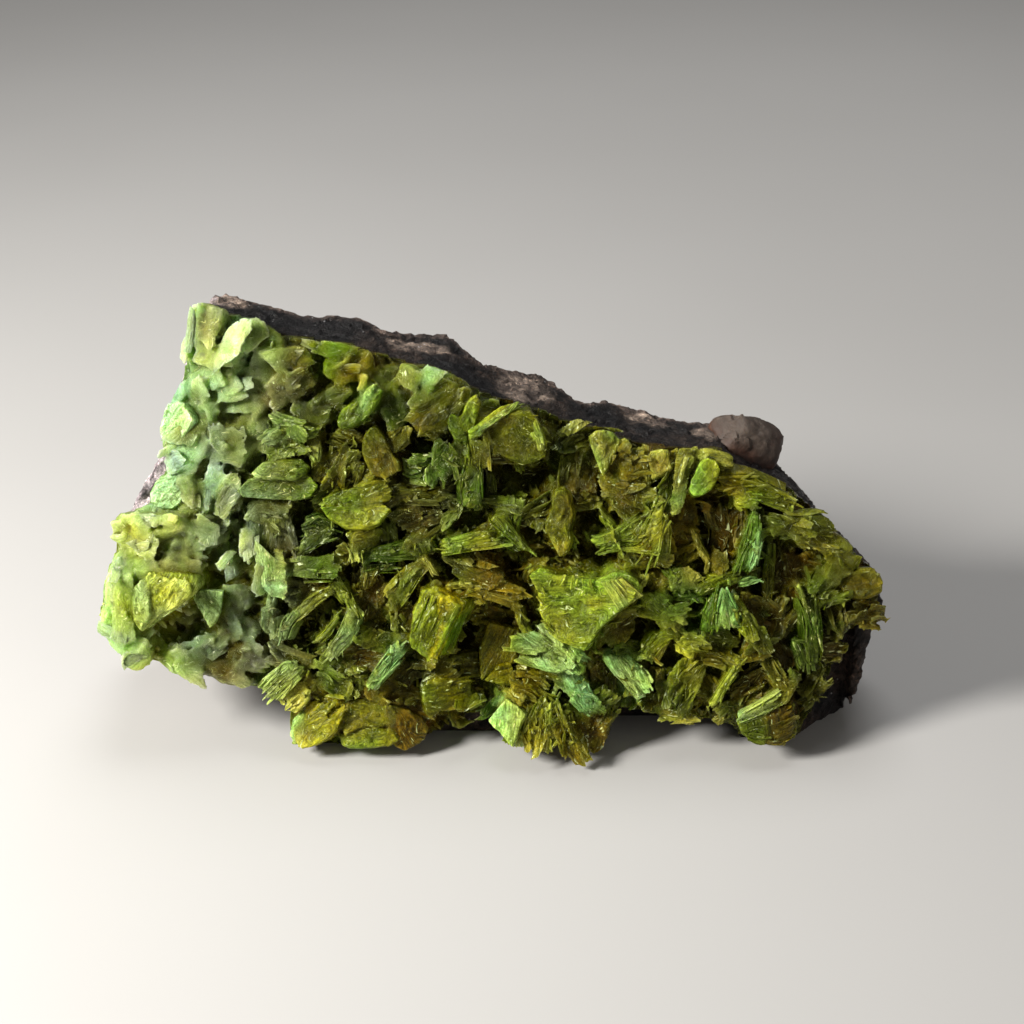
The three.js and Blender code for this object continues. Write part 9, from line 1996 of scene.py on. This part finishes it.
def shards(p, rng, target, stretch, phi):
    """Cuts an outline into splinters that run along phi, as a book cleaves."""
    p = ccw(p)
    m = int(np.clip(round(poly_area(p) / target), 1, 12))
    if m == 1:
        return [p]
    lo, hi = p.min(0), p.max(0)
    cand = lo + rng.random((400, 2)) * (hi - lo)
    cand = cand[poly_sd(cand, p) > 0.02]
    if len(cand) < m:
        return [p]
    T = np.array(((math.cos(phi) / stretch, math.sin(phi) / stretch), (-math.sin(phi), math.cos(phi))))
    M = T.T @ T
    seeds = [cand[0]]
    while len(seeds) < m:
        d = np.min([(((cand - s0) @ T.T) ** 2).sum(1) for s0 in seeds], 0)
        seeds.append(cand[int(np.argmax(d * rng.uniform(0.5, 1.0, len(d))))])
    out = []
    for i, si in enumerate(seeds):
        c = p
        for j, sj in enumerate(seeds):
            if i != j and len(c) > 2:
                c = clip_half(c, 2 * (M @ (sj - si)), sj @ M @ sj - si @ M @ si)
        if len(c) > 2 and poly_area(c) > 0.03:
            out.append(c)
    return out


def grow_outline(p, d):
    p = ccw(p)
    return p + normals2(p) * d


def fibres(bag, outline, w, nu, nv, ang, fan, n, L, W, cls, k, rng, inside=0.0):
    """Fine cleavage fibres lying on a face, along ang and opening by fan across it."""
    p = np.array(outline, float)
    c = p.mean(0)
    lo, hi = p.min(0), p.max(0)
    made = 0
    e2 = np.array((-math.sin(ang), math.cos(ang)))
    while made < n:
        q = lo + rng.random(2) * (hi - lo)
        if poly_sd(q[None], p)[0] < inside:
            continue
        made += 1
        a = ang + fan * float((q - c) @ e2) + rng.normal(0, 0.10)
        ex, ey, en = tilt_axes(nu + rng.normal(0, 0.16), nv + rng.normal(0, 0.16))
        d1 = math.cos(a) * ex + math.sin(a) * ey
        wq = w - nu * (q[0] - c[0]) - nv * (q[1] - c[1]) + rng.uniform(-0.01, 0.07)
        leaf(bag, to_world(np.array((q[0], q[1], wq))), d1, en, L * rng.uniform(0.5, 1.5), W * rng.uniform(0.5, 1.6), rng.uniform(0.04, 0.09),
             class_tint(cls, k * rng.uniform(0.65, 1.4), rng, 0.06), rng, na=5, nb=4)


def crystal(bag, rec, rng, whole, fine):
    """One drawn crystal: a single book, or a sheaf of leaves with their own lean."""
    name, cls, w, nu, nv, t, k, pts = rec
    p = np.array(pts)
    c = p.mean(0)
    area = abs(poly_area(p))
    phi, elong = long_axis(p)
    ok = True
    left = frosted(*c) or c[0] < -11.0
    if whole:
        ok &= plate_body(bag, (name, cls, w, nu, nv, t, k, straighten(p, 0.04)), rng, phi)
        # cleavage steps on its face
        for s in range(int(np.clip(area / 0.9, 1, 7))):
            ang = phi + math.pi / 2 * rng.integers(0, 4) + rng.normal(0, 0.12)
            nrm = np.array((math.cos(ang), math.sin(ang)))
            q = clip_half(grow_outline(straighten(p, 0.04), -rng.uniform(0.03, 0.10)), nrm, c @ nrm + rng.normal(0, 0.3) * math.sqrt(area))
            if len(q) > 3:
                ang2 = ang + math.pi / 2 + rng.normal(0, 0.3)
                n2 = np.array((math.cos(ang2), math.sin(ang2)))
                q = clip_half(q, n2, q.mean(0) @ n2 + abs(rng.normal(0.15, 0.3)) * math.sqrt(area))
            if len(q) > 2 and poly_area(ccw(q)) > 0.10:
                lift = 0.03 + 0.022 * s
                cq = q.mean(0)
                wq = w - nu * (cq[0] - c[0]) - nv * (cq[1] - c[1]) + lift
                plate_body(bag, (name, cls, wq, nu + rng.normal(0, 0.02), nv + rng.normal(0, 0.02), 0.10 + 0.03 * s,
                                 k * rng.uniform(0.8, 1.2), q), rng, phi, small=True)
        if name not in ("square_plate", "small_square_plate", "corner_block"):
            fibres(bag, p, w + 0.01, nu, nv, phi, rng.normal(0, 0.12), int(np.clip(area * 6, 5, 36)), 0.32 * math.sqrt(area) + 0.12, 0.15, cls, k, rng, 0.14)
        return ok
    if left:
        # frosted lump with a few thin plates on it
        k = k * 1.0
        ex, ey, en = tilt_axes(nu, nv)
        pillow(bag, straighten(p, 0.05) - c, to_world(np.array((c[0], c[1], w - 0.14))), ex, ey, en, max(t, 0.7) * 0.9, class_tint(cls, k, rng, 0.06), rng, phi)
    else:
        phi = phi + rng.normal(0, 0.2 if elong > 1.4 else 0.8)
    e1 = np.array((math.cos(phi), math.sin(phi)))
    e2 = np.array((-e1[1], e1[0]))
    target = 0.7 if left else 0.46
    cells_ = shards(straighten(p, 0.05), rng, target * rng.uniform(0.7, 1.4), rng.uniform(1.2, 1.8) if left else rng.uniform(2.2, 3.8), phi)
    fan = rng.normal(0, 0.30)
    up = 1.0 if rng.random() < 0.5 else -1.0
    for q in cells_:
        if left and rng.random() < 0.15:
            continue
        cq = q.mean(0)
        x, y = (q - cq) @ e1, (q - cq) @ e2
        gl, gw = ((0.95, 1.35), (0.95, 1.3)) if left else ((1.05, 1.45), (1.1, 1.45))
        Lq = (x.max() - x.min()) * rng.uniform(*gl) + 0.08
        Wq = (y.max() - y.min()) * rng.uniform(*gw) + 0.06
        roll = float(np.clip(rng.normal(0, 0.34 if left else (0.42 if cls in ("lime", "yellow", "pale", "mint") else 0.62)), -1.4, 1.4))
        pitch = rng.normal(0, 0.16 if left else 0.25) + (0.0 if left else 0.12)
        n1, n2 = nu + roll * e2[0] + pitch * e1[0] * up, nv + roll * e2[1] + pitch * e1[1] * up
        ex, ey, en = tilt_axes(n1, n2)
        ang = phi + fan * float((cq - c) @ e2) + rng.normal(0, 0.10)
        d1 = math.cos(ang) * ex + math.sin(ang) * ey
        d1 = d1 * up
        wq = w - nu * (cq[0] - c[0]) - nv * (cq[1] - c[1]) + rng.normal(0, 0.05) + (0.05 if left else 0.02)
        tint = class_tint(cls, k * (rng.uniform(0.9, 1.25) if left else rng.uniform(0.62, 1.12)), rng, 0.05)
        leaf(bag, to_world(np.array((cq[0], cq[1], wq))), d1, en, Lq, Wq, rng.uniform(0.14, 0.26) if left else rng.uniform(0.08, 0.18), tint, rng,
             kind="plate" if left or rng.random() < 0.2 else "blade", under=0 if left else (1 if rng.random() < 0.5 else 0), na=6, nb=5 if left else 6)
        for _ in range(1 if left else 2):
            if rng.random() < (0.72 if left else 0.25):
                continue
            sh = rng.normal(0, 0.20, 2)
            leaf(fine, to_world(np.array((cq[0] + sh[0] * Lq * e1[0] + sh[1] * Wq * e2[0], cq[1] + sh[0] * Lq * e1[1] + sh[1] * Wq * e2[1], wq + rng.uniform(0.03, 0.10)))),
                 d1 + rng.normal(0, 0.10) * e2[0] * EU + rng.normal(0, 0.10) * e2[1] * EV, en + rng.normal(0, 0.20) * EU + rng.normal(0, 0.20) * EV,
                 Lq * rng.uniform(0.45, 0.95), Wq * (rng.uniform(0.5, 0.9) if left else rng.uniform(0.22, 0.65)), rng.uniform(0.06, 0.11) if left else rng.uniform(0.035, 0.07), tint * rng.uniform(1.0 if left else 0.85, 1.45), rng,
                 kind="plate" if left or rng.random() < 0.3 else "blade", na=5, nb=4)
    return ok


def plate_body(bag, rec, rng, phi, small=False):
    name, cls, w, nu, nv, t, k, pts = rec
    p = np.array(pts)
    c = p.mean(0)
    ex, ey, en = tilt_axes(nu, nv)
    centre = to_world(np.array((c[0], c[1], w)))
    chunky = c[0] < -9.5
    tint = class_tint(cls, k, rng, 0.06)
    if small:
        return book(bag, p - c, centre, ex, ey, en, t, tint, rng, layers=1, step=0.15, jag=0.016, terrace=0.03,
                    relief=0.02, rough_side=0.015, bend=(0.0, 0.0), phi=phi)
    return book(bag, p - c, centre, ex, ey, en, t * (1.15 if chunky else 1.0), tint, rng,
                layers=int(np.clip(round(t / (0.17 if chunky else 0.12)), 3, 7)),
                step=0.18, jag=0.018, terrace=0.08 if not chunky else 0.14,
                relief=0.03, rough_side=0.036, round_off=0.04 if chunky else 0.0,
                bend=rng.normal(0, 0.10, 2), phi=phi)


def frosted(u, v):
    """The left end and the upper left border, where the crystals have grown into a soft mass."""
    return u < -12.0 or (v > 18.0 and u < 0.3)


def region(u, v):
    if frosted(u, v):
        return "left"
    return next(r[0] for r in REG[1:] if u < r[2])


REG = [("left", -30, -12.5), ("left_middle", -12.5, -7.5), ("middle", -7.5, -3.0), ("centre", -3.0, 2.5), ("right_middle", 2.5, 7.5), ("right", 7.5, 12.5), ("far_right", 12.5, 30)]
bags = {r[0]: Bag() for r in REG}
named_bags = {n: Bag() for n, _ in LARGE}
fines = {r[0]: Bag() for r in REG}          # thin leaves that stand free of the mass
named_fine = {n: Bag() for n, _ in LARGE}
rng = np.random.default_rng(20)
bad = []


def strips(bag, quad, w, n, t, cls, k, rng):
    """A block whose face is cut into n parallel cleavage strips: quad is its outline, strips run from side 0-1 to side 3-2."""
    a, b, c, d = [np.array(p, float) for p in quad]
    cuts = np.concatenate(([0], np.cumsum(rng.uniform(0.5, 1.5, n))))
    cuts /= cuts[-1]
    for i in range(n):
        s0, s1 = cuts[i] + 0.004, cuts[i + 1] - 0.004
        q = np.array((a + (b - a) * s0, a + (b - a) * s1, d + (c - d) * s1, d + (c - d) * s0))
        q = q + (q - q.mean(0)) * rng.uniform(-0.02, 0.03)
        m = q.mean(0)
        nu, nv = rng.normal(0, 0.04, 2)
        ex, ey, en = tilt_axes(nu, nv)
        book(bag, q - m, to_world(np.array((m[0], m[1], w + 0.05 * (i % 2) + rng.normal(0, 0.03)))), ex, ey, en, t, class_tint(cls, k * (1.15 if i % 2 else 0.8) * rng.uniform(0.9, 1.1), rng, 0.04),
             rng, layers=2, step=0.2, jag=0.006, terrace=0.01, relief=0.01, rough_side=0.01, bend=(0.0, 0.0),
             phi=math.atan2(d[1] - a[1], d[0] - a[0]))


DOME = ((-0.3, 17.9), (0.3, 18.5), (1.0, 18.95), (1.9, 18.95), (2.5, 18.5), (2.85, 17.8), (2.95, 17.2), (2.75, 16.6), (1.9, 16.25), (1.2, 16.5), (0.4, 16.7), (0.0, 17.0))
fibres(named_bags["crown_book"], DOME, 1.56, 0.0, 0.0, -0.9, 0.25, 34, 0.60, 0.26, "yellow", 0.75, rng, 0.30)
fibres(named_fine["crown_book"], ((-1.0, 17.9), (-0.5, 18.2), (0.5, 18.95), (1.2, 19.3), (1.5, 19.2), (0.6, 18.7), (-0.3, 18.1)), 1.72, -0.2, 0.9, 0.62, 0.0, 22, 1.1, 0.18, "mint", 0.80, rng, 0.08)
fibres(named_fine["triangular_book"], ((2.2, 10.3), (2.7, 10.5), (3.0, 9.6), (3.0, 8.4), (3.6, 7.2), (3.2, 7.1), (2.6, 8.2), (2.5, 9.3)), 2.30, -0.15, 0.1, 2.2, 0.6, 12, 0.55, 0.12, "lime", 0.9, rng, 0.12)
fibres(named_fine["triangular_book"], ((2.6, 10.5), (4.2, 10.2), (5.6, 10.1), (5.6, 9.7), (4.2, 9.8), (2.8, 10.1)), 2.34, -0.15, 0.1, 1.2, -0.5, 10, 0.5, 0.12, "lime", 0.9, rng, 0.05)
strips(named_fine["triangular_book"], ((5.85, 10.20), (6.95, 10.45), (8.05, 9.50), (6.75, 8.75)), 3.02, 8, 0.5, "pale", 1.55, rng)
for idx_, rec in enumerate(PLATES):
    key = region(*np.mean(np.array(rec[7]), 0))
    bag = named_bags[rec[0]] if rec[0] else bags[key]
    if not crystal(bag, rec, rng, bool(rec[0]), named_fine[rec[0]] if rec[0] else fines[key]):
        bad.append(idx_)
for rec in RIBBONS:
    name, cls, wa, wb, n, d, k, a, b = rec
    key = region(*np.mean(np.array(a), 0))
    bag = named_bags[name] if name else bags[key]
    ribbon(bag, wa, wb, n, d, k, cls, a, b, rng, named_fine[name] if name else fines[key])
print("plates that could not be built:", bad)

# ------------------------------------------------------------------ small crystals between the large ones
def zone_at(uv, rng):
    d = np.hypot(ZC[:, 0] - uv[0], ZC[:, 1] - uv[1]) / ZC[:, 2]
    wgt = np.exp(-2.2 * d * d) + 1e-9
    return ZONES[int(rng.choice(len(ZONES), p=wgt / wgt.sum()))]


def poly_outline(rng, r, aspect=1.0, n=None):
    n = n or int(rng.integers(4, 8))
    a = np.sort(np.arange(n) * 2 * math.pi / n + rng.normal(0, 0.22, n))
    rad = r * (1 + rng.normal(0, 0.14, n))
    p = np.stack((np.cos(a) * rad * aspect, np.sin(a) * rad), 1)
    return ccw(p)


def fillers(spacing, seed, scale, cover, flake, stand, free=False):
    """Small leaves scattered over the ground between the drawn crystals, one about every spacing."""
    rg = np.random.default_rng(seed)
    flow_seed = 900
    xs = np.arange(U0, U1, spacing)
    ys = np.arange(V0, V1, spacing)
    pts = np.array([(x, y) for x in xs for y in ys]) + rg.uniform(-0.5, 0.5, (len(xs) * len(ys), 2)) * spacing
    sd = look(SDO, pts)
    bs = look(BASE, pts)
    cr = look(CROWN, pts)
    tp = look(TOPS, pts)
    sg = look(SINGLE, pts)
    flow = 2.6 * noise3(np.column_stack((pts, np.zeros(len(pts)))), 0.35, flow_seed)
    order = rg.permutation(len(pts))
    for i in order:
        if sd[i] < 0.10:
            continue
        uv = pts[i]
        left = frosted(*uv)
        covered = cr[i] > bs[i] + 0.05 and cr[i] > -5
        if covered and sg[i] > 0.2:
            continue
        if covered and rg.random() > cover * (0.3 if left else 1.0):
            continue
        z = zone_at(uv, rg)
        cls = rg.choice(list(z[5]), p=np.array(list(z[5].values()), float) / sum(z[5].values()))
        deep = smoothstep(0.4, 2.0, tp[i] - bs[i])
        k = z[6] * rg.uniform(0.75, 1.25)
        tint = class_tint(cls, k, rg, 0.10)
        key = region(*uv)
        bag = fines[key] if free else bags[key]
        size = z[4] * scale * rg.uniform(0.6, 1.3) * (0.7 if left else 1.0) * (0.5 + 0.5 * smoothstep(0.0, 1.0, sd[i]))
        blade = rg.random() < (z[3] if not covered else stand * z[3])
        ang = flow[i] + rg.normal(0, 0.45)
        run = math.cos(ang) * EU + math.sin(ang) * EV
        if blade:
            # leans out of the crust and is seen partly on edge
            d1 = rg.uniform(0.25, 0.9) * EW + run
            en = EW + rg.normal(0, 0.75) * EU + rg.normal(0, 0.75) * EV
            L, W, T = size * rg.uniform(1.5, 2.6), size * rg.uniform(0.35, 0.8), rg.uniform(0.05, 0.12)
            lvl = (cr[i] if covered else bs[i]) + size * rg.uniform(0.05, 0.4)
        else:
            d1 = run + rg.normal(0, 0.25) * EW
            en = EW + (0.25 if covered or left else 0.5) * (rg.normal() * EU + rg.normal() * EV)
            L, W, T = size * rg.uniform(0.9, 1.7), size * rg.uniform(0.6, 1.1), rg.uniform(0.06, 0.14)
            lvl = (cr[i] if covered else bs[i]) + size * rg.uniform(0.0, 0.22)
        if covered:
            L, W = L * flake, W * flake
        if left:
            T = T + 0.10
        d1 = d1 / np.linalg.norm(d1)
        en = en - (en @ d1) * d1
        en /= max(np.linalg.norm(en), 1e-6)
        c = to_world(np.array((uv[0], uv[1], lvl)))
        leaf(bag, c, d1, en, L, W, T, tint, rg, kind="blade" if blade or rg.random() < 0.4 else "plate", under=0, na=4 if free else (5 if size < 0.5 else 6), nb=3 if free else 4)


fillers(0.70, 101, 1.70, 0.20, 0.6, 0.5)
fillers(0.52, 102, 1.15, 0.20, 0.7, 0.6)
fillers(0.50, 103, 0.80, 0.16, 0.9, 0.6, True)


def slivers(spacing, seed, size, thin):
    """Fine bright splinters along the cleavage of the crystals they stand on."""
    rg = np.random.default_rng(seed)
    xs = np.arange(U0, U1, spacing)
    ys = np.arange(V0, V1, spacing)
    pts = np.array([(x, y) for x in xs for y in ys]) + rg.uniform(-0.5, 0.5, (len(xs) * len(ys), 2)) * spacing
    sd, top = look(SDO, pts), np.maximum(look(CROWN, pts), look(BASE, pts))
    tp = look(TOPS, pts)
    flow = 3.4 * noise3(np.column_stack((pts, np.zeros(len(pts)))), 0.55, 977)
    fc = look(FIELD, pts)
    sg = look(SINGLE, pts)
    for i in range(len(pts)):
        if sd[i] < 0.15 or (pts[i, 0] < -9.5 and rg.random() < 0.45):
            continue
        if tp[i] - top[i] > 0.7 or sg[i] > 0.2 or rg.random() < 0.35:
            continue
        ang = flow[i] + rg.normal(0, 0.3)
        d1 = math.cos(ang) * EU + math.sin(ang) * EV + rg.normal(0.08, 0.14) * EW
        d1 /= np.linalg.norm(d1)
        en = EW + rg.normal(0, 0.6) * EU + rg.normal(0, 0.6) * EV
        L = size * rg.uniform(0.5, 1.5)
        # the splinters are painted brighter than the crystal colour under them, partly their own paler colour and
        # partly a painted highlight
        k = rg.uniform(0.9, 1.7)
        key = region(*pts[i])
        if key == "left":
            continue
        leaf(fines[key], to_world(np.array((pts[i, 0], pts[i, 1], top[i] + rg.uniform(0.0, 0.10)))), d1, en, L, L * thin * rg.uniform(0.6, 1.5), 0.05,
             fc[i] * k + np.array((0.02, 0.03, 0.006)), rg, kind="blade", under=0, na=4, nb=3)


slivers(0.62, 201, 0.62, 0.26)

mats = {r[0]: crystal_material("autunite_" + r[0], see=0.06 if r[0] == "left" else 0.10,
                               rough=0.24 if r[0] == "left" else 0.16, glow=0.65 if r[0] == "left" else 0.32, pale=(0.62, 0.72, 0.36) if r[0] == "left" else (0.58, 0.66, 0.17),
                               depth=0.0018 if r[0] == "left" else 0.0007, calm=0.5 if r[0] == "left" else 0.0) for r in REG}
pieces = []


def ground_slab(key, u0, u1):
    """The ground of one region as a body of its own, to grow together with what stands on it."""
    lap = 0.3
    if key == "left":
        mine = (gu < -12.0 + lap) | ((gv > 18.0 - lap) & (gu < 0.3 + lap))
    else:
        mine = (gu > u0 - lap) & (gu < u1 + lap) & ((gv < 18.0 + lap) | (gu > 0.3 - lap))
    keep = (SDO > (0.12 if key == "left" else 0.30)) & mine
    cell = keep[:-1, :-1] & keep[1:, :-1] & keep[:-1, 1:] & keep[1:, 1:]
    ci, cj = np.where(cell)
    a, b, c, d = ci * NV + cj, (ci + 1) * NV + cj, (ci + 1) * NV + cj + 1, ci * NV + cj + 1
    top = np.concatenate((np.stack((a, b, c), 1), np.stack((a, c, d), 1)))
    e = np.concatenate((top[:, [0, 1]], top[:, [1, 2]], top[:, [2, 0]]))
    n = NU * NV
    bd = e[~np.isin(e[:, 0] * n + e[:, 1], e[:, 1] * n + e[:, 0])]
    lvl = GROUND.ravel()
    q = np.column_stack((G2, lvl))
    q2 = np.column_stack((G2, lvl - 0.45))
    f = np.concatenate((top, top[:, ::-1] + n, np.stack((bd[:, 1], bd[:, 0], bd[:, 0] + n), 1), np.stack((bd[:, 1], bd[:, 0] + n, bd[:, 1] + n), 1)))
    v = to_world(np.concatenate((q, q2)))
    used = np.unique(f)
    idx = np.zeros(2 * n, int)
    idx[used] = np.arange(len(used))
    bags[key].add(v[used], idx[f], np.tile(FIELD.reshape(-1, 3), (2, 1))[used])


lvl_ = BASE.ravel() + ground_relief(G2) * smoothstep(0.0, 0.35, SD_OUT)
lm_ = np.maximum(smoothstep(-11.0, -12.5, G2[:, 0]), smoothstep(17.2, 18.2, G2[:, 1]) * smoothstep(0.8, 0.0, G2[:, 0]))
fill_ = TOPS.ravel() - 0.30 * lm_ - 1.05 * (1 - lm_) + 0.22 * fbm(np.column_stack((G2, np.zeros(len(G2)))), 0.9, 3, 611)
lvl_ = np.maximum(lvl_, fill_)
lvl_ = np.maximum(np.minimum(lvl_, TOPS.ravel() + 0.05), rear_level(SD_OUT) + 0.45)
GROUND = lvl_.reshape(NU, NV)
for r in REG:
    ground_slab(*r)
for r in REG:
    lf_ = r[0] == "left"
    pieces.append(melted("autunite_crystals_" + r[0], bags[r[0]], mats[r[0]], ("autunite_crust",), 0.10 if lf_ else 0.092,
                         84000 if lf_ else 60000, 0.55 if lf_ else 0.42, 0.42, (0.5, 0.2) if lf_ else (0.28,), 0.055 if lf_ else 0.018, 62 if lf_ else 46, fine=fines[r[0]]))
for n, c in LARGE:
    m = crystal_material("autunite_" + n, see=0.16, rough=0.18, glow=0.35, depth=0.0008)
    b = named_bags[n]
    full = np.concatenate(b.V)
    lo_, hi_ = full.min(0), full.max(0)
    want = int(np.clip(1200 * (hi_[0] - lo_[0]) * (hi_[2] - lo_[2]), 2000, 11000))
    pieces.append(melted(n + "_crystal", b, m, (n,), 0.078, want, 0.15, 0.42, (0.28,), 0.012, 40, 60, named_fine[n]))
crust_base()
build_rock()
build_quartz()

# ------------------------------------------------------------------ floor, light, camera
bpy.ops.mesh.primitive_plane_add(size=3.0, location=(0, 0, 0))
floor = bpy.context.object
floor.name = "floor"
fm, nt, b, out = material("floor")
n1 = node(nt, "ShaderNodeTexNoise", inputs={"Scale": 40.0, "Detail": 3.0})
nt.links.new(mixc(nt, maprange(nt, n1.outputs["Fac"], 0.3, 0.7, 0, 1), (0.47, 0.455, 0.435), (0.50, 0.485, 0.465)), b.inputs["Base Color"])
b.inputs["Roughness"].default_value = 0.9
floor.data.materials.append(fm)


def area(name, loc, target, size, power, color=(1, 1, 1)):
    l = bpy.data.lights.new(name, "AREA")
    l.shape = "DISK"
    l.size = size
    l.energy = power
    l.color = color
    o = bpy.data.objects.new(name, l)
    bpy.context.scene.collection.objects.link(o)
    o.location = loc
    o.rotation_euler = (Vector(target) - Vector(loc)).to_track_quat("-Z", "Y").to_euler()
    return o


area("key", (-0.105, -0.050, 0.085), (-0.008, 0, 0.010), 0.038, 0.36, (1.0, 0.985, 0.95))
area("top", (0.02, 0.08, 0.26), (0, 0, 0.01), 0.16, 0.30, (0.95, 0.97, 1.0))
area("fill", (0.22, -0.20, 0.12), (0, 0, 0.010), 0.20, 0.08, (1.0, 0.97, 0.93))
w = bpy.data.worlds.new("studio")
w.use_nodes = True
bg = w.node_tree.nodes.get("Background") or w.node_tree.nodes.new("ShaderNodeBackground")
bg.inputs[0].default_value = (1.0, 0.98, 0.94, 1)
bg.inputs[1].default_value = 0.12
bpy.context.scene.world = w

cam = bpy.data.cameras.new("camera")
cam.sensor_width = 36.0
cam.lens = 1716.0 / 1024.0 * 36.0
cam.clip_start = 0.005
cam.clip_end = 10
co = bpy.data.objects.new("camera", cam)
bpy.context.scene.collection.objects.link(co)
co.location = (0.00108, -0.082567, 0.058697)
co.rotation_euler = (math.radians(60.0), 0, 0)
bpy.context.scene.camera = co
bpy.context.scene.view_settings.view_transform = "Standard"
